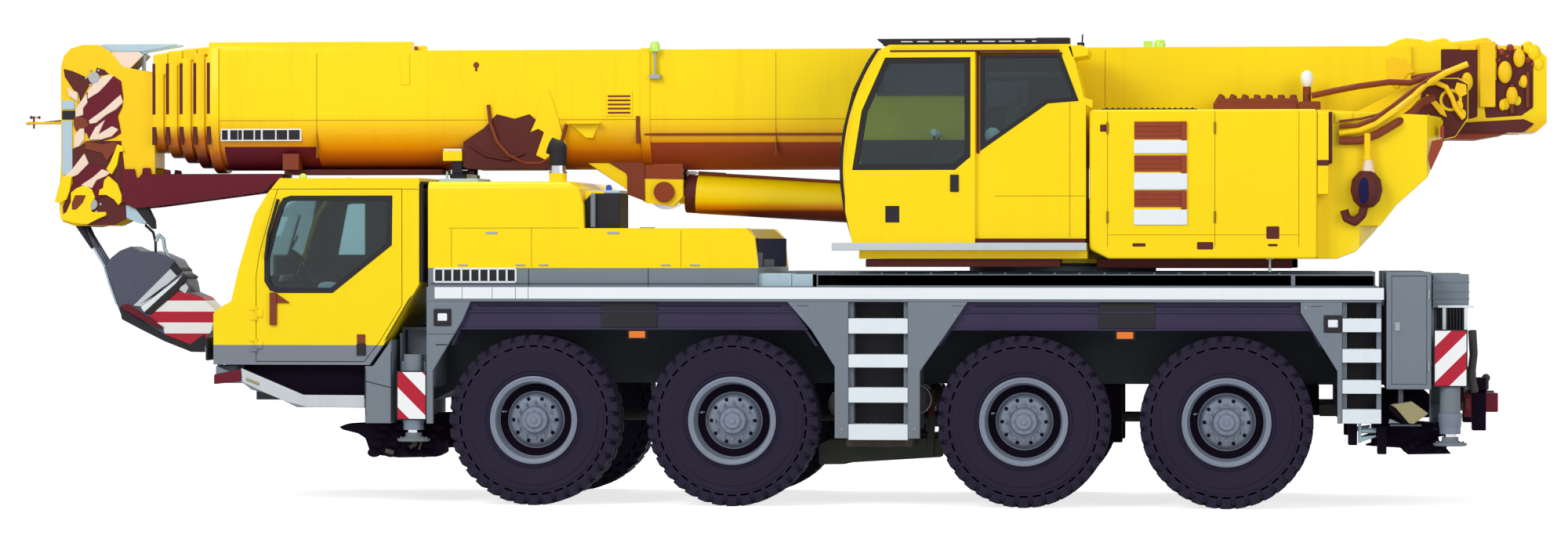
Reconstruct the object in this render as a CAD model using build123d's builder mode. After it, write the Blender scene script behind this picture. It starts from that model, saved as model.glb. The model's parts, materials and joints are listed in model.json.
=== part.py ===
"""A four-axle all-terrain mobile crane, built as separate pieces, in millimetres.

The frame: +Z is up, -X is the driving direction, -Y is the crane's left side. The origin is on the
ground below the middle of the whole machine, with the boom lowered over the driver's cab.
"""

import math
import os

from build123d import *

os.makedirs("parts", exist_ok=True)

# ---------------------------------------------------------------- driving dimensions
HALF_LENGTH = 6710  # half the length over the boom, from the wind gauge to the boom's tail
BODY_HALF_WIDTH = 1330  # half the width over the deck and its side panels
RUN_GAP = 0.8  # between pieces that slide or turn on each other
PIN_GAP = 0.1  # radial, between a pin and its bore
CLEAR = 6.0  # between moving pieces that pass without touching
SIDES = (("left", -1), ("right", 1))

# wheels and axles
AXLE_X = (-1870, -170, 2300, 4000)
TYRE_RADIUS = 725
TYRE_WIDTH = 430
TYRE_OUTER_Y = BODY_HALF_WIDTH + 45
RIM_RADIUS = 350
RIM_FLANGE = 25
KINGPIN_Y = TYRE_OUTER_Y - 375
KINGPIN_RADIUS = 30
KNUCKLE_RADIUS = 60
KNUCKLE_HALF_HEIGHT = 200
FORK_ARM = 40
AXLE_TUBE_RADIUS = 80

# carrier
FRAME_HALF_WIDTH = 420
FRAME_BOTTOM = 1020
FRAME_TOP = 1700
FRAME_WALL = 25
PANEL_THICKNESS = 50
TREAD_DEPTH = 220
PANEL_BOTTOM = 580
DECK_FRONT = -2800
DECK_REAR = 5290
DECK_BOTTOM = 1735
DECK_PLATE = 1800
DECK_TOP = 1860
RAISED_TOP = 1990
HOOD_HALF_WIDTH = BODY_HALF_WIDTH - 80
HOOD_BOTTOM = 2020
HOOD_REAR = 40
HOOD_END_RADIUS = 2800  # the hood's rear end is hollowed round the slewing axis, for the tail
HOOD_WALL = 30

# outriggers
OUTRIGGER_X = (("front", -2930, 1000), ("rear", 5860, 1220))
BEAM_WIDTH = 210
BEAM_HEIGHT = 220
BEAM_PITCH = 265
OUTRIGGER_WALL = 25
OUTRIGGER_BOX_HALF = BODY_HALF_WIDTH - 270
JACK_Y = BODY_HALF_WIDTH - 105
JACK_RADIUS = 85
JACK_ROD_RADIUS = 55
JACK_BOTTOM = 640
PAD_RADIUS = 140
PAD_THICKNESS = 45

# superstructure
SLEW_X = 2570
SLEW_RING_RADIUS = 840
SLEW_RING_HEIGHT = 40
SLEW_PLATE_BOTTOM = 2100
SLEW_PLATE_TOP = 2170
TAIL_SWING_LOW = 2780  # what lies lower than the hood's rear end stays inside this radius
TAIL_SWING_HIGH = 3300
TAIL_STEP_Z = 2375
SIDE_PLATE_INNER = 500
SIDE_PLATE_THICKNESS = 45
PIVOT_X, PIVOT_Z = 5890, 3450
PIVOT_RADIUS = 95
CYLINDER_FOOT = (3350, 2420)
CYLINDER_EYE = (-900, 2680)
BARREL_RADIUS = 150
BARREL_WALL = 28
BARREL_GLAND_FROM_EYE = 330
ROD_RADIUS = 95
EYE_RADIUS = 150
EYE_WIDTH = 240
EYE_PIN_RADIUS = 60

# boom
BOOM_TOP = 3920
BOOM_HALF_WIDTH = 400
BOOM_BEND = 3280  # where the flat sides meet the round belly
BOOM_FRONT = -4915
BOOM_SHELL_REAR = 5560
BOOM_WALL = 14
SECTION_STEP = 45  # from one section's outside to the next one's
COLLAR_STEP = 133
COLLAR_LENGTH = 95
COLLAR_PROUD = 28
SECTION_COUNT = 4
SECTION_REAR = 5200
HEAD_FRONT = -6295

# cabs
CAB_WALL = 40
CAB_FLOOR = 1190
GLASS_THICKNESS = 8
GLASS_DEPTH = 14


# ---------------------------------------------------------------- helpers
def save(piece, name):
    """Labels a finished piece and writes its STEP file."""
    piece.part.label = name
    export_step(piece.part, f"parts/{name}.step")


def side_prism(points, y_low, y_high, mode=Mode.ADD):
    """A straight-sided outline of (x, z) points, between two y values."""
    with BuildSketch(Plane.XZ.offset(-y_high)) as outline:
        with BuildLine():
            Polyline(*points, close=True)
        make_face()
    return extrude(outline.sketch, amount=y_high - y_low, mode=mode)


def block(x, y, z, mode=Mode.ADD):
    """A box between pairs of x, y and z."""
    with Locations(((x[0] + x[1]) / 2, (y[0] + y[1]) / 2, (z[0] + z[1]) / 2)):
        return Box(x[1] - x[0], y[1] - y[0], z[1] - z[0], mode=mode)


def round_bar(axis, start, end, radius, mode=Mode.ADD):
    """A round bar along "X", "Y" or "Z" from a start point to an end value on that axis."""
    direction = {"X": (1, 0, 0), "Y": (0, 1, 0), "Z": (0, 0, 1)}[axis]
    place = "XYZ".index(axis)
    low = list(start)
    low[place] = min(start[place], end)
    with BuildSketch(Plane(origin=low, z_dir=direction)) as disc:
        Circle(radius)
    return extrude(disc.sketch, amount=abs(end - start[place]), mode=mode)


def slanted_bar(start, end, radius, y=0, mode=Mode.ADD):
    """A round bar in a plane of constant y, between two (x, z) points."""
    direction = (end[0] - start[0], 0, end[1] - start[1])
    with BuildSketch(Plane(origin=(start[0], y, start[1]), z_dir=direction)) as disc:
        Circle(radius)
    return extrude(disc.sketch, amount=math.dist(start, end), mode=mode)


def turned(points, x, z, mode=Mode.ADD):
    """A solid of revolution about the wheel axis at (x, z), from (y, radius) points."""
    plane = Plane(origin=(x, 0, z), x_dir=(0, 1, 0), z_dir=(1, 0, 0))
    with BuildSketch(plane) as half_section:
        with BuildLine():
            Polyline(*points, close=True)
        make_face()
    return revolve(half_section.sketch, axis=Axis((x, 0, z), (0, 1, 0)), mode=mode)


def sided(pair, sign):
    """A (low, high) pair of distances from the middle, on the side that sign names."""
    return tuple(sorted((sign * pair[0], sign * pair[1])))


# ---------------------------------------------------------------- wheels, knuckles and axles
TYRE_INNER_Y = TYRE_OUTER_Y - TYRE_WIDTH
# distance of each point of the half section from the tyre's outer face, and its radius
TYRE_SHOULDER = 682
TYRE_BULGE = 540
TYRE_SECTION = (
    (30, RIM_RADIUS),
    (30, RIM_RADIUS + RIM_FLANGE),
    (0, TYRE_BULGE),
    (12, TYRE_SHOULDER),
    (50, TYRE_RADIUS),
    (TYRE_WIDTH - 50, TYRE_RADIUS),
    (TYRE_WIDTH - 12, TYRE_SHOULDER),
    (TYRE_WIDTH, TYRE_BULGE),
    (TYRE_WIDTH - 30, RIM_RADIUS),
)
# the rim's half section, as (distance inwards from the tyre's outer face, radius)
HUB_FACE = 255
RIM_SECTION = (
    (HUB_FACE, 0),
    (HUB_FACE, 170),
    (195, 205),
    (185, 318),
    (TYRE_WIDTH - 30, 325),
    (TYRE_WIDTH - 30, RIM_RADIUS),
    (30, RIM_RADIUS),
    (30, RIM_RADIUS + RIM_FLANGE),
    (6, RIM_RADIUS + RIM_FLANGE),
    (6, RIM_RADIUS - 5),
    (45, 322),
    (140, 316),
    (160, 240),
    (100, 220),
    (88, 150),
    (45, 132),
    (45, 0),
)


def outward(section, sign):
    """Turns (distance from the outer face, radius) points into (y, radius) points on one side."""
    return [(sign * (TYRE_OUTER_Y - depth), radius) for depth, radius in section]


for number, axle_x in enumerate(AXLE_X, start=1):
    for side, sign in SIDES:
        with BuildPart() as tyre:
            turned(outward(TYRE_SECTION, sign), axle_x, TYRE_RADIUS)
        save(tyre, f"tyre_{number}_{side}")

        with BuildPart() as rim:
            turned(outward(RIM_SECTION, sign), axle_x, TYRE_RADIUS)
        save(rim, f"rim_{number}_{side}")

        kingpin = (axle_x, sign * KINGPIN_Y)
        drum_end = sign * (TYRE_OUTER_Y - HUB_FACE - RUN_GAP)
        with BuildPart() as knuckle:
            round_bar(
                "Z",
                (*kingpin, TYRE_RADIUS - KNUCKLE_HALF_HEIGHT + RUN_GAP),
                TYRE_RADIUS + KNUCKLE_HALF_HEIGHT - RUN_GAP,
                KNUCKLE_RADIUS,
            )
            round_bar(
                "Z",
                (*kingpin, TYRE_RADIUS - KNUCKLE_HALF_HEIGHT - FORK_ARM),
                TYRE_RADIUS + KNUCKLE_HALF_HEIGHT + FORK_ARM,
                KINGPIN_RADIUS - PIN_GAP,
            )
            round_bar("Y", (axle_x, sign * KINGPIN_Y, TYRE_RADIUS), drum_end, 150)
        save(knuckle, f"steering_knuckle_{number}_{side}")

FORK_ROOT_Y = 820
with BuildPart() as axle_beams:
    for axle_x in AXLE_X:
        round_bar("Y", (axle_x, -FORK_ROOT_Y, TYRE_RADIUS), FORK_ROOT_Y, AXLE_TUBE_RADIUS)
        with Locations((axle_x, 0, TYRE_RADIUS)):
            Sphere(230)
        for side, sign in SIDES:
            arm_y = sided((FORK_ROOT_Y, KINGPIN_Y + 45), sign)
            web_y = sided((FORK_ROOT_Y, FORK_ROOT_Y + 70), sign)
            reach = KNUCKLE_HALF_HEIGHT + FORK_ARM
            arm_x = (axle_x - 45, axle_x + 45)
            block(arm_x, web_y, (TYRE_RADIUS - reach, TYRE_RADIUS + reach))
            for level in (-reach, KNUCKLE_HALF_HEIGHT):
                low = TYRE_RADIUS + level
                block(arm_x, arm_y, (low, low + FORK_ARM))
            round_bar(
                "Z",
                (axle_x, sign * KINGPIN_Y, TYRE_RADIUS - reach - 1),
                TYRE_RADIUS + reach + 1,
                KINGPIN_RADIUS,
                Mode.SUBTRACT,
            )
            round_bar("Z", (axle_x, sign * 350, TYRE_RADIUS), FRAME_BOTTOM, 55)
save(axle_beams, "axle_beams")

# ---------------------------------------------------------------- chassis frame with its outrigger boxes
TOW_X = (6060, 6280)
TOW_Z = (790, 960)
TOW_JAW = 45
TOW_HALF_WIDTH = 75
TOW_BORE_X = 6215
TOW_BORE_RADIUS = 25
FRAME_OUTLINE = (
    (-4480, 860),
    (-4480, CAB_FLOOR),
    (-3280, CAB_FLOOR),
    (-3080, 1430),
    (-2800, FRAME_TOP),
    (6040, FRAME_TOP),
    (6040, FRAME_BOTTOM),
    (-2600, FRAME_BOTTOM),
    (-2900, 860),
)


def beam_floor(first_floor, sign):
    """The underside of an outrigger beam: the right-hand one lies above the left-hand one."""
    return first_floor + (BEAM_PITCH if sign > 0 else 0)


with BuildPart() as chassis_frame:
    side_prism(FRAME_OUTLINE, -FRAME_HALF_WIDTH, FRAME_HALF_WIDTH)
    offset(
        amount=-FRAME_WALL,
        openings=chassis_frame.faces().filter_by(Axis.X).sort_by(Axis.X)[-1],
    )
    for name, box_x, first_floor in OUTRIGGER_X:
        half = BEAM_WIDTH / 2 + OUTRIGGER_WALL
        block(
            (box_x - half, box_x + half),
            (-OUTRIGGER_BOX_HALF, OUTRIGGER_BOX_HALF),
            (
                first_floor - OUTRIGGER_WALL,
                first_floor + BEAM_PITCH + BEAM_HEIGHT + OUTRIGGER_WALL,
            ),
        )
        for side, sign in SIDES:
            floor = beam_floor(first_floor, sign)
            block(
                (box_x - BEAM_WIDTH / 2 - RUN_GAP, box_x + BEAM_WIDTH / 2 + RUN_GAP),
                (-OUTRIGGER_BOX_HALF - 1, OUTRIGGER_BOX_HALF + 1),
                (floor - RUN_GAP, floor + BEAM_HEIGHT + RUN_GAP),
                Mode.SUBTRACT,
            )
    # the towing jaw under the rear end, with an upright bore for its pin
    block((5900, TOW_X[0]), (-TOW_HALF_WIDTH, TOW_HALF_WIDTH), (TOW_Z[0], FRAME_BOTTOM + 10))
    for low, high in (
        (TOW_Z[0], TOW_Z[0] + TOW_JAW),
        (TOW_Z[1] - TOW_JAW, TOW_Z[1]),
    ):
        block((TOW_X[0], TOW_X[1]), (-TOW_HALF_WIDTH, TOW_HALF_WIDTH), (low, high))
    round_bar("Z", (TOW_BORE_X, 0, TOW_Z[0] - 1), TOW_Z[1] + 1, TOW_BORE_RADIUS, Mode.SUBTRACT)
save(chassis_frame, "chassis_frame")

for name, box_x, first_floor in OUTRIGGER_X:
    for side, sign in SIDES:
        floor = beam_floor(first_floor, sign)
        with BuildPart() as beam:
            block(
                (box_x - BEAM_WIDTH / 2, box_x + BEAM_WIDTH / 2),
                sided((-950, JACK_Y), sign),
                (floor, floor + BEAM_HEIGHT),
            )
            round_bar(
                "Z", (box_x, sign * JACK_Y, JACK_BOTTOM), floor + BEAM_HEIGHT + 60, JACK_RADIUS
            )
            round_bar(
                "Z",
                (box_x, sign * JACK_Y, JACK_BOTTOM - 1),
                floor + BEAM_HEIGHT,
                JACK_ROD_RADIUS + RUN_GAP,
                Mode.SUBTRACT,
            )
        save(beam, f"outrigger_beam_{name}_{side}")

        with BuildPart() as jack:
            round_bar(
                "Z",
                (box_x, sign * JACK_Y, JACK_BOTTOM - 60),
                floor + BEAM_HEIGHT - 20,
                JACK_ROD_RADIUS,
            )
            round_bar(
                "Z",
                (box_x, sign * JACK_Y, JACK_BOTTOM - 60 - PAD_THICKNESS),
                JACK_BOTTOM - 60,
                PAD_RADIUS,
            )
        save(jack, f"outrigger_jack_{name}_{side}")

# ---------------------------------------------------------------- deck, panels, mudguards and ladders
DUCT_Y = (750, 1160)
DUCT_TOP = 1970
with BuildPart() as carrier_deck:
    block((DECK_FRONT, DECK_REAR), (-BODY_HALF_WIDTH, BODY_HALF_WIDTH), (DECK_PLATE, DECK_TOP))
    block((DECK_FRONT + 20, DECK_REAR), (-400, 400), (FRAME_TOP, DECK_PLATE))
    for side, sign in SIDES:
        block(
            (DECK_FRONT, DECK_REAR),
            sided((BODY_HALF_WIDTH - 40, BODY_HALF_WIDTH), sign),
            (DECK_BOTTOM, DECK_PLATE),
        )
        block((HOOD_REAR, 500), sided(DUCT_Y, sign), (DECK_TOP, DUCT_TOP))
        block((530, 5240), sided(DUCT_Y, sign), (DECK_TOP, DUCT_TOP))
    block((170, 5250), (-750, 750), (DECK_TOP, RAISED_TOP))
    round_bar(
        "Z",
        (SLEW_X, 0, RAISED_TOP),
        SLEW_PLATE_BOTTOM - SLEW_RING_HEIGHT - RUN_GAP,
        SLEW_RING_RADIUS - 30,
    )
    block(
        (DECK_FRONT, HOOD_REAR),
        (-HOOD_HALF_WIDTH, HOOD_HALF_WIDTH),
        (DECK_TOP, HOOD_BOTTOM),
    )
    block(
        (DECK_FRONT + HOOD_WALL, SLEW_X - HOOD_END_RADIUS - HOOD_WALL),
        (-HOOD_HALF_WIDTH + HOOD_WALL, HOOD_HALF_WIDTH - HOOD_WALL),
        (DECK_TOP, HOOD_BOTTOM + 1),
        Mode.SUBTRACT,
    )
save(carrier_deck, "carrier_deck")

# each panel's outline as (x, z) points: in front of the first wheel, between the wheel pairs, behind the last
SIDE_PANELS = (
    (
        (-2800, DECK_BOTTOM),
        (-2420, DECK_BOTTOM),
        (-2490, 1573),
        (-2745, 1144),
        (-2745, 690),
        (-2800, 690),
    ),
    (
        (296, DECK_BOTTOM),
        (816, DECK_BOTTOM),
        (816, PANEL_BOTTOM),
        (700, PANEL_BOTTOM),
        (700, 1187),
        (500, 1498),
    ),
    (
        (1322, DECK_BOTTOM),
        (1825, DECK_BOTTOM),
        (1635, 1454),
        (1422, 1149),
        (1422, PANEL_BOTTOM),
        (1322, PANEL_BOTTOM),
    ),
    (
        (4617, DECK_BOTTOM),
        (4962, DECK_BOTTOM),
        (4962, 720),
        (4922, 720),
        (4922, 1159),
        (4617, 1651),
    ),
)
# tanks and boxes behind the ladders, as (x, distance from the middle, z) ranges
SERVICE_BOXES = (
    ((740, 1390), (FRAME_HALF_WIDTH, BODY_HALF_WIDTH - TREAD_DEPTH - 10), (640, 1640)),
    ((5330, 5700), (FRAME_HALF_WIDTH, BODY_HALF_WIDTH), (1010, RAISED_TOP)),
)
with BuildPart() as side_panels:
    for side, sign in SIDES:
        for outline in SIDE_PANELS:
            side_prism(outline, *sided((BODY_HALF_WIDTH - PANEL_THICKNESS, BODY_HALF_WIDTH), sign))
        for box_x, box_y, box_z in SERVICE_BOXES:
            block(box_x, sided(box_y, sign), box_z)
save(side_panels, "side_panels")

# front and rear end of each mudguard, where its top meets the deck and where its legs end
MUDGUARDS = ((-2420, -2600, 296, 560), (1825, 1560, 4600, 4800))
MUDGUARD_TOP = DECK_BOTTOM
MUDGUARD_SKIN = 12
MUDGUARD_SKIRT_BOTTOM = 1500
MUDGUARD_INNER_Y = BODY_HALF_WIDTH - 450
with BuildPart() as mudguards:
    for front_top, front_low, rear_top, rear_low in MUDGUARDS:
        outer = (
            (front_low, 1360),
            (front_top, MUDGUARD_TOP),
            (rear_top, MUDGUARD_TOP),
            (rear_low, 1360),
        )
        inner = (
            (rear_low - 30, 1360),
            (rear_top - 14, MUDGUARD_TOP - MUDGUARD_SKIN),
            (front_top + 14, MUDGUARD_TOP - MUDGUARD_SKIN),
            (front_low + 30, 1360),
        )
        skirt = (
            (front_low + 90, MUDGUARD_SKIRT_BOTTOM),
            (front_top, MUDGUARD_TOP),
            (rear_top, MUDGUARD_TOP),
            (rear_low - 90, MUDGUARD_SKIRT_BOTTOM),
        )
        for side, sign in SIDES:
            face_y = BODY_HALF_WIDTH - PANEL_THICKNESS - RUN_GAP
            side_prism(outer + inner, *sided((MUDGUARD_INNER_Y, face_y), sign))
            side_prism(skirt, *sided((face_y - MUDGUARD_SKIN, face_y), sign))
save(mudguards, "mudguards")

# left end, right end and (floor, top) of each tread of a side ladder
LADDERS = (
    (816, 1322, ((567, 700), (883, 1010), (1180, 1290), (1467, 1595))),
    (4962, 5288, ((722, 840), (972, 1085), (1232, 1345), (1487, 1600))),
)
STRINGER = 40
with BuildPart() as ladders:
    for ladder_front, ladder_rear, treads in LADDERS:
        for side, sign in SIDES:
            for low, high in treads:
                block(
                    (ladder_front, ladder_rear),
                    sided((BODY_HALF_WIDTH - TREAD_DEPTH, BODY_HALF_WIDTH), sign),
                    (low, high),
                )
            for stringer_x in (ladder_front, ladder_rear - STRINGER):
                block(
                    (stringer_x, stringer_x + STRINGER),
                    sided((BODY_HALF_WIDTH - TREAD_DEPTH, BODY_HALF_WIDTH - PANEL_THICKNESS), sign),
                    (treads[0][0], DECK_BOTTOM),
                )
save(ladders, "ladders")

# ---------------------------------------------------------------- engine and hood
HOOD_OUTLINE = (
    (DECK_FRONT, HOOD_BOTTOM),
    (DECK_FRONT, 2760),
    (-1600, 2760),
    (-1500, 2700),
    (-1460, 2560),
    (-1455, 2360),
    (-60, 2360),
    (10, 2280),
    (HOOD_REAR, HOOD_BOTTOM),
)
EXHAUST = (-1730, -900)
EXHAUST_RADIUS = 75
AIR_BOX = ((-1455, 2360), (-1455, 2680), (-1310, 2680), (-1160, 2500), (-1160, 2360))
BOOM_REST_X = (-2760, -2640)
with BuildPart() as engine_hood:
    side_prism(HOOD_OUTLINE, -HOOD_HALF_WIDTH, HOOD_HALF_WIDTH)
    long_edges = engine_hood.edges().filter_by(Axis.X).group_by(Axis.Z)
    fillet(long_edges[-1], 70)
    round_bar("Z", (SLEW_X, 0, HOOD_BOTTOM), 2900, HOOD_END_RADIUS, Mode.SUBTRACT)
    offset(
        amount=-HOOD_WALL,
        openings=engine_hood.faces().filter_by(Axis.Z).sort_by(Axis.Z)[0],
    )
    side_prism(AIR_BOX, -1150, -650)
    round_bar("Z", (*EXHAUST, 2745), 2850, EXHAUST_RADIUS)
    block(BOOM_REST_X, (-250, 250), (2745, BOOM_BEND - BOOM_HALF_WIDTH - COLLAR_PROUD - 12))
save(engine_hood, "engine_hood")

with BuildPart() as engine_block:
    block((-2650, -1250), (-380, 380), (DECK_TOP, 2330))
save(engine_block, "engine_block")

# ---------------------------------------------------------------- driver's cab
CAB_HALF_WIDTH = 1300
CAB_NOSE = -4760
CAB_REAR = -2870
CAB_SIDE = (
    (CAB_NOSE, CAB_FLOOR),
    (CAB_NOSE, 1520),
    (-4620, 1670),
    (-4505, 1735),
    (-4440, 2010),
    (-4300, 2475),
    (-4180, 2670),
    (-4080, 2790),
    (CAB_REAR, 2790),
    (CAB_REAR, 1880),
    (-3180, 1360),
    (-3300, CAB_FLOOR),
)
CAB_CORNER_SETBACK = 100


def cab_solid(inset):
    """The driver's cab as a closed solid, its skin moved inwards by inset."""
    with BuildPart() as solid:
        side_prism(CAB_SIDE, -CAB_HALF_WIDTH, CAB_HALF_WIDTH)
        with BuildSketch(Plane.XY.offset(CAB_FLOOR - 10)) as plan:
            with BuildLine():
                nose = ThreePointArc(
                    (CAB_NOSE + CAB_CORNER_SETBACK, -CAB_HALF_WIDTH),
                    (CAB_NOSE, 0),
                    (CAB_NOSE + CAB_CORNER_SETBACK, CAB_HALF_WIDTH),
                )
                Polyline(
                    nose @ 1, (CAB_REAR, CAB_HALF_WIDTH), (CAB_REAR, -CAB_HALF_WIDTH), nose @ 0
                )
            make_face()
        extrude(plan.sketch, amount=2000, mode=Mode.INTERSECT)
        if inset:
            offset(amount=-inset, kind=Kind.INTERSECTION)
    return solid.part


CAB_DOOR = (
    (-4290, 1215),
    (-4290, 1950),
    (-4262, 2140),
    (-4155, 2520),
    (-4100, 2700),
    (-3015, 2700),
    (-3015, 1700),
    (-3215, 1380),
    (-3345, 1215),
)
CAB_DOOR_WINDOW = (
    (-3985, 2640),
    (-3100, 2640),
    (-3105, 2215),
    (-3620, 1805),
    (-4090, 1805),
    (-4165, 1825),
    (-4215, 1905),
    (-4215, 2105),
    (-4163, 2315),
    (-4085, 2560),
    (-4050, 2620),
)
WINDSCREEN = ((-4800, 1900), (-4800, 2650), (-4100, 2650), (-4300, 1900))
WINDSCREEN_HALF_WIDTH = 1130
REAR_WINDOW = ((-3000, 2150), (-3000, 2600), (-2800, 2600), (-2800, 2150))
REAR_WINDOW_HALF_WIDTH = 800
CAB_SKIN = cab_solid(0)
CAB_INSIDE = cab_solid(CAB_WALL)
CAB_GLASS_OUTSIDE = cab_solid(GLASS_DEPTH)
CAB_GLASS_INSIDE = cab_solid(GLASS_DEPTH + GLASS_THICKNESS)

with BuildPart() as driver_cab_glass:
    side_prism(WINDSCREEN, -WINDSCREEN_HALF_WIDTH, WINDSCREEN_HALF_WIDTH)
    side_prism(REAR_WINDOW, -REAR_WINDOW_HALF_WIDTH, REAR_WINDOW_HALF_WIDTH)
    add(CAB_GLASS_OUTSIDE, mode=Mode.INTERSECT)
    add(CAB_GLASS_INSIDE, mode=Mode.SUBTRACT)
save(driver_cab_glass, "driver_cab_glass")

# the doors turn on two hinges each, whose pins stand in lugs on the cab in front of the door
HINGE_X = CAB_DOOR[0][0] + CLEAR
HINGE_OUT = 12
HINGE_RADIUS = 11
HINGE_PIN_RADIUS = 6
HINGE_TAB = 55
HINGE_LEVELS = (1330, 1600)
HINGE_BARREL = 60
HINGE_LUG = 25


def door_leaf(sign):
    """A cab door's leaf on one side, with its window cut and a gap all round."""
    outer_y = max(sided((CAB_HALF_WIDTH - CAB_WALL, CAB_HALF_WIDTH), sign))
    with BuildSketch(Plane.XZ.offset(-outer_y)) as leaf:
        with BuildLine():
            Polyline(*CAB_DOOR, close=True)
        make_face()
        offset(amount=-CLEAR)
        with BuildLine():
            Polyline(*CAB_DOOR_WINDOW, close=True)
        make_face(mode=Mode.SUBTRACT)
    return extrude(leaf.sketch, amount=CAB_WALL)


def hinge_barrel(sign, low, high, tab_end_x):
    """A length of hinge barrel with the tab that holds it to the leaf or to the cab's side."""
    hinge_y = sign * (CAB_HALF_WIDTH + HINGE_OUT)
    round_bar("Z", (HINGE_X, hinge_y, low), high, HINGE_RADIUS)
    tab_y = sided((CAB_HALF_WIDTH, CAB_HALF_WIDTH + HINGE_OUT), sign)
    block((min(HINGE_X, tab_end_x), max(HINGE_X, tab_end_x)), tab_y, (low, high))


for side, sign in SIDES:
    with BuildPart() as cab_door:
        door_leaf(sign)
        for level in HINGE_LEVELS:
            hinge_barrel(sign, level, level + HINGE_BARREL, HINGE_X + HINGE_TAB)
            round_bar(
                "Z",
                (HINGE_X, sign * (CAB_HALF_WIDTH + HINGE_OUT), level - 1),
                level + HINGE_BARREL + 1,
                HINGE_PIN_RADIUS + PIN_GAP,
                Mode.SUBTRACT,
            )
    save(cab_door, f"driver_cab_door_{side}")

with BuildPart() as driver_cab:
    add(CAB_SKIN)
    add(CAB_INSIDE, mode=Mode.SUBTRACT)
    side_prism(CAB_DOOR, -CAB_HALF_WIDTH - 1, CAB_HALF_WIDTH + 1, Mode.SUBTRACT)
    side_prism(WINDSCREEN, -WINDSCREEN_HALF_WIDTH, WINDSCREEN_HALF_WIDTH, Mode.SUBTRACT)
    side_prism(REAR_WINDOW, -REAR_WINDOW_HALF_WIDTH, REAR_WINDOW_HALF_WIDTH, Mode.SUBTRACT)
    for side, sign in SIDES:
        for level in HINGE_LEVELS:
            top = level + HINGE_BARREL
            for low, high in (
                (level - RUN_GAP - HINGE_LUG, level - RUN_GAP),
                (top + RUN_GAP, top + RUN_GAP + HINGE_LUG),
            ):
                hinge_barrel(sign, low, high, HINGE_X - HINGE_TAB)
            round_bar(
                "Z",
                (HINGE_X, sign * (CAB_HALF_WIDTH + HINGE_OUT), level - RUN_GAP - HINGE_LUG),
                top + RUN_GAP + HINGE_LUG,
                HINGE_PIN_RADIUS,
            )
save(driver_cab, "driver_cab")

# ---------------------------------------------------------------- front bumper and steps
with BuildPart() as front_bumper:
    for side, sign in SIDES:
        side_prism(
            (
                (-4640, 1180),
                (-4640, 1030),
                (-4400, 1030),
                (-4330, 975),
                (-4160, 935),
                (-3930, 825),
                (-3340, 825),
                (-3340, 900),
                (-3900, 910),
                (-4120, 1010),
                (-4300, 1060),
                (-4480, 1110),
            ),
            *sided((CAB_HALF_WIDTH - 90, CAB_HALF_WIDTH), sign),
        )
    block((-4640, -4480), (-CAB_HALF_WIDTH + 90, CAB_HALF_WIDTH - 90), (1030, 1180))
    for side, sign in SIDES:
        side_prism(
            ((-3340, 690), (-3340, 1180), (-3270, 1180), (-3150, 1350), (-3110, 1410), (-3110, 690)),
            *sided((FRAME_HALF_WIDTH, CAB_HALF_WIDTH), sign),
        )
save(front_bumper, "front_bumper")

# ---------------------------------------------------------------- superstructure
# the tail's outline, from its underside up to the boom's foot
TAIL = (
    (4920, SLEW_PLATE_BOTTOM),
    (5075, 2160),
    (5245, 2330),
    (5415, 2550),
    (5680, 2790),
    (5735, 2920),
    (5795, 3050),
    (5812, 3110),
)
SIDE_PLATE = (
    (2600, SLEW_PLATE_BOTTOM),
    *TAIL,
    (5930, 3135),
    (6040, 3290),
    (6040, 3600),
    (5960, 3640),
    (5650, 3640),
    (4900, 3250),
    (3000, 2800),
)
SIDE_PLATE_OUTER = SIDE_PLATE_INNER + SIDE_PLATE_THICKNESS
FOOT_EYE_HALF = 150
FOOT_LUG = 60
CAB_CARRIER_X = (900, 2830)
with BuildPart() as slewing_platform:
    round_bar(
        "Z",
        (SLEW_X, 0, SLEW_PLATE_BOTTOM - SLEW_RING_HEIGHT),
        SLEW_PLATE_BOTTOM,
        SLEW_RING_RADIUS,
    )
    block(
        (1500, 4850), (-SIDE_PLATE_OUTER, SIDE_PLATE_OUTER), (SLEW_PLATE_BOTTOM, SLEW_PLATE_TOP)
    )
    block(CAB_CARRIER_X, (-1240, -SIDE_PLATE_OUTER + 1), (SLEW_PLATE_BOTTOM, SLEW_PLATE_TOP))
    for side, sign in SIDES:
        side_prism(SIDE_PLATE, *sided((SIDE_PLATE_INNER, SIDE_PLATE_OUTER), sign))
        block(
            (CYLINDER_FOOT[0] - 200, CYLINDER_FOOT[0] + 200),
            sided((FOOT_EYE_HALF + RUN_GAP, FOOT_EYE_HALF + FOOT_LUG), sign),
            (SLEW_PLATE_TOP, CYLINDER_FOOT[1] + 130),
        )
        round_bar(
            "Y",
            (PIVOT_X, sign * (SIDE_PLATE_INNER - 1), PIVOT_Z),
            sign * (SIDE_PLATE_OUTER + 1),
            PIVOT_RADIUS,
            Mode.SUBTRACT,
        )
    round_bar(
        "Y",
        (CYLINDER_FOOT[0], -FOOT_EYE_HALF - FOOT_LUG, CYLINDER_FOOT[1]),
        FOOT_EYE_HALF + FOOT_LUG,
        EYE_PIN_RADIUS,
    )
save(slewing_platform, "slewing_platform")

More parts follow.
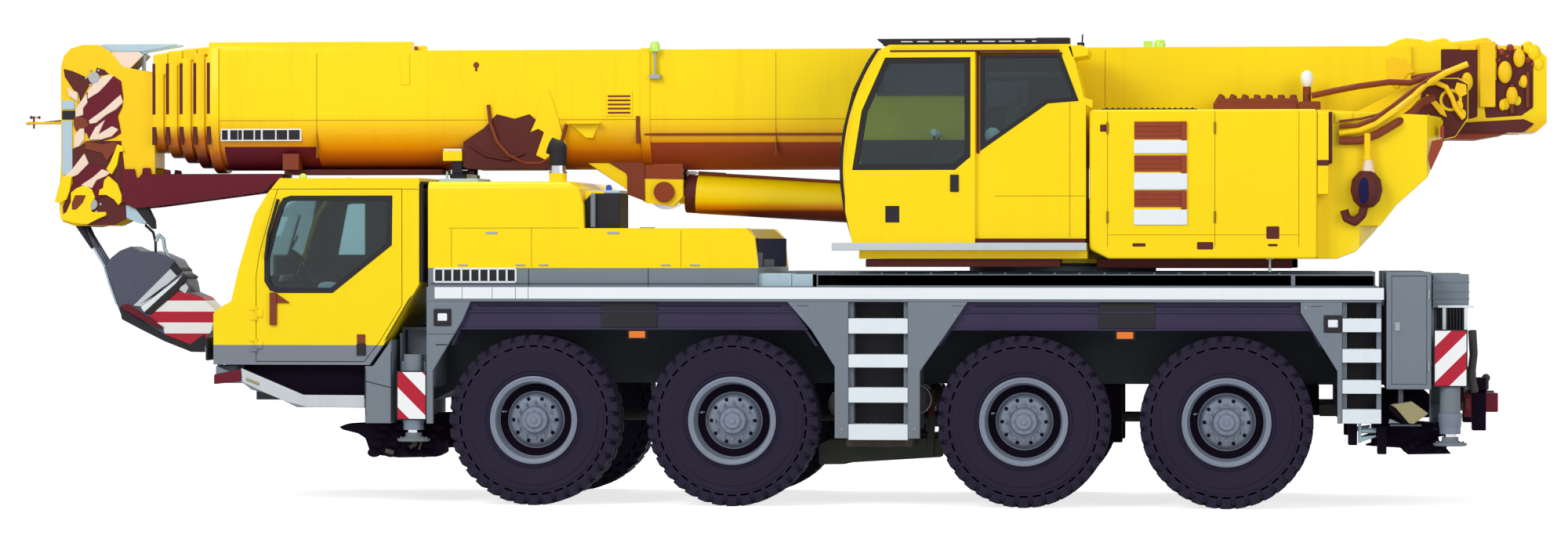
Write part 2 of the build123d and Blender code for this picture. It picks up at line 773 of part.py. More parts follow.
HOUSE_X = (2850, 4755)
HOUSE_TOP = 3356
HOUSE_HALF_WIDTH = 1300
WEIGHT_HALF_WIDTH = 1130
with BuildPart() as counterweight:
    for side, sign in SIDES:
        side_prism(
            ((HOUSE_X[1], SLEW_PLATE_BOTTOM), *TAIL, (5810, 3300), (HOUSE_X[1], HOUSE_TOP)),
            *sided((SIDE_PLATE_OUTER, WEIGHT_HALF_WIDTH), sign),
        )
    with BuildSketch(Plane.XY.offset(SLEW_PLATE_BOTTOM - 1)) as low_swing:
        with Locations((SLEW_X, 0)):
            Circle(2 * TAIL_SWING_HIGH)
            Circle(TAIL_SWING_LOW, mode=Mode.SUBTRACT)
    extrude(low_swing.sketch, amount=TAIL_STEP_Z - SLEW_PLATE_BOTTOM + 1, mode=Mode.SUBTRACT)
    round_bar("Z", (SLEW_X, 0, SLEW_PLATE_BOTTOM), HOUSE_TOP, TAIL_SWING_HIGH, Mode.INTERSECT)
save(counterweight, "counterweight")

with BuildPart() as machinery_house:
    for side, sign in SIDES:
        side_prism(
            (
                (HOUSE_X[0] + 160, SLEW_PLATE_BOTTOM),
                (HOUSE_X[0], SLEW_PLATE_BOTTOM + 80),
                (HOUSE_X[0], HOUSE_TOP),
                (HOUSE_X[1], HOUSE_TOP),
                (HOUSE_X[1], SLEW_PLATE_BOTTOM),
            ),
            *sided((SIDE_PLATE_OUTER, HOUSE_HALF_WIDTH), sign),
        )
save(machinery_house, "machinery_house")

# ---------------------------------------------------------------- operator's cab
OPERATOR_Y = (-1300, -570)
OPERATOR_FLOOR = 2270
LEDGE_X = (680, 2830)
LEDGE_OUTER_Y = -1375
LEDGE_TOP = 2230


def operator_solid(inset):
    """The operator's cab as a closed solid, its skin moved inwards by inset."""
    with BuildPart() as solid:
        with BuildSketch(Plane.XZ.offset(-OPERATOR_Y[1])) as outline:
            with BuildLine():
                front = ThreePointArc((870, OPERATOR_FLOOR), (770, 2950), (1070, 3860))
                Polyline(
                    front @ 1,
                    (1160, 3910),
                    (2690, 3910),
                    (2820, 3400),
                    (2820, OPERATOR_FLOOR),
                    front @ 0,
                )
            make_face()
        extrude(outline.sketch, amount=OPERATOR_Y[1] - OPERATOR_Y[0])
        if inset:
            offset(amount=-inset, kind=Kind.INTERSECTION)
    return solid.part


OPERATOR_SKIN = operator_solid(0)
OPERATOR_INSIDE = operator_solid(CAB_WALL)
OPERATOR_GLASS_OUTSIDE = operator_solid(GLASS_DEPTH)
OPERATOR_GLASS_INSIDE = operator_solid(GLASS_DEPTH + GLASS_THICKNESS)
# the fixed window behind the door, the windscreen and the windows to the boom side, as (outline, y low, y high)
OPERATOR_WINDOWS = (
    (((1930, 3010), (1930, 3830), (2610, 3830), (2760, 3430), (2500, 3410)), -1400, -1200),
    (((700, 2500), (700, 3800), (1180, 3800), (930, 2500)), -1230, -600),
    (((1150, 2850), (1150, 3800), (2500, 3800), (2500, 2850)), -600, -400),
    (((1250, 3700), (1250, 4000), (2400, 4000), (2400, 3700)), -1150, -680),
)
OPERATOR_DOORWAY = ((960, 2330), (860, 2900), (1010, 3550), (1180, 3830), (1860, 3830), (1860, 2330))
with BuildPart() as operator_cab:
    add(OPERATOR_SKIN)
    add(OPERATOR_INSIDE, mode=Mode.SUBTRACT)
    side_prism(OPERATOR_DOORWAY, OPERATOR_Y[0] - 1, -1200, Mode.SUBTRACT)
    for outline, y_low, y_high in OPERATOR_WINDOWS:
        side_prism(outline, y_low, y_high, Mode.SUBTRACT)
    block(LEDGE_X, (LEDGE_OUTER_Y, OPERATOR_Y[1]), (SLEW_PLATE_TOP, LEDGE_TOP))
    block((900, 2780), (-1200, OPERATOR_Y[1]), (LEDGE_TOP, OPERATOR_FLOOR))
save(operator_cab, "operator_cab")

with BuildPart() as operator_cab_glass:
    for outline, y_low, y_high in OPERATOR_WINDOWS:
        side_prism(outline, y_low, y_high)
    add(OPERATOR_GLASS_OUTSIDE, mode=Mode.INTERSECT)
    add(OPERATOR_GLASS_INSIDE, mode=Mode.SUBTRACT)
save(operator_cab_glass, "operator_cab_glass")

SLIDING_DOOR = (
    (850, LEDGE_TOP + RUN_GAP),
    (790, 2500),
    (785, 2900),
    (880, 3450),
    (1100, 3860),
    (1890, 3860),
    (1890, LEDGE_TOP + RUN_GAP),
)
SLIDING_DOOR_WINDOW = ((850, 2850), (930, 3350), (1130, 3800), (1850, 3800), (1850, 2960), (1720, 2850))
with BuildPart() as operator_cab_door:
    side_prism(SLIDING_DOOR, OPERATOR_Y[0] - 40, OPERATOR_Y[0] - RUN_GAP)
    side_prism(SLIDING_DOOR_WINDOW, OPERATOR_Y[0] - 41, OPERATOR_Y[0], Mode.SUBTRACT)
save(operator_cab_door, "operator_cab_door")

# ---------------------------------------------------------------- luffing cylinder
cylinder_run = math.dist(CYLINDER_FOOT, CYLINDER_EYE)


cylinder_line = (CYLINDER_EYE[0] - CYLINDER_FOOT[0], 0, CYLINDER_EYE[1] - CYLINDER_FOOT[1])


def turned_on_cylinder(points, mode=Mode.ADD):
    """A solid of revolution about the cylinder's line, from (distance from its foot, radius) points."""
    foot = (CYLINDER_FOOT[0], 0, CYLINDER_FOOT[1])
    with BuildSketch(Plane(origin=foot, x_dir=cylinder_line, z_dir=(0, 1, 0))) as half_section:
        with BuildLine():
            Polyline(*points, close=True)
        make_face()
    return revolve(half_section.sketch, axis=Axis(foot, cylinder_line), mode=mode)


BARREL_START = 100
BARREL_BOTTOM = 260
BARREL_FRONT = cylinder_run - BARREL_GLAND_FROM_EYE
GLAND_LENGTH = 120
FOOT_EYE_RADIUS = 145
BARREL_BORE = BARREL_RADIUS - BARREL_WALL
PISTON_LENGTH = 90
with BuildPart() as luffing_barrel:
    turned_on_cylinder(
        (
            (BARREL_START, 0),
            (BARREL_START, BARREL_RADIUS - 20),
            (BARREL_START + 80, BARREL_RADIUS),
            (BARREL_FRONT, BARREL_RADIUS),
            (BARREL_FRONT, ROD_RADIUS + RUN_GAP),
            (BARREL_FRONT - GLAND_LENGTH, ROD_RADIUS + RUN_GAP),
            (BARREL_FRONT - GLAND_LENGTH, BARREL_BORE),
            (BARREL_BOTTOM, BARREL_BORE),
            (BARREL_BOTTOM, 0),
        )
    )
    round_bar(
        "Y",
        (CYLINDER_FOOT[0], -FOOT_EYE_HALF, CYLINDER_FOOT[1]),
        FOOT_EYE_HALF,
        FOOT_EYE_RADIUS,
    )
    round_bar(
        "Y",
        (CYLINDER_FOOT[0], -FOOT_EYE_HALF - 1, CYLINDER_FOOT[1]),
        FOOT_EYE_HALF + 1,
        EYE_PIN_RADIUS + PIN_GAP,
        Mode.SUBTRACT,
    )
save(luffing_barrel, "luffing_barrel")

ROD_START = BARREL_BOTTOM + CLEAR
with BuildPart() as luffing_rod:
    turned_on_cylinder(
        (
            (ROD_START, 0),
            (ROD_START, BARREL_BORE - RUN_GAP),
            (ROD_START + PISTON_LENGTH, BARREL_BORE - RUN_GAP),
            (ROD_START + PISTON_LENGTH, ROD_RADIUS),
            (cylinder_run - EYE_RADIUS / 2, ROD_RADIUS),
            (cylinder_run - EYE_RADIUS / 2, 0),
        )
    )
    round_bar("Y", (CYLINDER_EYE[0], -EYE_WIDTH / 2, CYLINDER_EYE[1]), EYE_WIDTH / 2, EYE_RADIUS)
    round_bar(
        "Y",
        (CYLINDER_EYE[0], -EYE_WIDTH / 2 - 1, CYLINDER_EYE[1]),
        EYE_WIDTH / 2 + 1,
        EYE_PIN_RADIUS,
        Mode.SUBTRACT,
    )
save(luffing_rod, "luffing_rod")


# ---------------------------------------------------------------- boom
def boom_prism(inset, x_front, x_rear, mode=Mode.ADD):
    """A length of the boom's section, flat-sided with a round belly, its outside moved inwards by inset."""
    half = BOOM_HALF_WIDTH - inset
    with BuildSketch(Plane.YZ.offset(x_front)) as section:
        with BuildLine():
            belly = ThreePointArc((-half, BOOM_BEND), (0, BOOM_BEND - half), (half, BOOM_BEND))
            Polyline(belly @ 1, (half, BOOM_TOP - inset), (-half, BOOM_TOP - inset), belly @ 0)
        make_face()
    return extrude(section.sketch, amount=x_rear - x_front, mode=mode)


EAR_Y = (EYE_WIDTH / 2 + CLEAR, EYE_WIDTH / 2 + CLEAR + 70)
# the hose tray on top of the boom's front half
BOOM_TRAY_X = (-4915, -3110)
BOOM_TRAY_Y = (-370, -230)
BOOM_TRAY_TOP = 4000
with BuildPart() as boom_base:
    boom_prism(0, BOOM_FRONT, BOOM_SHELL_REAR)
    boom_prism(-COLLAR_PROUD, BOOM_FRONT, BOOM_FRONT + COLLAR_LENGTH)
    boom_prism(-12, -1080, -1000)
    block(BOOM_TRAY_X, BOOM_TRAY_Y, (BOOM_TOP - 5, BOOM_TRAY_TOP))
    side_prism(
        ((5450, 3180), (5450, BOOM_TOP), (6600, BOOM_TOP), (HALF_LENGTH, 3820), (HALF_LENGTH, 3260), (6620, 3180)),
        -360,
        360,
    )
    boom_prism(BOOM_WALL, BOOM_FRONT + COLLAR_LENGTH, BOOM_SHELL_REAR - 200, Mode.SUBTRACT)
    boom_prism(SECTION_STEP - RUN_GAP, BOOM_FRONT - 1, BOOM_FRONT + COLLAR_LENGTH + 1, Mode.SUBTRACT)
    for side, sign in SIDES:
        side_prism(
            ((-1770, 3060), (-1500, 2880), (-1060, 2590), (-820, 2560), (-740, 2640), (-740, 3060)),
            *sided(EAR_Y, sign),
        )
        round_bar(
            "Y",
            (PIVOT_X, sign * 300, PIVOT_Z),
            sign * (SIDE_PLATE_OUTER + 20),
            PIVOT_RADIUS - PIN_GAP,
        )
        round_bar(
            "Y",
            (CYLINDER_EYE[0], sign * EAR_Y[1], CYLINDER_EYE[1]),
            sign * (EAR_Y[1] + 40),
            EYE_PIN_RADIUS + 30,
        )
    boom_prism(BOOM_WALL, BOOM_FRONT + COLLAR_LENGTH, BOOM_SHELL_REAR - 200, Mode.SUBTRACT)
save(boom_base, "boom_base")

for number in range(1, SECTION_COUNT + 1):
    inset = number * SECTION_STEP
    tube_front = BOOM_FRONT - number * COLLAR_STEP
    innermost = number == SECTION_COUNT
    with BuildPart() as section_part:
        boom_prism(inset, tube_front, SECTION_REAR - number * 60)
        boom_prism(inset - COLLAR_PROUD, tube_front, tube_front + COLLAR_LENGTH)
        boom_prism(inset + BOOM_WALL, tube_front + COLLAR_LENGTH, SECTION_REAR, Mode.SUBTRACT)
        if not innermost:
            boom_prism(
                inset + SECTION_STEP - RUN_GAP,
                tube_front - 1,
                tube_front + COLLAR_LENGTH + 1,
                Mode.SUBTRACT,
            )
    save(section_part, f"boom_section_{number}")

HEAD_REAR = BOOM_FRONT - SECTION_COUNT * COLLAR_STEP
HEAD_PLATE = (
    (HEAD_REAR, 3740),
    (HEAD_REAR, 2700),
    (-5700, 2470),
    (-5820, 2388),
    (-6180, 2388),
    (-6280, 2425),
    (-6310, 2520),
    (-6310, 2720),
    (HEAD_FRONT, 2950),
    (HEAD_FRONT, 3800),
    (-6270, 3895),
    (-6208, 3960),
    (-6100, 3992),
    (-5960, 3992),
    (-5854, 3931),
    (-5747, 3798),
)
HEAD_PLATE_Y = (150, 185)
HOOK_BLOCK_HALF_WIDTH = 190
# the webs under the boom behind the head, which the hook block swings in between
HEAD_WEB = (
    (-5560, 2840),
    (-4300, 2840),
    (-4300, 2812),
    (-4380, 2760),
    (-4450, 2690),
    (-5447, 2560),
    (-5560, 2560),
)
HEAD_WEB_PLATE = 40
# x, z and radius of each row of sheaves in the head
HEAD_SHEAVES = ((-5990, 3700, 230), (-6010, 2580, 190))
SHEAVE_PITCH = 100
SHEAVE_HALF_WIDTH = 22
with BuildPart() as boom_head:
    for side, sign in SIDES:
        side_prism(HEAD_PLATE, *sided(HEAD_PLATE_Y, sign))
    side_prism(
        ((HEAD_REAR, 3740), (HEAD_REAR, 2900), (HEAD_REAR - 60, 2900), (HEAD_REAR - 60, 3740)),
        -HEAD_PLATE_Y[0],
        HEAD_PLATE_Y[0],
    )
    for sheave_x, sheave_z, sheave_radius in HEAD_SHEAVES:
        round_bar("Y", (sheave_x, -HEAD_PLATE_Y[1] - 20, sheave_z), HEAD_PLATE_Y[1] + 20, 45)
        for sheave_y in (-SHEAVE_PITCH, 0, SHEAVE_PITCH):
            round_bar(
                "Y",
                (sheave_x, sheave_y - SHEAVE_HALF_WIDTH, sheave_z),
                sheave_y + SHEAVE_HALF_WIDTH,
                sheave_radius,
            )
    web_y = (HOOK_BLOCK_HALF_WIDTH + 10, HOOK_BLOCK_HALF_WIDTH + 35)
    for side, sign in SIDES:
        side_prism(HEAD_WEB, *sided(web_y, sign))
    web_rear, web_top = HEAD_WEB[1]
    block((HEAD_WEB[0][0], web_rear), (-web_y[1], web_y[1]), (web_top - HEAD_WEB_PLATE, web_top))
    round_bar("X", (-HALF_LENGTH, HEAD_PLATE_Y[1] - 15, 3310), -6150, 12)
save(boom_head, "boom_head")

# the hook block hangs aslant, held back towards the cab, on ropes that leave the head's lower sheaves
HOOK_BLOCK = (
    (-5902, 2015),
    (-5846, 2100),
    (-5761, 2167),
    (-5663, 2204),
    (-5566, 2160),
    (-5481, 2163),
    (-5390, 2140),
    (-5265, 2085),
    (-5146, 1895),
    (-5125, 1800),
    (-5019, 1755),
    (-4900, 1624),
    (-4935, 1457),
    (-5000, 1280),
    (-5120, 1280),
    (-5360, 1373),
    (-5579, 1480),
    (-5740, 1570),
    (-5790, 1695),
    (-5847, 1862),
)
ROPE_RADIUS = 10
ROPE_END = (-5875, 1985)  # where the rope falls end in the block


def tangent_point(centre, radius, target):
    """Where a line from target touches a circle, on the side that is forward of its centre."""
    reach = math.dist(centre, target)
    bearing = math.atan2(target[1] - centre[1], target[0] - centre[0])
    angle = bearing - math.acos(radius / reach)
    return (centre[0] + radius * math.cos(angle), centre[1] + radius * math.sin(angle))


lower_sheave = HEAD_SHEAVES[-1]
rope_run_radius = lower_sheave[2] + ROPE_RADIUS + RUN_GAP
with BuildPart() as hook_block:
    side_prism(HOOK_BLOCK, -HOOK_BLOCK_HALF_WIDTH, HOOK_BLOCK_HALF_WIDTH)
    leave = tangent_point(lower_sheave[:2], rope_run_radius, ROPE_END)
    for rope_y in (-SHEAVE_PITCH, 0, SHEAVE_PITCH):
        slanted_bar(leave, ROPE_END, ROPE_RADIUS, y=rope_y)
save(hook_block, "hook_block")
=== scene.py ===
"""Dresses a four-axle mobile crane: finishes, rounded copies of its plates, and the small parts on them.

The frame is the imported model's: metres, +Z up, -X the driving direction, -Y the crane's left side.
"""

from __future__ import annotations

import json
import logging
import math
from dataclasses import dataclass, replace
from enum import Enum
from functools import cache

import bmesh
import bpy
from mathutils import Matrix, Vector

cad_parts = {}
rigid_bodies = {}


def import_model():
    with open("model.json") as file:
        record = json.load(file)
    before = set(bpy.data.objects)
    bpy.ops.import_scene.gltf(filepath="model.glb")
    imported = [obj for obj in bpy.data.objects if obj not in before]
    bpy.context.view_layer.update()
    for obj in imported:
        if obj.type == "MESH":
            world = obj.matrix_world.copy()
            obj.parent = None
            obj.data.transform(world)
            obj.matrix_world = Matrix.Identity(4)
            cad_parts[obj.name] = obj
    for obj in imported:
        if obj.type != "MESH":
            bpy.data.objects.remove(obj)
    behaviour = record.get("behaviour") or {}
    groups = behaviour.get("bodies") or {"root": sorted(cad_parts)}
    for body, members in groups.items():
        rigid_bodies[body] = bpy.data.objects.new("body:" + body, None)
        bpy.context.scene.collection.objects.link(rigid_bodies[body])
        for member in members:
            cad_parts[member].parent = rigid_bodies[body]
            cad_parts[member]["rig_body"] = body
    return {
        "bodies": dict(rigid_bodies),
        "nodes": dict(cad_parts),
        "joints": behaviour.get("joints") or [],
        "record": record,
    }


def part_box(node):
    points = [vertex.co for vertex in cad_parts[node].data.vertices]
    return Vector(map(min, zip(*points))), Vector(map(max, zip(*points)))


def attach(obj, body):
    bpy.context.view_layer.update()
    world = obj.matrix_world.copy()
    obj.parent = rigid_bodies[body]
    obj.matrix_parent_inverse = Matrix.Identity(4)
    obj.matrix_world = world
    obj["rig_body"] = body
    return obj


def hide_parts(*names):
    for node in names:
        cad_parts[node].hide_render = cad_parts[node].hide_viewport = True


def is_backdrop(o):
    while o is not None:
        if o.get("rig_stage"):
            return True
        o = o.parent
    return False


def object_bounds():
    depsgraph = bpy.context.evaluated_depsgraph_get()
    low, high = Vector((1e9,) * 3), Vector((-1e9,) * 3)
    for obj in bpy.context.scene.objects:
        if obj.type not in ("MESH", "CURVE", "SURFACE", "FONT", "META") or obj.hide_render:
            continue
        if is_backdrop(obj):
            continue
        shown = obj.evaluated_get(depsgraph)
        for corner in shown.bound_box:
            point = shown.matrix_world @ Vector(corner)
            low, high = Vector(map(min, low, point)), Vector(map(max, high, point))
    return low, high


Point = tuple[float, float, float]
Pair = tuple[float, float]
Outline = tuple[Pair, ...]
Screen = tuple[int, int, int]
Colour = tuple[float, float, float, float]
Tree = bpy.types.NodeTree
Socket = bpy.types.NodeSocket
Values = dict[str | int, object]

SIDES: tuple[tuple[str, int], ...] = (("left", -1), ("right", 1))
ORIGIN: Point = (0.0, 0.0, 0.0)
SHARP = math.radians(36)
FLAT = math.radians(0.6)
MERGE = 1e-5
FACING = 0.99
SLEW_X = 2.57
ROPES_Y = (-0.1, 0.0, 0.1)
log = logging.getLogger("crane")


class Slot(Enum):
    """The record's material slots."""

    YELLOW = "yellow_paint"
    BOOM = "boom_paint"
    GREY = "grey_paint"
    DARK = "dark_paint"
    WHITE = "white_paint"
    RIM = "rim_paint"
    TYRE = "tyre"
    GLASS = "window_glass"
    CAST = "cast_steel"
    CHROME = "rod_chrome"
    STEEL = "bright_steel"
    HOOK = "hook_paint"


# ---------------------------------------------------------------- shader nodes
WHITE: Colour = (1.0, 1.0, 1.0, 1.0)
DUST: Screen = (128, 116, 102)
DUST_SLOPE, DUST_AT_GROUND = -0.9, 1.25
STREAKS_FROM = 0.52
CLOUDY_ROUGHNESS = 0.16


def linear(red: int, green: int, blue: int) -> Colour:
    """Turns a screen colour of 0 to 255 into the linear colour that a shader takes.

    Args:
        red: The red part.
        green: The green part.
        blue: The blue part.

    Returns:
        The three linear parts, 0 to 1, and a full alpha.
    """
    parts = (value / 255 for value in (red, green, blue))
    return *(part / 12.92 if part <= 0.04045 else ((part + 0.055) / 1.055) ** 2.4 for part in parts), 1.0


def feed(tree: Tree, node: bpy.types.Node, values: Values) -> None:
    """Sets a node's inputs, or links them where the value is a socket.

    Args:
        tree: The node's tree.
        node: The node.
        values: What goes in, by the input's name or number.
    """
    for key, value in values.items():
        if isinstance(value, Socket):
            tree.links.new(value, node.inputs[key])
        else:
            node.inputs[key].default_value = value


def add_node(tree: Tree, kind: str, values: Values | None = None, **settings: object) -> bpy.types.Node:
    """Adds a shader node.

    Args:
        tree: The tree that gets it.
        kind: Its type, less the usual beginning.
        values: Numbers, vectors, colours or sockets for its inputs.
        **settings: Its properties.

    Returns:
        The node.
    """
    made = tree.nodes.new(f"ShaderNode{kind}")
    for name, setting in settings.items():
        setattr(made, name, setting)
    feed(tree, made, values or {})
    return made


def coordinates(tree: Tree) -> Socket:
    """The Object coordinates in a tree.

    Args:
        tree: The tree that gets the node.

    Returns:
        The coordinates.
    """
    return add_node(tree, "TexCoord").outputs["Object"]


def height(tree: Tree) -> Socket:
    """The height above the ground in a tree.

    Args:
        tree: The tree that gets the nodes.

    Returns:
        The height in metres.
    """
    return add_node(tree, "SeparateXYZ", {0: coordinates(tree)}).outputs["Z"]


def noise(tree: Tree, stretch: Point, scale: object, detail: float) -> Socket:
    """Adds a noise on Object coordinates, stretched by a mapping.

    Args:
        tree: The tree that gets the nodes.
        stretch: The mapping's scale along each axis.
        scale: The noise's own scale.
        detail: The noise's octaves.

    Returns:
        The noise's value.
    """
    mapping = add_node(tree, "Mapping", {"Vector": coordinates(tree), "Scale": stretch})
    values = {"Vector": mapping.outputs["Vector"], "Scale": scale, "Detail": detail}
    return add_node(tree, "TexNoise", values).outputs["Fac"]


def calc(tree: Tree, operation: str, first: object, second: object, clamp: bool = False) -> Socket:
    """Adds a math node whose inputs are sockets or plain numbers.

    Args:
        tree: The tree that gets the node.
        operation: The math node's operation.
        first: A socket or a number.
        second: A socket or a number.
        clamp: Whether the result is kept between 0 and 1.

    Returns:
        The node's output.
    """
    return add_node(tree, "Math", {0: first, 1: second}, operation=operation, use_clamp=clamp).outputs[0]


def mix(tree: Tree, share: object, low: object, high: object, blend: str = "MIX") -> Socket:
    """Adds a colour mix whose inputs are sockets or plain values.

    Args:
        tree: The tree that gets the node.
        share: How much of high there is.
        low: The first colour.
        high: The second colour.
        blend: The mix node's blend type.

    Returns:
        The node's colour output.
    """
    return add_node(tree, "Mix", {0: share, 6: low, 7: high}, data_type="RGBA", blend_type=blend).outputs[2]


def new_group(name: str, inputs: dict[str, str], outputs: dict[str, str]) -> tuple[Tree, dict, dict]:
    """Makes an empty node group with its sockets and its input and output nodes.

    Args:
        name: The group's name.
        inputs: Socket kind by input name.
        outputs: Socket kind by output name.

    Returns:
        The new group, the sockets that hold its inputs, and those that take its outputs.
    """
    group = bpy.data.node_groups.new(name, "ShaderNodeTree")
    for direction, sockets in (("INPUT", inputs), ("OUTPUT", outputs)):
        for socket, kind in sockets.items():
            group.interface.new_socket(socket, in_out=direction, socket_type=f"NodeSocket{kind}")
    return group, group.nodes.new("NodeGroupInput").outputs, group.nodes.new("NodeGroupOutput").inputs


@cache
def weather() -> Tree:
    """The weathering of a surface: cloudy tone, upright streaks, road dust low down and a fine grain."""
    floats = ("Clouds", "Streaks", "Dust", "Roughness", "Grain", "Grain Scale")
    inputs = {"Color": "Color", "Shade": "Color"} | {name: "Float" for name in floats}
    group, source, target = new_group(
        "weather", inputs, {"Color": "Color", "Roughness": "Float", "Height": "Float"},
    )
    cloud = noise(group, (0.6, 0.6, 1.0), 1.4, 3.0)
    streak = noise(group, (7.0, 7.0, 0.35), 2.0, 4.0)
    cloudy = calc(group, "MULTIPLY", cloud, source["Clouds"])
    streaky = calc(group, "MULTIPLY", calc(group, "SUBTRACT", streak, STREAKS_FROM, True), source["Streaks"])
    colour = mix(group, calc(group, "ADD", cloudy, streaky, True), source["Color"], source["Shade"])
    fall = {0: height(group), 1: DUST_SLOPE, 2: DUST_AT_GROUND}
    low = add_node(group, "Math", fall, operation="MULTIPLY_ADD", use_clamp=True).outputs[0]
    dusty = calc(group, "MULTIPLY", calc(group, "MULTIPLY", low, source["Dust"]), streak, True)
    grain = noise(group, (1.0, 1.0, 1.0), source["Grain Scale"], 2.0)
    rough = calc(group, "ADD", calc(group, "MULTIPLY", cloud, CLOUDY_ROUGHNESS), source["Roughness"])
    group.links.new(mix(group, dusty, colour, linear(*DUST)), target["Color"])
    group.links.new(calc(group, "ADD", rough, dusty, True), target["Roughness"])
    group.links.new(calc(group, "MULTIPLY", grain, source["Grain"]), target["Height"])
    return group


@cache
def level() -> Tree:
    """A share that goes from 0 to 1 as the height falls past a level, over a softness."""
    group, source, target = new_group("level", {"Level": "Float", "Softness": "Float"}, {"Share": "Float"})
    depth = calc(group, "SUBTRACT", source["Level"], height(group))
    group.links.new(calc(group, "DIVIDE", depth, source["Softness"], True), target["Share"])
    return group


@cache
def striping() -> Tree:
    """A share that is 0 and 1 in turn along a direction, for painted stripes."""
    inputs = {"Direction": "Vector", "Pitch": "Float", "Start": "Float"}
    group, source, target = new_group("stripes", inputs, {"Share": "Float"})
    along = add_node(
        group, "VectorMath", {0: coordinates(group), 1: source["Direction"]}, operation="DOT_PRODUCT",
    )
    run = calc(group, "DIVIDE", calc(group, "ADD", along.outputs["Value"], source["Start"]), source["Pitch"])
    share = calc(group, "GREATER_THAN", calc(group, "FLOORED_MODULO", run, 1.0), 0.5)
    group.links.new(share, target["Share"])
    return group


def new_material(name: str) -> tuple[bpy.types.Material, Tree, bpy.types.Node]:
    """Starts a material.

    Args:
        name: Its name.

    Returns:
        The material, its tree and its shader node.
    """
    material = bpy.data.materials.new(name)
    material.use_nodes = True
    return material, material.node_tree, material.node_tree.nodes["Principled BSDF"]


# ---------------------------------------------------------------- finishes
@dataclass(frozen=True)
class Band:
    """A second colour below a level of height."""

    colour: Screen
    level: float
    softness: float = 0.002


@dataclass(frozen=True)
class Stripes:
    """A second colour in stripes along a direction."""

    direction: Point
    pitch: float
    start: float
    colour: Screen = (176, 14, 44)


@dataclass(frozen=True)
class Finish:
    """One opaque finish: a colour with its weathering and gloss, and the slot that it mostly stands for."""

    name: str
    colour: Screen
    shade: Screen
    roughness: float = 0.35
    slot: Slot = Slot.DARK
    metallic: float = 0.0
    coat: float = 0.0
    coat_roughness: float = 0.08
    specular: float = 0.3
    clouds: float = 0.25
    streaks: float = 0.5
    dust: float = 0.0
    grain: float = 0.05
    grain_scale: float = 180.0
    bump: float = 0.12
    bump_depth: float = 0.004
    bands: tuple[Band, ...] = ()
    stripes: Stripes | None = None

    @cache
    def material(self) -> bpy.types.Material:
        """Builds the material once, and returns it."""
        material, tree, shader = new_material(self.name)
        colour: object = linear(*self.colour)
        shade: object = linear(*self.shade)
        for band in self.bands:
            share = add_node(tree, "Group", node_tree=level())
            feed(tree, share, {"Level": band.level, "Softness": band.softness})
            colour = mix(tree, share.outputs[0], colour, linear(*band.colour))
        if self.stripes:
            share = add_node(tree, "Group", node_tree=striping())
            row = self.stripes
            feed(tree, share, {"Direction": row.direction, "Pitch": row.pitch, "Start": row.start})
            colour = mix(tree, share.outputs[0], colour, linear(*row.colour))
        if isinstance(colour, Socket):
            shade = mix(tree, 0.5, colour, shade, "MULTIPLY")
        worn = add_node(tree, "Group", node_tree=weather())
        feed(
            tree, worn,
            {
                "Color": colour, "Shade": shade, "Clouds": self.clouds, "Streaks": self.streaks,
                "Dust": self.dust, "Roughness": self.roughness, "Grain": self.grain,
                "Grain Scale": self.grain_scale,
            },
        )
        bump = {"Height": worn.outputs["Height"], "Strength": self.bump, "Distance": self.bump_depth}
        feed(
            tree, shader,
            {
                "Metallic": self.metallic, "Specular IOR Level": self.specular, "Coat Weight": self.coat,
                "Coat Roughness": self.coat_roughness, "Base Color": worn.outputs["Color"],
                "Roughness": worn.outputs["Roughness"],
                "Normal": add_node(tree, "Bump", bump).outputs["Normal"],
            },
        )
        return material


@dataclass(frozen=True)
class Glass:
    """A clear or tinted pane."""

    name: str
    colour: Screen
    slot: Slot = Slot.GLASS
    roughness: float = 0.02
    smear: float = 0.03
    tint: float = 0.8
    ior: float = 1.45

    @cache
    def material(self) -> bpy.types.Material:
        """Builds the material once, and returns it."""
        material, tree, shader = new_material(self.name)
        film = noise(tree, (1.0, 1.0, 1.0), 3.0, 2.0)
        smeared = calc(tree, "ADD", calc(tree, "MULTIPLY", film, self.smear), self.roughness)
        colour = linear(*self.colour)
        deeper = (*(part * self.tint for part in colour[:3]), 1.0)
        feed(
            tree, shader,
            {
                "Transmission Weight": 1.0, "IOR": self.ior, "Roughness": smeared,
                "Base Color": mix(tree, film, colour, deeper),
            },
        )
        return material


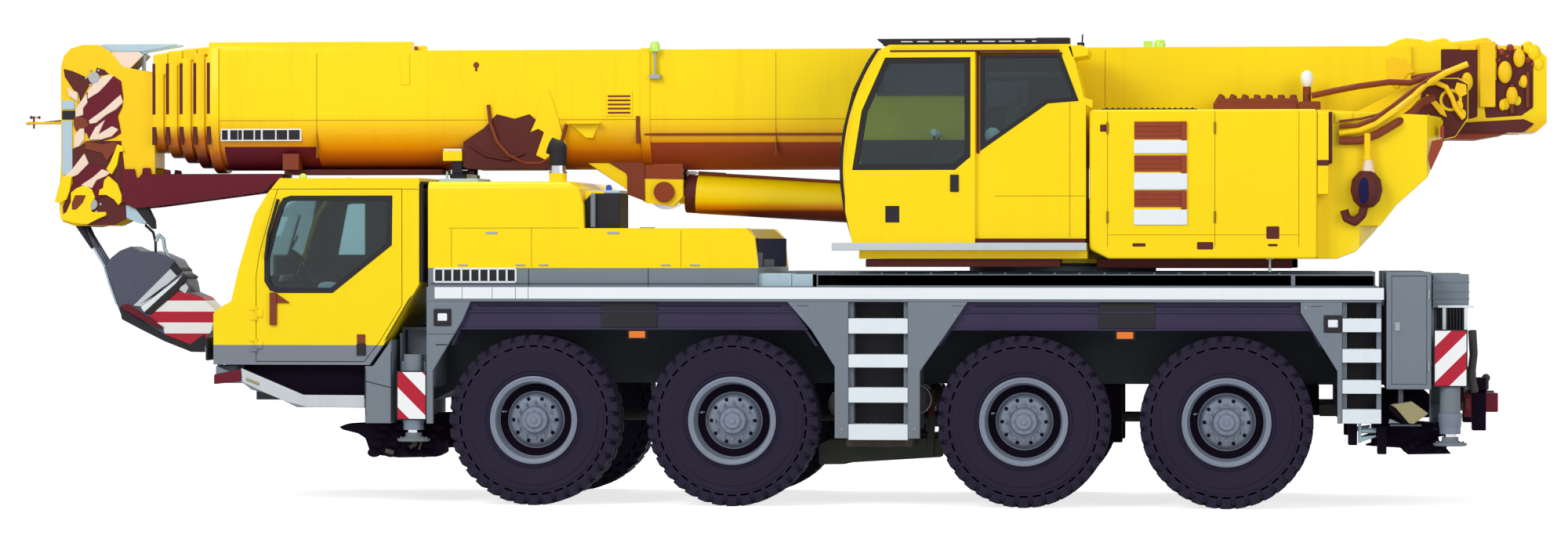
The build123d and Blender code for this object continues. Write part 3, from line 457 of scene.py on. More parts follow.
class Look:
    """Every finish on the crane, by name."""

    YELLOW = Finish("crane_yellow", (250, 218, 4), (236, 192, 0), 0.3, Slot.YELLOW, coat=0.14, specular=0.18)
    # The boom's two bands paint the shade under its round belly: orange below 3.36 m, brown below 3.06 m.
    BOOM = Finish(
        "boom_yellow_belly_shade", (250, 220, 4), (226, 160, 0), 0.32, Slot.BOOM, coat=0.12, specular=0.18, streaks=0.9,
        bands=(Band((214, 122, 8), 3.36, 0.34), Band((138, 58, 24), 3.06, 0.16)),
    )
    # The barrel's two bands paint the shade on its underside: orange below 2.6 m, brown below 2.54 m.
    BOOM_BARREL = Finish(
        "barrel_yellow_under_shade", (250, 220, 4), (226, 160, 0), 0.32, Slot.YELLOW, coat=0.12, specular=0.18,
        bands=(Band((236, 150, 14), 2.6, 0.05), Band((132, 50, 20), 2.54, 0.03)),
    )
    # The sections' three bands paint the shade under their bellies, from orange through brown to a dark maroon at
    # the bottom.
    SECTION = Finish(
        "section_yellow_belly_shade", (250, 214, 6), (226, 150, 0), 0.32, Slot.BOOM, coat=0.12, specular=0.18,
        streaks=1.4,
        bands=(
            Band((208, 118, 10), 3.27, 0.12), Band((104, 36, 24), 3.12, 0.13), Band((52, 12, 24), 2.98, 0.08),
        ),
    )
    CAB = Finish(
        "cab_yellow", (246, 216, 4), (230, 188, 0), 0.28, Slot.YELLOW, coat=0.14, specular=0.18,
        bands=(Band((120, 127, 138), 1.36),),
    )
    GREY = Finish("panel_grey", (118, 128, 138), (94, 103, 114), 0.5, Slot.GREY, specular=0.2, dust=0.3)
    FRAME = Finish("frame_grey", (70, 78, 86), (38, 42, 50), 0.55, Slot.GREY, specular=0.2, dust=0.5)
    DARK = Finish("arch_black", (46, 38, 70), (24, 16, 38), 0.5, dust=0.15, clouds=0.7)
    BLACK = Finish("rubber_black", (24, 21, 27), (10, 9, 12), 0.6)
    WHITE = Finish("edge_white", (232, 238, 241), (196, 206, 212), 0.38, Slot.WHITE, coat=0.1, streaks=0.3)
    TREAD = Finish(
        "step_white", (226, 234, 238), (188, 198, 204), 0.45, Slot.WHITE, grain=0.4, grain_scale=60,
    )
    RIM = Finish("wheel_grey", (120, 131, 148), (88, 97, 112), 0.42, Slot.RIM, metallic=0.25, dust=0.2)
    TYRE = Finish(
        "tyre_rubber", (34, 28, 48), (22, 16, 34), 0.72, Slot.TYRE, specular=0.2, grain=0.3, grain_scale=90,
    )
    CAST = Finish("cast_dark", (46, 46, 52), (24, 24, 28), 0.6, Slot.CAST, dust=0.7, grain=0.4)
    CHROME = Finish(
        "rod_chrome", (206, 208, 212), (170, 172, 178), 0.12, Slot.CHROME, metallic=1.0, streaks=0.2,
    )
    STEEL = Finish("bare_steel", (150, 154, 158), (104, 106, 110), 0.34, Slot.STEEL, metallic=0.9)
    HOOK = Finish("hook_grey", (74, 76, 94), (52, 48, 66), 0.42, Slot.HOOK, coat=0.1)
    NAVY = Finish("lining_navy", (18, 14, 62), (8, 6, 36), 0.6, specular=0.15)
    # A near-black that paints deep shade: the floor of the rims' dishes, the wheel chock's shaded side, and the
    # dark parts under the carrier.
    SHADOW = Finish("painted_shadow_black", (14, 5, 22), (6, 2, 10), 0.8, specular=0.1)
    BROWN = Finish("louvre_brown", (150, 62, 34), (96, 34, 22), 0.55)
    DEEP = Finish("deep_brown", (84, 26, 22), (48, 14, 16), 0.6)
    HOSE = Finish("hose_brown", (124, 52, 22), (70, 26, 14), 0.5, grain=0.3)
    SEAT = Finish("seat_vinyl", (58, 66, 84), (34, 38, 52), 0.85, grain=0.6, grain_scale=260)
    # A dark navy for the cabs' insides, darkened to paint the shade in them.
    LINING = Finish("cab_lining_painted_shade", (28, 28, 54), (16, 14, 32), 0.8, grain=0.3)
    RED = Finish("lamp_red", (170, 16, 30), (110, 8, 20), 0.25, coat=0.5)
    AMBER = Finish("lamp_amber", (232, 120, 16), (180, 80, 8), 0.25, coat=0.5)
    BEACON = Finish("beacon_green", (196, 236, 60), (120, 210, 160), 0.2, Slot.YELLOW, coat=0.8)
    LENS = Finish("lamp_lens", (236, 238, 242), (200, 206, 214), 0.15, Slot.WHITE, coat=0.8)
    KHAKI = Finish("chock_khaki", (158, 150, 108), (120, 112, 76), 0.6, Slot.GREY)
    PALE = Finish("pale_metal", (168, 190, 200), (120, 146, 160), 0.35, Slot.GREY, metallic=0.3)
    SILVER = Finish("bumper_silver", (188, 194, 198), (150, 158, 164), 0.3, Slot.GREY, metallic=0.4, dust=0.3)
    SEAM = Finish("paint_seam", (150, 112, 12), (110, 76, 6), 0.6)
    BLUE = Finish("bright_blue", (44, 84, 190), (26, 50, 130), 0.6)
    HEAD = Finish("head_yellow", (250, 207, 8), (220, 150, 8), 0.34, Slot.YELLOW, coat=0.12, specular=0.2)
    CREAM = Finish("guard_cream", (238, 218, 200), (226, 180, 140), 0.45, Slot.WHITE, clouds=0.4, streaks=0.8)
    MAROON = Finish("guard_maroon", (104, 16, 34), (62, 8, 28), 0.5, specular=0.2, clouds=0.5)
    WARNING = Finish(
        "warning_stripes", (240, 240, 240), (210, 205, 205), 0.35, Slot.WHITE, streaks=0.2,
        stripes=Stripes((0.707, 0.0, 0.707), 0.24, 0.129),
    )
    WARNING_REAR = replace(
        WARNING, name="warning_stripes_rear", stripes=Stripes((-0.707, 0.0, 0.707), 0.21, 0.1455),
    )
    MOSS = Finish("underbody_green", (66, 76, 68), (44, 50, 50), 0.7, Slot.CAST, dust=0.4, grain=0.4)
    HOOK_STRIPES = replace(
        WARNING, name="hook_stripes", slot=Slot.HOOK, stripes=Stripes((0.0, 0.0, 1.0), 0.193, 0.1085),
    )
    WINDOW = Glass("window_glass", (180, 210, 214))


# ---------------------------------------------------------------- mesh tools
class Shape:
    """A mesh in the making: each method adds a closed form, and dress() turns it into a scene object."""

    def __init__(self) -> None:
        """Starts an empty mesh."""
        self.mesh = bmesh.new()

    def box(self, low: Point, high: Point, turn: float = 0.0, axis: str = "Y") -> Shape:
        """Adds a box.

        Args:
            low: Its lowest corner before the turn.
            high: Its highest corner before the turn.
            turn: Degrees that it is turned by about its own middle.
            axis: The axis of the turn.

        Returns:
            The shape itself.
        """
        middle = Vector([(a + b) / 2 for a, b in zip(low, high)])
        scale = Matrix.Diagonal([abs(b - a) for a, b in zip(low, high)] + [1.0])
        place = Matrix.Translation(middle) @ Matrix.Rotation(math.radians(turn), 4, axis) @ scale
        bmesh.ops.create_cube(self.mesh, size=1.0, matrix=place)
        return self

    def boxes(self, *rows: tuple[float, float, float, float, float, float]) -> Shape:
        """Adds several boxes.

        Args:
            *rows: The lowest and then the highest corner of each.

        Returns:
            The shape itself.
        """
        for row in rows:
            self.box(row[:3], row[3:])
        return self

    def rod(
        self, start: Point, end: Point, radius: float, segments: int = 16, tip: float | None = None
    ) -> Shape:
        """Adds a round bar, or a cone where the tip's radius differs.

        Args:
            start: The middle of one end.
            end: The middle of the other end.
            radius: The radius at the start.
            segments: Sides round the bar.
            tip: The radius at the end, if it isn't the same.

        Returns:
            The shape itself.
        """
        first, last = Vector(start), Vector(end)
        run = last - first
        turn = run.to_track_quat("Z", "Y").to_matrix().to_4x4()
        bmesh.ops.create_cone(
            self.mesh, cap_ends=True, segments=segments, radius1=radius,
            radius2=radius if tip is None else tip, depth=run.length,
            matrix=Matrix.Translation((first + last) / 2) @ turn,
        )
        return self

    def ball(self, centre: Point, radius: float, scale: Point = (1.0, 1.0, 1.0)) -> Shape:
        """Adds a ball, which the scale can flatten.

        Args:
            centre: Its middle.
            radius: Its radius.
            scale: How far each axis is stretched.

        Returns:
            The shape itself.
        """
        place = Matrix.Translation(centre) @ Matrix.Diagonal((*scale, 1.0))
        bmesh.ops.create_uvsphere(self.mesh, u_segments=20, v_segments=12, radius=radius, matrix=place)
        return self

    def plate(self, outline: list[Pair] | Outline, low: float, high: float, axis: str = "Y") -> Shape:
        """Adds an outline drawn across an axis, between two places on it.

        Args:
            outline: Its corners: (x, z) across Y, (y, z) across X, or (x, y) across Z.
            low: The place of the first face.
            high: The place of the second face.
            axis: The axis that the outline is drawn across.

        Returns:
            The shape itself.
        """
        spots = {
            "Y": [(a, low, b) for a, b in outline], "X": [(low, a, b) for a, b in outline],
            "Z": [(a, b, low) for a, b in outline],
        }[axis]
        face = self.mesh.faces.new([self.mesh.verts.new(spot) for spot in spots])
        made = bmesh.ops.extrude_face_region(self.mesh, geom=[face], use_keep_orig=True)["geom"]
        moved = [item for item in made if isinstance(item, bmesh.types.BMVert)]
        shift = {"X": (high - low, 0, 0), "Y": (0, high - low, 0), "Z": (0, 0, high - low)}[axis]
        bmesh.ops.translate(self.mesh, verts=moved, vec=shift)
        whole = {face for vert in moved for face in vert.link_faces} | {face}
        bmesh.ops.recalc_face_normals(self.mesh, faces=list(whole))
        return self

    def rim(self, outline: Outline, width: float, low: float, high: float) -> Shape:
        """Adds a band of one width along the inside of an outline.

        Args:
            outline: Its corners, as for a plate across Y.
            width: The band's width.
            low: The place of the first face along Y.
            high: The place of the second face.

        Returns:
            The shape itself.
        """
        before = set(self.mesh.verts)
        self.plate(outline, low, high)
        near = {face for vert in self.mesh.verts if vert not in before for face in vert.link_faces}
        ends = [face for face in near if abs(face.normal.y) > FACING]
        bmesh.ops.inset_region(self.mesh, faces=ends, thickness=width, use_even_offset=True)
        edges = [edge for face in ends for edge in face.edges]
        bmesh.ops.delete(self.mesh, geom=ends, context="FACES_ONLY")
        bmesh.ops.bridge_loops(self.mesh, edges=edges)
        near = {face for vert in self.mesh.verts if vert not in before for face in vert.link_faces}
        bmesh.ops.recalc_face_normals(self.mesh, faces=list(near))
        return self

    def turned(self, profile: list[Pair] | Outline, centre: Point, axis: str = "Y", steps: int = 48) -> Shape:
        """Adds a profile spun once about an axis.

        Args:
            profile: (radius, place along the axis) points, closed where the line doesn't end on the axis.
            centre: The point that the places are measured from.
            axis: The axis of the spin.
            steps: Parts of the full turn.

        Returns:
            The shape itself.
        """
        along = Vector({"X": (1, 0, 0), "Y": (0, 1, 0), "Z": (0, 0, 1)}[axis])
        out = Vector({"X": (0, 1, 0), "Y": (1, 0, 0), "Z": (1, 0, 0)}[axis])
        origin = Vector(centre)
        before = set(self.mesh.faces)
        verts = [self.mesh.verts.new(origin + out * radius + along * place) for radius, place in profile]
        pairs = list(zip(verts, verts[1:]))
        if profile[0][0] > MERGE or profile[-1][0] > MERGE:
            pairs.append((verts[-1], verts[0]))
        edges = [self.mesh.edges.new(pair) for pair in pairs]
        bmesh.ops.spin(
            self.mesh, geom=[*verts, *edges], cent=origin, axis=along, angle=math.tau, steps=steps,
            use_merge=True,
        )
        made = [face for face in self.mesh.faces if face not in before]
        near = list({vert for face in made for vert in face.verts})
        bmesh.ops.remove_doubles(self.mesh, verts=near, dist=MERGE)
        made = [face for face in self.mesh.faces if face not in before]
        bmesh.ops.recalc_face_normals(self.mesh, faces=made)
        return self

    def tube(self, points: list[Point], radius: float, segments: int = 10) -> Shape:
        """Adds a round tube along straight runs, with a ball at each bend.

        Args:
            points: The ends and the bends.
            radius: The tube's radius.
            segments: Sides round it.

        Returns:
            The shape itself.
        """
        for first, last in zip(points, points[1:]):
            self.rod(first, last, radius, segments)
        for bend in points[1:-1]:
            place = Matrix.Translation(bend)
            bmesh.ops.create_icosphere(self.mesh, subdivisions=2, radius=radius, matrix=place)
        return self

    def ring(self, count: int, centre: Point = ORIGIN, axis: str = "Y") -> Shape:
        """Repeats all that the shape holds round an axis.

        Args:
            count: How many there are in the full turn.
            centre: A point on the axis.
            axis: The axis.

        Returns:
            The shape itself.
        """
        first = list(self.mesh.verts) + list(self.mesh.edges) + list(self.mesh.faces)
        for number in range(1, count):
            copy = bmesh.ops.duplicate(self.mesh, geom=first)["geom"]
            bmesh.ops.rotate(
                self.mesh, cent=centre, matrix=Matrix.Rotation(math.tau * number / count, 3, axis),
                verts=[item for item in copy if isinstance(item, bmesh.types.BMVert)],
            )
        return self

    def take(self, other: Shape) -> Shape:
        """Moves all that another shape holds into this one.

        Args:
            other: The shape that is used up.

        Returns:
            The shape itself.
        """
        data = other.data("passed_on")
        self.mesh.from_mesh(data)
        bpy.data.meshes.remove(data)
        return self

    def both_sides(self) -> Shape:
        """Repeats all that the shape holds on the other side of the middle."""
        first = list(self.mesh.verts) + list(self.mesh.edges) + list(self.mesh.faces)
        copy = bmesh.ops.duplicate(self.mesh, geom=first)["geom"]
        verts = [item for item in copy if isinstance(item, bmesh.types.BMVert)]
        bmesh.ops.scale(self.mesh, vec=(1.0, -1.0, 1.0), verts=verts)
        faces = [item for item in copy if isinstance(item, bmesh.types.BMFace)]
        bmesh.ops.reverse_faces(self.mesh, faces=faces)
        return self

    def moved(self, shift: Point, turn: float = 0.0, axis: str = "Z", about: Point = ORIGIN) -> Shape:
        """Turns and then moves all that the shape holds.

        Args:
            shift: The move.
            turn: Degrees of the turn.
            axis: The axis of the turn.
            about: A point on that axis.

        Returns:
            The shape itself.
        """
        turning = Matrix.Rotation(math.radians(turn), 3, axis)
        bmesh.ops.rotate(self.mesh, cent=about, matrix=turning, verts=self.mesh.verts)
        bmesh.ops.translate(self.mesh, vec=shift, verts=self.mesh.verts)
        return self

    def data(self, name: str) -> bpy.types.Mesh:
        """Turns the shape into Blender's mesh data, which uses it up.

        Args:
            name: The data's name.

        Returns:
            The data.
        """
        data = bpy.data.meshes.new(name)
        self.mesh.to_mesh(data)
        self.mesh.free()
        return data


def hoop(radius: float, thickness: float, count: int) -> list[Pair]:
    """The profile that turns into a ring of round bar.

    Args:
        radius: The ring's radius.
        thickness: The bar's radius.
        count: Sides round the bar.

    Returns:
        The profile's points.
    """
    turns = [part * math.tau / count for part in range(count)]
    return [(radius + thickness * math.cos(turn), thickness * math.sin(turn)) for turn in turns]


def dress(
    shape: Shape,
    name: str,
    finish: Finish | Glass,
    body: str,
    replaced: tuple[str, ...],
    bevel: float,
) -> None:
    """Turns a shape into an object with its finish, shading, rounding and body.

    Args:
        shape: The shape, which is used up.
        name: The piece's name.
        finish: Its finish.
        body: The CAD body that it rides on.
        replaced: CAD nodes that the piece stands for.
        bevel: The width that sharp edges are rounded by, or 0 for none.
    """
    data = shape.data(name)
    data.materials.append(finish.material())
    data.polygons.foreach_set("use_smooth", [True] * len(data.polygons))
    data.set_sharp_from_angle(angle=SHARP)
    piece = bpy.data.objects.new(name, data)
    bpy.context.scene.collection.objects.link(piece)
    if bevel:
        rounding = piece.modifiers.new("edges", "BEVEL")
        rounding.width = bevel
        rounding.segments = 2
        rounding.limit_method = "ANGLE"
        rounding.angle_limit = SHARP
        rounding.harden_normals = True
    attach(piece, body)
    if replaced:
        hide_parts(*replaced)
    log.info("%s rides on %s", name, body)


@dataclass(frozen=True)
class Model:
    """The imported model's nodes and which body each rides on."""

    nodes: dict[str, bpy.types.Object]
    front_x: float

    def body(self, node: str) -> str:
        """The body of a CAD node.

        Args:
            node: The node.

        Returns:
            The body's name.
        """
        return self.nodes[node]["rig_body"]

    def finish(self, node: str, finish: Finish | Glass) -> None:
        """Gives a kept CAD node its finish.

        Args:
            node: The node.
            finish: The finish.
        """
        data = self.nodes[node].data
        data.materials.clear()
        data.materials.append(finish.material())
        log.info("%s keeps its shape", node)

    def rounded(self, node: str, finish: Finish, bevel: float = 0.006, slot: Slot | None = None) -> None:
        """Stands a copy of a CAD node with rounded edges in its place.

        Args:
            node: The node.
            finish: The copy's finish.
            bevel: The rounding's width in metres.
            slot: The record's material slot, or none for the finish's own; not used.
        """
        shape = Shape()
        mesh = shape.mesh
        mesh.from_mesh(self.nodes[node].data)
        bmesh.ops.remove_doubles(mesh, verts=mesh.verts, dist=2 * MERGE)
        bmesh.ops.dissolve_degenerate(mesh, dist=MERGE, edges=mesh.edges)
        bmesh.ops.dissolve_limit(
            mesh, angle_limit=FLAT, verts=mesh.verts, edges=mesh.edges, delimit={"NORMAL"},
        )
        dress(shape, f"{node}_dressed", finish, self.body(node), (node,), bevel)


@dataclass
class Assembly:
    """A part of the crane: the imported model, and the body that most of the part's pieces ride on."""

    model: Model
    body: str = "carrier"

    def add(
        self,
        shape: Shape,
        name: str,
        finish: Finish | Glass,
        bevel: float = 0.0,
        slot: Slot | None = None,
        body: str = "",
        replaced: tuple[str, ...] = (),
    ) -> None:
        """Turns a shape into a piece.

        Args:
            shape: The shape, which is used up.
            name: The piece's name.
            finish: Its finish.
            bevel: The width that sharp edges are rounded by, or 0 for none.
            slot: The record's material slot, or none for the finish's own; not used.
            body: The CAD body that it rides on, where it isn't the assembly's.
            replaced: CAD nodes that the piece stands for.
        """
        dress(shape, name, finish, body or self.body, replaced, bevel)

    def pair(
        self, shape: Shape, name: str, finish: Finish | Glass, bevel: float = 0.0, slot: Slot | None = None
    ) -> None:
        """Turns a shape and its mirrored copy on the crane's other side into one piece.

        Args:
            shape: The shape, which is used up.
            name: The piece's name.
            finish: Its finish.
            bevel: The width that sharp edges are rounded by, or 0 for none.
            slot: The record's material slot, or none for the finish's own; not used.
        """
        self.add(shape.both_sides(), name, finish, bevel, slot)


# ---------------------------------------------------------------- studio
LAMPS: tuple[tuple[str, Point, Point, float, float], ...] = (
    ("key", (-9.0, -16.0, 13.0), (0.0, 0.0, 1.8), 9.0, 2080.0),
    ("fill", (13.0, -14.0, 7.0), (1.0, 0.0, 2.0), 9.0, 880.0),
    ("top", (0.0, 3.0, 15.0), (0.0, 0.0, 2.0), 12.0, 1200.0),
)


@dataclass(frozen=True)
class Studio:
    """The camera, the floor, the surroundings and the lamps."""

    target: Point = (0.13, 0.0, 2.02)
    distance: float = 40.0
    azimuth: float = 6.0
    pitch: float = -0.25
    lens: float = 104.84
    sensor: float = 36.0
    clip: float = 500.0
    floor_size: float = 400.0
    floor_colour: Colour = (0.62, 0.62, 0.63, 1.0)
    floor_glow: float = 0.76
    sky: float = 0.5
    sky_colour: Screen = (244, 247, 252)

    def camera(self) -> None:
        """Makes the camera and makes it the scene's."""
        turn, tilt = math.radians(self.azimuth), math.radians(self.pitch)
        back = Vector((math.sin(turn) * math.cos(tilt), -math.cos(turn) * math.cos(tilt), -math.sin(tilt)))
        data = bpy.data.cameras.new("camera")
        data.lens = self.lens
        data.sensor_width = self.sensor
        data.clip_end = self.clip
        target = Vector(self.target)
        bpy.context.scene.camera = self.aimed("camera", data, target + back * self.distance, target)

    @staticmethod
    def aimed(name: str, data: bpy.types.ID, spot: Point | Vector, aim: Point | Vector) -> bpy.types.Object:
        """Places a camera or a lamp.

        Args:
            name: Its name.
            data: What it is.
            spot: Where it goes.
            aim: The point that it looks or shines at.

        Returns:
            The object.
        """
        made = bpy.data.objects.new(name, data)
        made.location = spot
        made.rotation_mode = "QUATERNION"
        made.rotation_quaternion = (Vector(aim) - Vector(spot)).to_track_quat("-Z", "Y")
        bpy.context.scene.collection.objects.link(made)
        return made

    @staticmethod
    def seen(tree: Tree) -> Socket:
        """The share of rays that look at the backdrop itself or at its reflection.

        Args:
            tree: The node tree that gets the nodes.

        Returns:
            The share, 0 or 1.
        """
        rays = add_node(tree, "LightPath").outputs
        share = calc(tree, "ADD", rays["Is Camera Ray"], rays["Is Glossy Ray"])
        return calc(tree, "ADD", share, rays["Is Transmission Ray"], True)

    def surroundings(self) -> None:
        """Lights the scene from a pale sky, which the camera, metal and glass see as white."""
        world = bpy.data.worlds.new("studio")
        world.use_nodes = True
        tree = world.node_tree
        tree.nodes.clear()
        lamp = add_node(tree, "Background", {"Color": linear(*self.sky_colour), "Strength": self.sky})
        white = add_node(tree, "Background", {"Color": WHITE, "Strength": 1.0})
        both = add_node(tree, "MixShader", {0: self.seen(tree), 1: lamp.outputs[0], 2: white.outputs[0]})
        add_node(tree, "OutputWorld", {0: both.outputs[0]})
        bpy.context.scene.world = world

    def floor(self) -> None:
        """Lays a white floor that keeps the crane's shadow."""
        shape = Shape()
        bmesh.ops.create_grid(shape.mesh, x_segments=1, y_segments=1, size=self.floor_size / 2)
        data = shape.data("floor")
        material, tree, _ = new_material("floor_white")
        tree.nodes.clear()
        cloth = add_node(tree, "BsdfDiffuse", {"Color": self.floor_colour})
        strength = calc(tree, "MULTIPLY", self.seen(tree), self.floor_glow)
        glow = add_node(tree, "Emission", {"Color": WHITE, "Strength": strength})
        both = add_node(tree, "AddShader", {0: cloth.outputs[0], 1: glow.outputs[0]})
        add_node(tree, "OutputMaterial", {0: both.outputs[0]})
        data.materials.append(material)
        floor = bpy.data.objects.new("floor", data)
        bpy.context.scene.collection.objects.link(floor)
        floor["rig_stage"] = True

    def build(self) -> None:
        """Sets the whole stage."""
        self.camera()
        self.surroundings()
        self.floor()
        for name, spot, aim, size, power in LAMPS:
            data = bpy.data.lights.new(name, "AREA")
            data.size = size
            data.energy = power
            self.aimed(name, data, spot, aim)
        bpy.context.scene.view_settings.view_transform = "Standard"


# ---------------------------------------------------------------- wheels
@dataclass
class Wheels(Assembly):
    """The eight tyres and rims, with their hubs and nuts."""

    steps: int = 72
    lugs: int = 36
    lug_height: float = 0.026
    nuts: int = 12
    nut_circle: float = 0.137
    windows: int = 10

    def tyre(self, radius: float, width: float, rim: float) -> Shape:
        """One tyre about the Y axis, with its outer face at 0 and its inner face at -width.

        Args:
            radius: The radius over the tread.
            width: The tyre's width.
            rim: The radius of the rim's seat.

        Returns:
            The shape.
        """
        base = radius - self.lug_height
        half = (
            (rim, 0.034), (rim + 0.026, 0.026), (rim + 0.044, 0.02), (rim + 0.06, 0.028),
            (rim + 0.068, 0.018), (rim + 0.11, 0.008), (rim + 0.17, 0.002), (rim + 0.2, 0.0),
            (rim + 0.206, 0.007), (rim + 0.25, 0.004), (rim + 0.256, 0.012), (base - 0.06, 0.012),
            (base - 0.02, 0.026), (base, 0.056),
        )
        profile = [(r, -y) for r, y in half] + [(r, -width + y) for r, y in reversed(half)]
        shape = Shape().turned(profile, ORIGIN, "Y", self.steps)
        tread = Shape()
        pitch = math.tau * base / self.lugs
        for low, high, turn, shift in (
            (0.014, 0.125, 14, 0.0), (0.14, 0.21, -20, 0.5), (0.222, 0.292, 20, 0.0),
            (width - 0.125, width - 0.014, -14, 0.5),
        ):
            middle = -(low + high) / 2
            bar = Shape().box((-pitch * 0.31, -high, base - 0.012), (pitch * 0.31, -low, radius), turn, "Z")
            bar.moved(ORIGIN, 360 * shift / self.lugs, "Y", (0, middle, 0)).ring(self.lugs)
            tread.take(bar)
        for low in (0.012, width - 0.024):
            rib = Shape().box((-pitch * 0.3, -low - 0.012, base - 0.075), (pitch * 0.3, -low, radius - 0.012))
            tread.take(rib.ring(self.lugs))
        return shape.take(tread)

    def rim(self, seat: float, width: float) -> Shape:
        """One rim about the Y axis: the flange, the deep dish, the disc and the hub.

        Args:
            seat: The radius of the tyre's seat.
            width: The tyre's width.

        Returns:
            The shape.
        """
        flange = (
            (seat + 0.002, -0.06), (seat + 0.004, -0.034), (seat + 0.024, -0.026), (seat + 0.024, -0.006),
            (seat + 0.012, -0.002), (seat + 0.002, -0.008), (seat - 0.02, -0.012), (seat - 0.026, -0.05),
            (seat - 0.034, -0.07), (seat - 0.036, -0.15), (seat - 0.058, -0.172), (0.235, -0.168),
            (0.205, -0.118), (0.19, -0.108), (0.12, -0.106), (0.12, -0.2), (seat - 0.03, -0.2),
            (seat - 0.024, -width + 0.04), (seat - 0.002, -width + 0.032), (seat - 0.002, -0.06),
        )
        shape = Shape().turned(flange, ORIGIN, "Y", self.steps)
        hub = (
            (0.0, -0.028), (0.062, -0.028), (0.07, -0.036), (0.074, -0.05), (0.104, -0.052), (0.112, -0.06),
            (0.114, -0.11), (0.126, -0.114), (0.126, -0.2), (0.0, -0.2),
        )
        shape.take(Shape().turned(hub, ORIGIN, "Y", 36))
        out = self.nut_circle + 0.018
        nut = Shape().rod((out, -0.112, 0), (out, -0.072, 0), 0.014, 6)
        nut.rod((out, -0.1, 0), (out, -0.058, 0), 0.007, 8)
        shape.take(nut.ring(self.nuts))
        cap = Shape().rod((0.088, -0.06, 0), (0.088, -0.042, 0), 0.007, 6).ring(8)
        shape.take(cap).take(Shape().rod((0, -0.04, 0), (0, -0.014, 0), 0.024, 6))
        shape.take(Shape().rod((0.25, -0.11, 0.07), (0.268, -0.05, 0.07), 0.008, 8))
        return shape

    def dish(self, seat: float) -> Shape:
        """A ring of painted shadow on the floor of one rim's dish, with the dark windows at its hub.

        Args:
            seat: The radius of the tyre's seat.

        Returns:
            The shape.
        """
        low, high = 0.244, seat - 0.04
        ring = ((low, -0.163), (high, -0.155), (high, -0.172), (low, -0.172))
        shape = Shape().turned(ring, ORIGIN, "Y", self.steps)
        slot = Shape().rod((0.186, -0.115, 0), (0.186, -0.1035, 0), 0.016, 12)
        return shape.take(slot.ring(self.windows))

    def build(self) -> None:
        """Builds the eight wheels."""
        for number in range(1, 5):
            for side, sign in SIDES:
                low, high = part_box(f"tyre_{number}_{side}")
                centre = (low + high) / 2
                radius, width = (high.z - low.z) / 2, high.y - low.y
                seat = (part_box(f"rim_{number}_{side}")[1].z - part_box(f"rim_{number}_{side}")[0].z) / 2 - 0.025
                face = high.y if sign > 0 else low.y
                body = self.model.body(f"tyre_{number}_{side}")
                turn = 0.0 if sign > 0 else 180.0
                at = (centre.x, face, centre.z)
                parts = (
                    ("tyre", self.tyre(radius, width, seat), Look.TYRE),
                    ("rim", self.rim(seat, width), Look.RIM), ("rim_dish", self.dish(seat), Look.SHADOW),
                )
                for kind, shape, finish in parts:
                    shape.moved(at, turn)
                    stands_for = (f"{kind}_{number}_{side}",) if kind in ("tyre", "rim") else ()
                    name = f"{kind}_{number}_{side}_dressed"
                    self.add(shape, name, finish, body=body, replaced=stands_for)


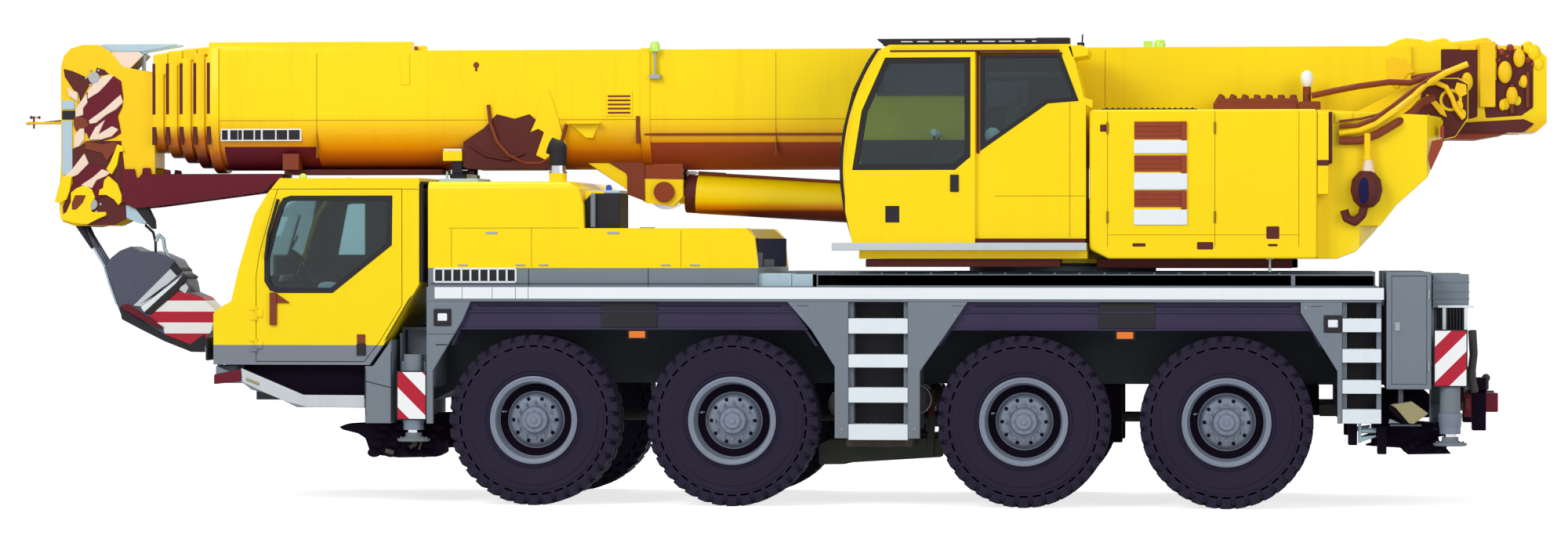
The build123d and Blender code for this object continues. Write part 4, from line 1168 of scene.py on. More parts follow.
# ---------------------------------------------------------------- carrier
@dataclass
class Carrier(Assembly):
    """The chassis, deck, side panels, mudguards, ladders and what hangs on them."""

    side_y: float = 1.33
    plinth_y: float = 1.25
    strip: Pair = (1.758, 1.857)
    strip_seams: tuple[float, ...] = (-2.73, -2.49, -2.23, -2.03, -1.92, 5.31)
    seam: float = 0.004
    guards: tuple[tuple[float, float, float, float], ...] = (
        (-2.51, -2.42, 0.296, 0.47), (1.65, 1.825, 4.6, 4.71),
    )
    ladders: tuple[tuple[float, float, Outline], ...] = (
        (0.816, 1.322, ((0.567, 0.7), (0.883, 1.01), (1.18, 1.29), (1.467, 1.595))),
        (4.962, 5.288, ((0.722, 0.84), (0.972, 1.085), (1.232, 1.345), (1.487, 1.6))),
    )
    lamps: Outline = ((-2.66, 1.598), (4.885, 1.555))

    def shells(self) -> None:
        """Finishes the frame, axles, deck, panels and mudguards."""
        self.model.finish("chassis_frame", Look.FRAME)
        self.model.finish("axle_beams", Look.CAST)
        self.model.finish("engine_block", Look.CAST)
        for name, finish in (
            ("carrier_deck", Look.GREY), ("side_panels", Look.GREY), ("mudguards", Look.DARK),
        ):
            self.model.rounded(name, finish, 0.005)
        for number in range(1, 5):
            for side, _ in SIDES:
                self.model.finish(f"steering_knuckle_{number}_{side}", Look.CAST)

    def edge_strip(self) -> None:
        """The white strip along the deck's edge, in lengths with a seam between them."""
        strip = Shape()
        low, high = self.strip
        for start, end in zip(self.strip_seams, self.strip_seams[1:]):
            strip.box(
                (start + self.seam / 2, -self.side_y - 0.01, low), (end - self.seam / 2, -self.side_y, high),
            )
        self.pair(strip, "deck_edge_strip", Look.WHITE, 0.003)

    def plinth(self) -> None:
        """The vents and seams of the plinth under the hood, and the casings on the deck."""
        slots, posts, seams = Shape(), Shape(), Shape()
        start, end, low, high = -2.745, -2.04, 1.9, 2.014
        slots.box((start, -self.plinth_y - 0.003, low), (end, -self.plinth_y + 0.002, high))
        for number in range(10):
            x = start + (end - start) * number / 9
            posts.box((x - 0.008, -self.plinth_y - 0.014, low), (x + 0.008, -self.plinth_y, high))
        for z in (low, high):
            posts.box((start, -self.plinth_y - 0.014, z - 0.008), (end, -self.plinth_y, z + 0.008))
        self.pair(slots, "plinth_slots", Look.BLACK)
        self.pair(posts, "plinth_posts", Look.WHITE, 0.002)
        for x in (-1.93, -0.9):
            seams.box((x - 0.003, -self.plinth_y - 0.002, 1.862), (x + 0.003, -self.plinth_y + 0.01, 2.016))
        seams.box((-2.78, -self.plinth_y - 0.0025, 1.884), (0.02, -self.plinth_y + 0.01, 1.89))
        self.pair(seams, "plinth_seams", Look.BLACK)
        casing = Shape().boxes(
            (-0.04, -1.2, 1.861, 0.32, -0.76, 1.975), (0.32, -1.19, 1.861, 0.5, -0.76, 1.968),
        )
        self.pair(casing, "deck_casings", Look.PALE, 0.006)
        dark = Shape().box((0.53, -1.16, 1.861), (4.55, -0.752, 1.972))
        self.pair(dark, "deck_ducts", Look.DARK, 0.012)
        grey = Shape().box((4.56, -1.16, 1.861), (5.24, -0.752, 1.97))
        self.pair(grey, "deck_duct_ends", Look.GREY, 0.012)
        bolts = Shape()
        for number in range(19):
            bolts.rod((0.66 + number * 0.21, -1.1, 1.97), (0.66 + number * 0.21, -1.1, 1.98), 0.011, 6)
        self.pair(bolts, "deck_bolts", Look.STEEL)

    def mudguard_folds(self) -> None:
        """The pressed folds, flanges and flaps of the mudguards."""
        folds, flaps = Shape(), Shape()
        face = -self.side_y + 0.05
        for low_front, top_front, top_rear, low_rear in self.guards:
            for z, share in ((1.503, 1.0), (1.65, 0.36)):
                front = top_front + (low_front - top_front) * share
                rear = top_rear + (low_rear - top_rear) * share
                folds.box((front, face - 0.016, z - 0.008), (rear, face + 0.01, z + 0.008))
            folds.box((top_front + 0.05, face - 0.01, 1.694), (top_rear - 0.05, face + 0.01, 1.7))
        flaps.boxes(
            (2.93, face - 0.01, 1.512, 3.4, face + 0.01, 1.73),
            (-1.3, face - 0.01, 1.512, -0.82, face + 0.01, 1.73),
        )
        self.pair(folds, "mudguard_folds", Look.DARK, 0.004)
        self.pair(flaps, "mudguard_joints", Look.BLACK, 0.004)
        amber = Shape().boxes(
            (-1.06, face - 0.024, 1.425, -0.92, face + 0.004, 1.485),
            (3.08, face - 0.024, 1.425, 3.22, face + 0.004, 1.485),
        )
        self.pair(amber, "side_markers", Look.AMBER, 0.008)
        holders = Shape().boxes(
            (-1.075, face, 1.415, -0.905, face + 0.02, 1.505),
            (3.065, face, 1.415, 3.235, face + 0.02, 1.505),
        )
        self.pair(holders, "side_marker_holders", Look.BLACK, 0.004)

    def steps(self) -> None:
        """The ladders: ribbed white treads between grey stringers, with a dark back."""
        treads, rails, back, slots = Shape(), Shape(), Shape(), Shape()
        out, depth, rail = self.side_y, 0.22, 0.04
        for front, rear, levels in self.ladders:
            for low, high in levels:
                treads.boxes(
                    (front + 0.002, -out - 0.004, low, rear - 0.002, -out + 0.02, high),
                    (front + 0.002, -out, high - 0.028, rear - 0.002, -out + depth, high),
                    (front + 0.002, -out, low, rear - 0.002, -out + depth, low + 0.02),
                )
                count = int((rear - front - 0.1) / 0.045)
                for number in range(count):
                    x = front + 0.06 + number * 0.045
                    slots.box((x, -out + 0.035, high - 0.002), (x + 0.02, -out + depth - 0.03, high + 0.004))
            for x in (front, rear - rail):
                rails.box((x, -out + 0.05, levels[0][0]), (x + rail, -out + depth, 1.735))
            back.box(
                (front + rail, -out + depth - 0.006, levels[0][0]),
                (rear - rail, -out + depth + 0.004, 1.735),
            )
        treads.both_sides()
        self.add(treads, "ladder_treads", Look.TREAD, 0.004, replaced=("ladders",))
        self.pair(slots, "ladder_grips", Look.STEEL)
        self.pair(rails, "ladder_rails", Look.GREY, 0.005)
        self.pair(back, "ladder_backs", Look.BLACK)

    def panel_details(self) -> None:
        """Lamps, seams, hinges, handles and the service boxes' doors on the side panels."""
        bezels, lenses, seams, metal = Shape(), Shape(), Shape(), Shape()
        y = -self.side_y
        for x, z in self.lamps:
            bezels.box((x - 0.076, y - 0.012, z - 0.073), (x + 0.076, y + 0.002, z + 0.073))
            lenses.box((x - 0.042, y - 0.018, z - 0.03), (x + 0.042, y, z + 0.036))
        for x, low, high in ((-2.72, 1.36, 1.37), (0.38, 1.7, 1.704), (1.7, 1.7, 1.704), (4.7, 1.7, 1.704)):
            seams.box((x, y - 0.0015, low), (x + 0.1, y + 0.01, high))
        seams.boxes(
            (-2.79, y - 0.0015, 1.455, -2.56, y + 0.01, 1.459),
            (5.37, y - 0.0015, 1.05, 5.374, y + 0.01, 1.96), (5.66, y - 0.0015, 1.05, 5.664, y + 0.01, 1.96),
            (5.37, y - 0.0015, 1.955, 5.66, y + 0.01, 1.96), (5.37, y - 0.0015, 1.05, 5.66, y + 0.01, 1.054),
        )
        for z in (1.2, 1.8):
            metal.rod((5.68, y - 0.006, z - 0.04), (5.68, y - 0.006, z + 0.04), 0.008, 10)
        metal.box((5.40, y - 0.008, 1.5), (5.44, y, 1.57))
        metal.rod((5.42, y - 0.014, 1.535), (5.42, y, 1.535), 0.012, 12)
        for x, z in ((0.42, 1.62), (1.72, 1.62), (0.76, 0.66), (1.38, 0.66), (4.66, 1.69), (4.94, 0.78)):
            metal.rod((x, y - 0.004, z), (x, y + 0.004, z), 0.009, 6)
        self.pair(bezels, "lamp_bezels", Look.BLACK, 0.008)
        self.pair(lenses, "lamp_lenses", Look.LENS, 0.01)
        self.pair(seams, "panel_seams", Look.BLACK)
        self.pair(metal, "panel_fittings", Look.STEEL, 0.001)

    def undergear(self) -> None:
        """Shafts, hoses, air tanks and suspension parts between the wheels and under the deck."""
        shafts, tanks, straps = Shape(), Shape(), Shape()
        axles = [sum(corner.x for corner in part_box(f"tyre_{n}_left")) / 2 for n in range(1, 5)]
        hub_z = sum(corner.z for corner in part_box("tyre_1_left")) / 2
        for first, last in zip(axles, axles[1:]):
            shafts.rod((first + 0.24, 0, hub_z), (last - 0.24, 0, hub_z), 0.045, 14)
            for x in (first + 0.28, last - 0.28):
                shafts.rod((x - 0.05, 0, hub_z), (x + 0.05, 0, hub_z), 0.085, 16)
        for x in axles:
            shafts.rod((x - 0.19, -0.72, hub_z + 0.1), (x - 0.19, 0.72, hub_z + 0.1), 0.026, 12)
            for sign in (-1, 1):
                shafts.rod(
                    (x + 0.16, sign * 0.6, hub_z), (x + 0.32, sign * 0.6, hub_z + 0.02), 0.085, 18, 0.095,
                )
        self.add(shafts, "drive_shafts", Look.CAST)
        for x, z, radius in ((0.74, 0.86, 0.12), (1.37, 0.9, 0.12)):
            tanks.turned(
                ((0.0, 0.0), (radius * 0.7, 0.015), (radius, 0.07), (radius, 0.63), (radius * 0.7, 0.685),
                 (0.0, 0.7)),
                (x, -1.14, z), "Y", 24,
            )
            straps.rod((x, -0.98, z), (x, -0.94, z), radius + 0.006, 24)
            straps.rod((x, -0.64, z), (x, -0.6, z), radius + 0.006, 24)
        tanks.box((0.78, -1.1, 0.5), (1.34, -0.45, 0.64))
        self.pair(tanks, "air_tanks", Look.CAST, 0.006)
        self.pair(straps, "tank_straps", Look.STEEL)
        self.under_rear()
        sill = (
            (0.5, 0.325), (0.72, 0.329), (0.79, 0.344), (1.56, 0.394), (1.56, 0.56), (1.34, 0.56),
            (0.59, 0.545), (0.5, 0.5),
        )
        floor = Shape().plate(sill, -0.66, -0.42).box((1.44, -0.69, 0.4), (1.5, -0.65, 0.75), 3.0)
        self.pair(floor, "underbody_sills", Look.MOSS, 0.01)
        knob = Shape().box((1.445, -0.7, 0.74), (1.5, -0.65, 0.98))
        self.pair(knob, "underbody_knobs", Look.DEEP, 0.006)

    def under_rear(self) -> None:
        """Rods, valves, brackets and the wheel chock under the deck's rear end."""
        mass = (
            (5.164, 0.524), (5.277, 0.563), (5.265, 0.652), (5.328, 0.7), (5.566, 0.7), (5.604, 0.666),
            (5.773, 0.654), (5.855, 0.629), (5.848, 0.705), (5.911, 0.705), (5.911, 0.578), (5.842, 0.578),
            (5.83, 0.61), (5.754, 0.597), (5.754, 0.552), (5.78, 0.53), (5.836, 0.538), (5.842, 0.502),
            (5.88, 0.458), (5.516, 0.45), (5.453, 0.507), (5.34, 0.513),
        )
        dark = Shape().plate(mass, -1.0, -0.7)
        dark.boxes(
            (4.92, -0.9, 0.76, 5.7, 0.0, 0.96), (5.016, -1.15, 0.533, 5.091, -0.95, 0.76),
            (5.259, -1.2, 0.46, 5.334, -0.95, 0.69), (6.03, -1.0, 0.97, 6.17, -0.85, 1.1),
            (6.055, -1.0, 0.655, 6.168, -0.8, 1.0),
        )
        # A dark plate beside the wheel chock paints its shaded side.
        dark.plate(
            ((5.361, 0.881), (5.404, 0.856), (5.516, 0.725), (5.49, 0.72), (5.4, 0.79), (5.35, 0.85)), -1.29,
            -1.13,
        )
        for number in range(8):
            dark.ball((5.5 + 0.045 * number, -1.01, 0.5 + 0.03 * (number % 3)), 0.03)
        dark.boxes((2.9, -0.5, 0.52, 3.1, -0.3, 1.0), (4.56, -0.5, 0.76, 4.78, -0.3, 1.02))
        # These dark shapes take the painted-shadow black, for their own dark colour and the deep shade under the
        # deck.
        self.pair(dark, "rear_undergear", Look.SHADOW, 0.006, slot=Slot.CAST)
        grey = Shape().box((4.78, -0.72, 0.76), (4.98, -0.45, 0.86))
        grey.tube([(6.05, -1.07, 1.5), (6.06, -1.1, 1.3), (6.04, -1.1, 1.12), (6.07, -1.08, 0.98)], 0.035)
        grey.rod((5.77, -0.98, 0.63), (5.9, -0.98, 0.63), 0.02)
        self.pair(grey, "rear_valves", Look.CAST, 0.006)
        lugs = Shape().boxes((5.98, -0.98, 0.77, 6.06, -0.85, 0.97), (6.14, -0.97, 0.81, 6.27, -0.85, 0.97))
        self.pair(lugs, "rear_lugs", Look.MAROON, 0.01, slot=Slot.CAST)
        pale = Shape().box((5.1, -1.13, 0.55), (5.125, -1.05, 0.72))
        pale.rod((5.12, -1.1, 0.655), (5.25, -1.1, 0.655), 0.024)
        pale.plate(((5.1, 0.55), (5.25, 0.6), (5.25, 0.62), (5.1, 0.6)), -1.12, -1.06)
        pale.plate(((5.35, 0.72), (5.45, 0.72), (5.36, 0.76)), -1.2, -1.1)
        self.pair(pale, "rear_brackets", Look.PALE, 0.004, slot=Slot.STEEL)
        wedge = Shape().plate(
            ((5.365, 0.88), (5.541, 0.907), (5.678, 0.807), (5.554, 0.719), (5.516, 0.725), (5.404, 0.856)),
            -1.31, -1.13,
        )
        self.add(wedge, "wheel_chock", Look.KHAKI, 0.006)
        holder = Shape().boxes((5.43, -1.28, 0.87, 5.47, -1.14, 1.02), (5.36, -1.3, 0.7, 5.62, -1.14, 0.715))
        self.add(holder, "chock_holder", Look.FRAME, 0.002)

    def rear(self) -> None:
        """Tail lamps, bumper beam, blank plate, coupling parts and underrun bar."""
        beam = Shape().box((5.985, -1.05, 1.0), (6.03, 1.05, 1.19))
        self.add(beam, "rear_beam", Look.GREY, 0.008)
        lamps, red, white = Shape(), Shape(), Shape()
        for sign in (-1, 1):
            lamps.box((6.03, sign * 0.6, 1.03), (6.05, sign * 1.02, 1.16))
            for number, group in enumerate((red, red, white)):
                y = sign * (0.66 + 0.14 * number)
                group.rod((6.045, y, 1.095), (6.062, y, 1.095), 0.05, 24)
        self.add(lamps, "tail_lamp_housings", Look.BLACK, 0.006)
        self.add(red, "tail_lamps", Look.RED, 0.004)
        self.add(white, "reversing_lamps", Look.LENS, 0.004)
        plate = Shape().box((6.032, -0.28, 1.04), (6.04, 0.28, 1.15))
        self.add(plate, "blank_plate", Look.WHITE, 0.003)
        jaw = Shape().rod((6.2, -0.09, 0.875), (6.2, -0.14, 0.875), 0.05, 20)
        jaw.rod((6.2, 0.09, 0.875), (6.2, 0.14, 0.875), 0.05, 20)
        jaw.boxes((6.06, -0.13, 0.775, 6.17, -0.08, 0.975), (6.06, 0.08, 0.775, 6.17, 0.13, 0.975))
        jaw.rod((6.215, 0, 0.97), (6.215, 0, 1.06), 0.024, 16).ball((6.215, 0, 1.07), 0.036)
        self.add(jaw, "coupling_parts", Look.CAST, 0.004)
        bar = Shape().box((5.99, -1.1, 0.83), (6.03, 1.1, 0.93))
        for y in (-0.7, 0.7):
            bar.box((5.96, y - 0.04, 0.88), (5.995, y + 0.04, 1.1))
        self.add(bar, "underrun_bar", Look.DEEP, 0.006)

    def build(self) -> None:
        """Builds the carrier."""
        self.shells()
        self.edge_strip()
        self.plinth()
        self.mudguard_folds()
        self.steps()
        self.panel_details()
        self.undergear()
        self.rear()


@dataclass
class Outriggers(Assembly):
    """The four outriggers: boxes, beams with striped plates, and jacks with pads."""

    def boxes(self) -> None:
        """Seams, ribs and grilles on the fixed boxes."""
        ribs, grille, frame = Shape(), Shape(), Shape()
        for x in (-2.93, 5.86):
            high = 1.46 if x < 0 else 1.96
            low = 1.0 if x < 0 else 1.2
            for offset in (-0.14, 0.14):
                ribs.box((x + offset - 0.012, -1.062, low), (x + offset + 0.012, -0.45, high))
        ribs.boxes((5.72, -1.12, 1.72, 6.02, -0.5, 1.97), (5.72, -1.12, 1.69, 6.02, -1.06, 1.72))
        for z in (1.76, 1.82, 1.9):
            ribs.box((5.715, -1.126, z), (6.025, -1.1, z + 0.012))
        frame.boxes(
            (5.76, -1.14, 1.69, 6.06, -1.06, 1.71), (5.8, -1.13, 1.5, 5.83, -1.07, 1.69),
            (5.98, -1.13, 1.5, 6.01, -1.07, 1.69),
        )
        for number in range(6):
            x = 5.835 + number * 0.026
            grille.box((x, -1.126, 1.51), (x + 0.012, -1.09, 1.69))
        grille.box((5.83, -1.09, 1.5), (5.98, -1.08, 1.69))
        self.pair(ribs, "outrigger_ribs", Look.GREY, 0.004)
        self.pair(frame, "grille_frames", Look.WHITE, 0.003)
        self.pair(grille, "grilles", Look.BLACK)

    def beam(self, end: str, side: str, sign: int) -> None:
        """Dresses one beam and its jack.

        Args:
            end: "front" or "rear".
            side: "left" or "right".
            sign: -1 on the left, 1 on the right.
        """
        node, jack = f"outrigger_beam_{end}_{side}", f"outrigger_jack_{end}_{side}"
        body, jack_body = self.model.body(node), self.model.body(jack)
        self.model.rounded(node, Look.GREY, 0.004)
        low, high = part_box(jack)
        x, y, z = (low.x + high.x) / 2, (low.y + high.y) / 2, low.z
        face = sign * 1.318
        wide, bottom, top = (0.12, 0.73, 1.13) if end == "front" else (0.13, 1.04, 1.5)
        plate = Shape().box(
            (x - wide, min(face, face + sign * 0.012), bottom),
            (x + wide, max(face, face + sign * 0.012), top),
        )
        self.add(
            plate, f"warning_plate_{end}_{side}", Look.WARNING if end == "front" else Look.WARNING_REAR,
            0.002, body=body,
        )
        rim = Shape()
        for at_z in (bottom, top):
            rim.box(
                (x - wide - 0.01, face - 0.008, at_z - 0.01), (x + wide + 0.01, face + 0.008, at_z + 0.01),
            )
        for edge in (-wide, wide):
            rim.box((x + edge - 0.01, face - 0.008, bottom), (x + edge + 0.01, face + 0.008, top))
        rim.box((x - 0.03, sign * 1.29 - 0.03, bottom + 0.05), (x + 0.03, sign * 1.29 + 0.03, top - 0.05))
        self.add(rim, f"warning_plate_frame_{end}_{side}", Look.BLACK, 0.002, body=body)
        cup = (
            (0.055, 0.0), (0.062, 0.0), (0.092, 0.06), (0.096, 0.13), (0.1, 0.14), (0.1, 0.17),
            (0.088, 0.175), (0.087, 0.0),
        )
        collar = Shape().turned(cup, (x, y, 0.635), "Z", 32)
        self.add(collar, f"jack_collar_{end}_{side}", Look.RIM, slot=Slot.GREY, body=body)
        rod = Shape().turned(((0.0, 0.02), (0.054, 0.02), (0.054, 0.55), (0.0, 0.55)), (x, y, z), "Z", 32)
        self.add(rod, f"jack_rod_{end}_{side}", Look.CHROME, body=jack_body, replaced=(jack,))
        profile = (
            (0.0, 0.0), (0.13, 0.0), (0.14, 0.008), (0.14, 0.022), (0.09, 0.034), (0.07, 0.045),
            (0.07, 0.075), (0.0, 0.075),
        )
        pad = Shape().turned(profile, (x, y, z), "Z", 40)
        for number in range(6):
            turn = math.tau * number / 6
            spot = (x + 0.108 * math.cos(turn), y + 0.108 * math.sin(turn))
            pad.rod((*spot, z + 0.02), (*spot, z + 0.04), 0.009, 6)
        self.add(pad, f"jack_pad_{end}_{side}", Look.GREY, body=jack_body)

    def build(self) -> None:
        """Builds the outriggers."""
        self.boxes()
        for end in ("front", "rear"):
            for side, sign in SIDES:
                self.beam(end, side, sign)


# ---------------------------------------------------------------- driver's cab and hood
@dataclass
class DriverCab(Assembly):
    """The driver's cab with its doors, windows, lamps, mirrors, bumper and inside."""

    side_y: float = 1.3
    window: Outline = (
        (-3.985, 2.64), (-3.1, 2.64), (-3.105, 2.215), (-3.62, 1.805), (-4.09, 1.805), (-4.165, 1.825),
        (-4.215, 1.905), (-4.215, 2.105), (-4.163, 2.315), (-4.085, 2.56), (-4.05, 2.62),
    )

    def shell(self) -> None:
        """Finishes the cab, its glass and its bumper."""
        self.model.rounded("driver_cab", Look.CAB, 0.014)
        self.model.finish("driver_cab_glass", Look.WINDOW)
        self.model.rounded("front_bumper", Look.GREY, 0.008)
        under = Shape().plate(
            ((-4.42, 1.188), (-3.35, 1.188), (-3.35, 0.85), (-3.85, 0.86), (-4.2, 1.0), (-4.42, 1.09)), -1.19,
            -0.9,
        )
        mass = (
            (-3.607, 0.65), (-3.542, 0.675), (-3.402, 0.683), (-3.19, 0.7), (-3.0, 0.705), (-2.82, 0.7),
            (-2.774, 0.557), (-2.692, 0.525), (-2.692, 0.429), (-2.757, 0.396), (-3.084, 0.387),
            (-3.28, 0.41), (-3.345, 0.458), (-3.378, 0.554), (-3.443, 0.594), (-3.574, 0.626),
        )
        under.plate(mass, -1.1, -0.84)
        for number in range(16):
            under.ball((-3.3 + 0.036 * number, -1.09, 0.43 + 0.075 * (number * 5 % 4)), 0.05, (1.2, 1.0, 0.8))
        # The plates, mass and lumps under the cab take the painted-shadow black, for their own dark colour and
        # the deep shade under the cab.
        self.pair(under, "cab_undergear", Look.SHADOW, 0.012)
        arms = Shape().tube(
            [
                (-3.0, -1.15, 0.7), (-2.95, -1.15, 0.64), (-2.97, -1.15, 0.56), (-2.93, -1.15, 0.51),
                (-2.98, -1.15, 0.48),
            ],
            0.018,
        )
        arms.rod((-2.87, -1.14, 0.56), (-2.9, -1.14, 0.46), 0.01)
        arms.rod((-3.19, -1.14, 0.45), (-3.12, -1.14, 0.43), 0.02)
        self.pair(arms, "cab_undergear_arms", Look.CAST)
        for side, sign in SIDES:
            door = f"cab_door_{side}"
            y = sign * self.side_y
            self.model.rounded(f"driver_cab_door_{side}", Look.CAB, 0.004)
            pane = Shape().plate(self.window, y - sign * 0.026, y - sign * 0.02)
            self.add(pane, f"door_pane_{side}", Look.WINDOW, body=door)
            seal = Shape().rim(self.window, 0.045, y - sign * 0.03, y + sign * 0.005)
            seal.box((-3.41, y - sign * 0.01, 1.27), (-3.33, y + sign * 0.012, 1.37))
            seal.tube(
                [
                    (-4.09, y + sign * 0.02, 2.61), (-4.17, y + sign * 0.035, 2.32),
                    (-4.2, y + sign * 0.02, 2.1),
                ],
                0.014,
            )
            self.add(seal, f"door_seals_{side}", Look.BLACK, 0.003, body=door)
            grips = Shape().box((-4.165, y, 1.53), (-4.105, y + sign * 0.028, 1.81))
            grips.plate(((-4.105, 1.72), (-4.105, 1.8), (-3.99, 1.72)), y, y + sign * 0.02)
            grips.box((-3.408, y - sign * 0.006, 1.372), (-3.335, y + sign * 0.01, 1.452))
            self.add(grips, f"door_grips_{side}", Look.HOSE, 0.006, body=door)

    def trim(self) -> None:
        """The seals, seams, beacons and lamps on the cab's sides."""
        y = -self.side_y
        dark = Shape().plate(
            ((-2.955, 1.76), (-2.925, 1.79), (-3.145, 1.42), (-3.175, 1.39)), y - 0.004, y + 0.01,
        )
        dark.boxes(
            (-2.868, y + 0.02, 1.9, -2.842, -1.06, 2.74), (-2.868, -1.24, 2.7, -2.842, 0.0, 2.76),
            (-4.25, y - 0.0015, 2.692, -4.1, y + 0.01, 2.697),
            (-3.01, y - 0.0015, 2.692, -2.875, y + 0.01, 2.697),
        )
        self.pair(dark, "cab_seals", Look.BLACK, 0.002)
        beacons = Shape().ball((-3.94, -1.0, 2.805), 0.034, (1.0, 1.0, 0.9))
        beacons.rod((-3.94, -1.0, 2.78), (-3.94, -1.0, 2.8), 0.03)
        self.pair(beacons, "cab_roof_beacons", Look.BEACON)
        strip = Shape().plate(
            ((-4.42, 1.16), (-3.875, 0.932), (-3.345, 0.93), (-3.345, 0.822), (-3.845, 0.827), (-4.0, 0.864),
             (-4.21, 0.948), (-4.411, 1.04)),
            y - 0.006, y + 0.04,
        )
        self.pair(strip, "bumper_strip", Look.SILVER, 0.008)
        fog = Shape().box((-4.38, y - 0.016, 1.03), (-4.25, y + 0.01, 1.058), 22.0)
        self.pair(fog, "fog_lamps", Look.KHAKI, 0.012, slot=Slot.DARK)
        side = Shape().plate(
            ((-4.655, 1.105), (-4.415, 1.152), (-4.415, 1.047), (-4.655, 1.02)), y - 0.012, y + 0.04,
        )
        self.pair(side, "side_lamps", Look.MAROON, 0.012)
        seams = Shape()
        for x, low, high in ((-3.336, 0.76, 1.16), (-3.115, 0.7, 1.3)):
            seams.box((x, y - 0.002, low), (x + 0.006, y + 0.01, high))
        seams.box((-3.335, y - 0.002, 1.02), (-3.112, y + 0.01, 1.027), 14.0)
        self.pair(seams, "corner_seams", Look.BLACK)

    def face(self) -> None:
        """The front: lamps, grille, wipers, rails and a blank plate."""
        x = -4.76
        slots, ribs, lamps, lenses, metal = Shape(), Shape(), Shape(), Shape(), Shape()
        slots.box((x - 0.004, -0.78, 1.24), (x + 0.02, 0.78, 1.4))
        for number in range(5):
            ribs.box((x - 0.014, -0.76, 1.255 + number * 0.03), (x, 0.76, 1.265 + number * 0.03))
        for middle in (-0.98, 0.98):
            lamps.box((x - 0.006, middle - 0.17, 1.22), (x + 0.02, middle + 0.17, 1.42))
            for shift in (-0.08, 0.08):
                lenses.turned(
                    ((0.0, -0.02), (0.045, -0.017), (0.064, -0.006), (0.064, 0.01), (0.0, 0.01)),
                    (x, middle + shift, 1.32), "X", 32,
                )
        for middle in (-0.5, 0.5):
            metal.tube([(-4.5, middle, 1.86), (-4.47, middle, 2.0), (-4.375, middle + 0.28, 2.3)], 0.01)
            metal.box((-4.432, middle + 0.262, 2.0), (-4.414, middle + 0.278, 2.5), 16.5)
        metal.tube(
            [(x - 0.03, -0.5, 1.46), (x - 0.045, -0.5, 1.47), (x - 0.045, 0.5, 1.47), (x - 0.03, 0.5, 1.46)],
            0.012,
        )
        metal.tube([(x + 0.05, -0.5, 1.46), (x - 0.03, -0.5, 1.46)], 0.012)
        metal.tube([(x + 0.05, 0.5, 1.46), (x - 0.03, 0.5, 1.46)], 0.012)
        self.add(slots, "cab_grille", Look.BLACK, 0.006)
        self.add(ribs, "cab_grille_ribs", Look.GREY, 0.003)
        self.add(lamps, "headlamp_housings", Look.BLACK, 0.012)
        self.add(lenses, "headlamp_lenses", Look.LENS)
        self.add(metal, "cab_wipers_and_rail", Look.BLACK)
        plate = Shape().box((-4.652, -0.26, 1.01), (-4.64, 0.26, 1.13))
        self.add(plate, "front_plate", Look.WHITE, 0.004)

    def inside(self) -> None:
        """The two seats, the dash, the wheel and the rear lining."""
        seats, rests, dark, white = Shape(), Shape(), Shape(), Shape()
        for middle in (-0.68, 0.68):
            seats.box((-3.62, middle - 0.25, 1.74), (-3.12, middle + 0.25, 1.86), 3.0)
            seats.box((-3.2, middle - 0.23, 1.8), (-3.08, middle + 0.23, 2.36), 12.0)
            rests.box((-3.1, middle - 0.13, 2.38), (-3.02, middle + 0.13, 2.55), 12.0)
            dark.box((-3.55, middle - 0.18, 1.24), (-3.2, middle + 0.18, 1.74))
        dark.plate(
            ((-4.5, 1.66), (-4.4, 1.95), (-4.2, 1.95), (-4.12, 1.78), (-4.2, 1.5), (-4.5, 1.5)), -1.2, 1.2,
        )
        dark.box((-2.93, -1.24, 1.9), (-2.915, 1.24, 2.15))
        dark.tube([(-4.15, -0.68, 1.85), (-4.0, -0.68, 1.98)], 0.03)
        dark.boxes((-4.7, 1.22, 1.6, -2.93, 1.235, 2.13), (-3.84, 1.22, 2.1, -2.93, 1.235, 2.65))
        dark.plate(((-4.42, 1.95), (-4.29, 2.68), (-3.98, 2.68), (-4.12, 1.95)), 1.22, 1.235)
        wheel = Shape().turned(hoop(0.21, 0.016, 8), ORIGIN, "Z", 36)
        wheel.box((-0.2, -0.018, -0.012), (0.2, 0.018, 0.004)).rod((0.0, 0.0, -0.05), (0.0, 0.0, 0.01), 0.05)
        dark.take(wheel.moved((-3.98, -0.68, 2.0), 52.0, "Y"))
        white.ball((-3.72, -0.98, 1.86), 0.07, (1.4, 0.5, 0.6))
        white.box((-4.16, -0.95, 1.9), (-4.14, -0.4, 1.955), 20.0)
        self.add(seats, "driver_seats", Look.SEAT, 0.05)
        self.add(rests, "driver_headrests", Look.BLUE, 0.035)
        # The lining's dark navy paints the shade inside the cab.
        self.add(dark, "cab_inside", Look.LINING, 0.01)
        self.add(white, "cab_dials", Look.WHITE, 0.006)

    def build(self) -> None:
        """Builds the whole cab."""
        self.shell()
        self.trim()
        self.face()
        self.inside()


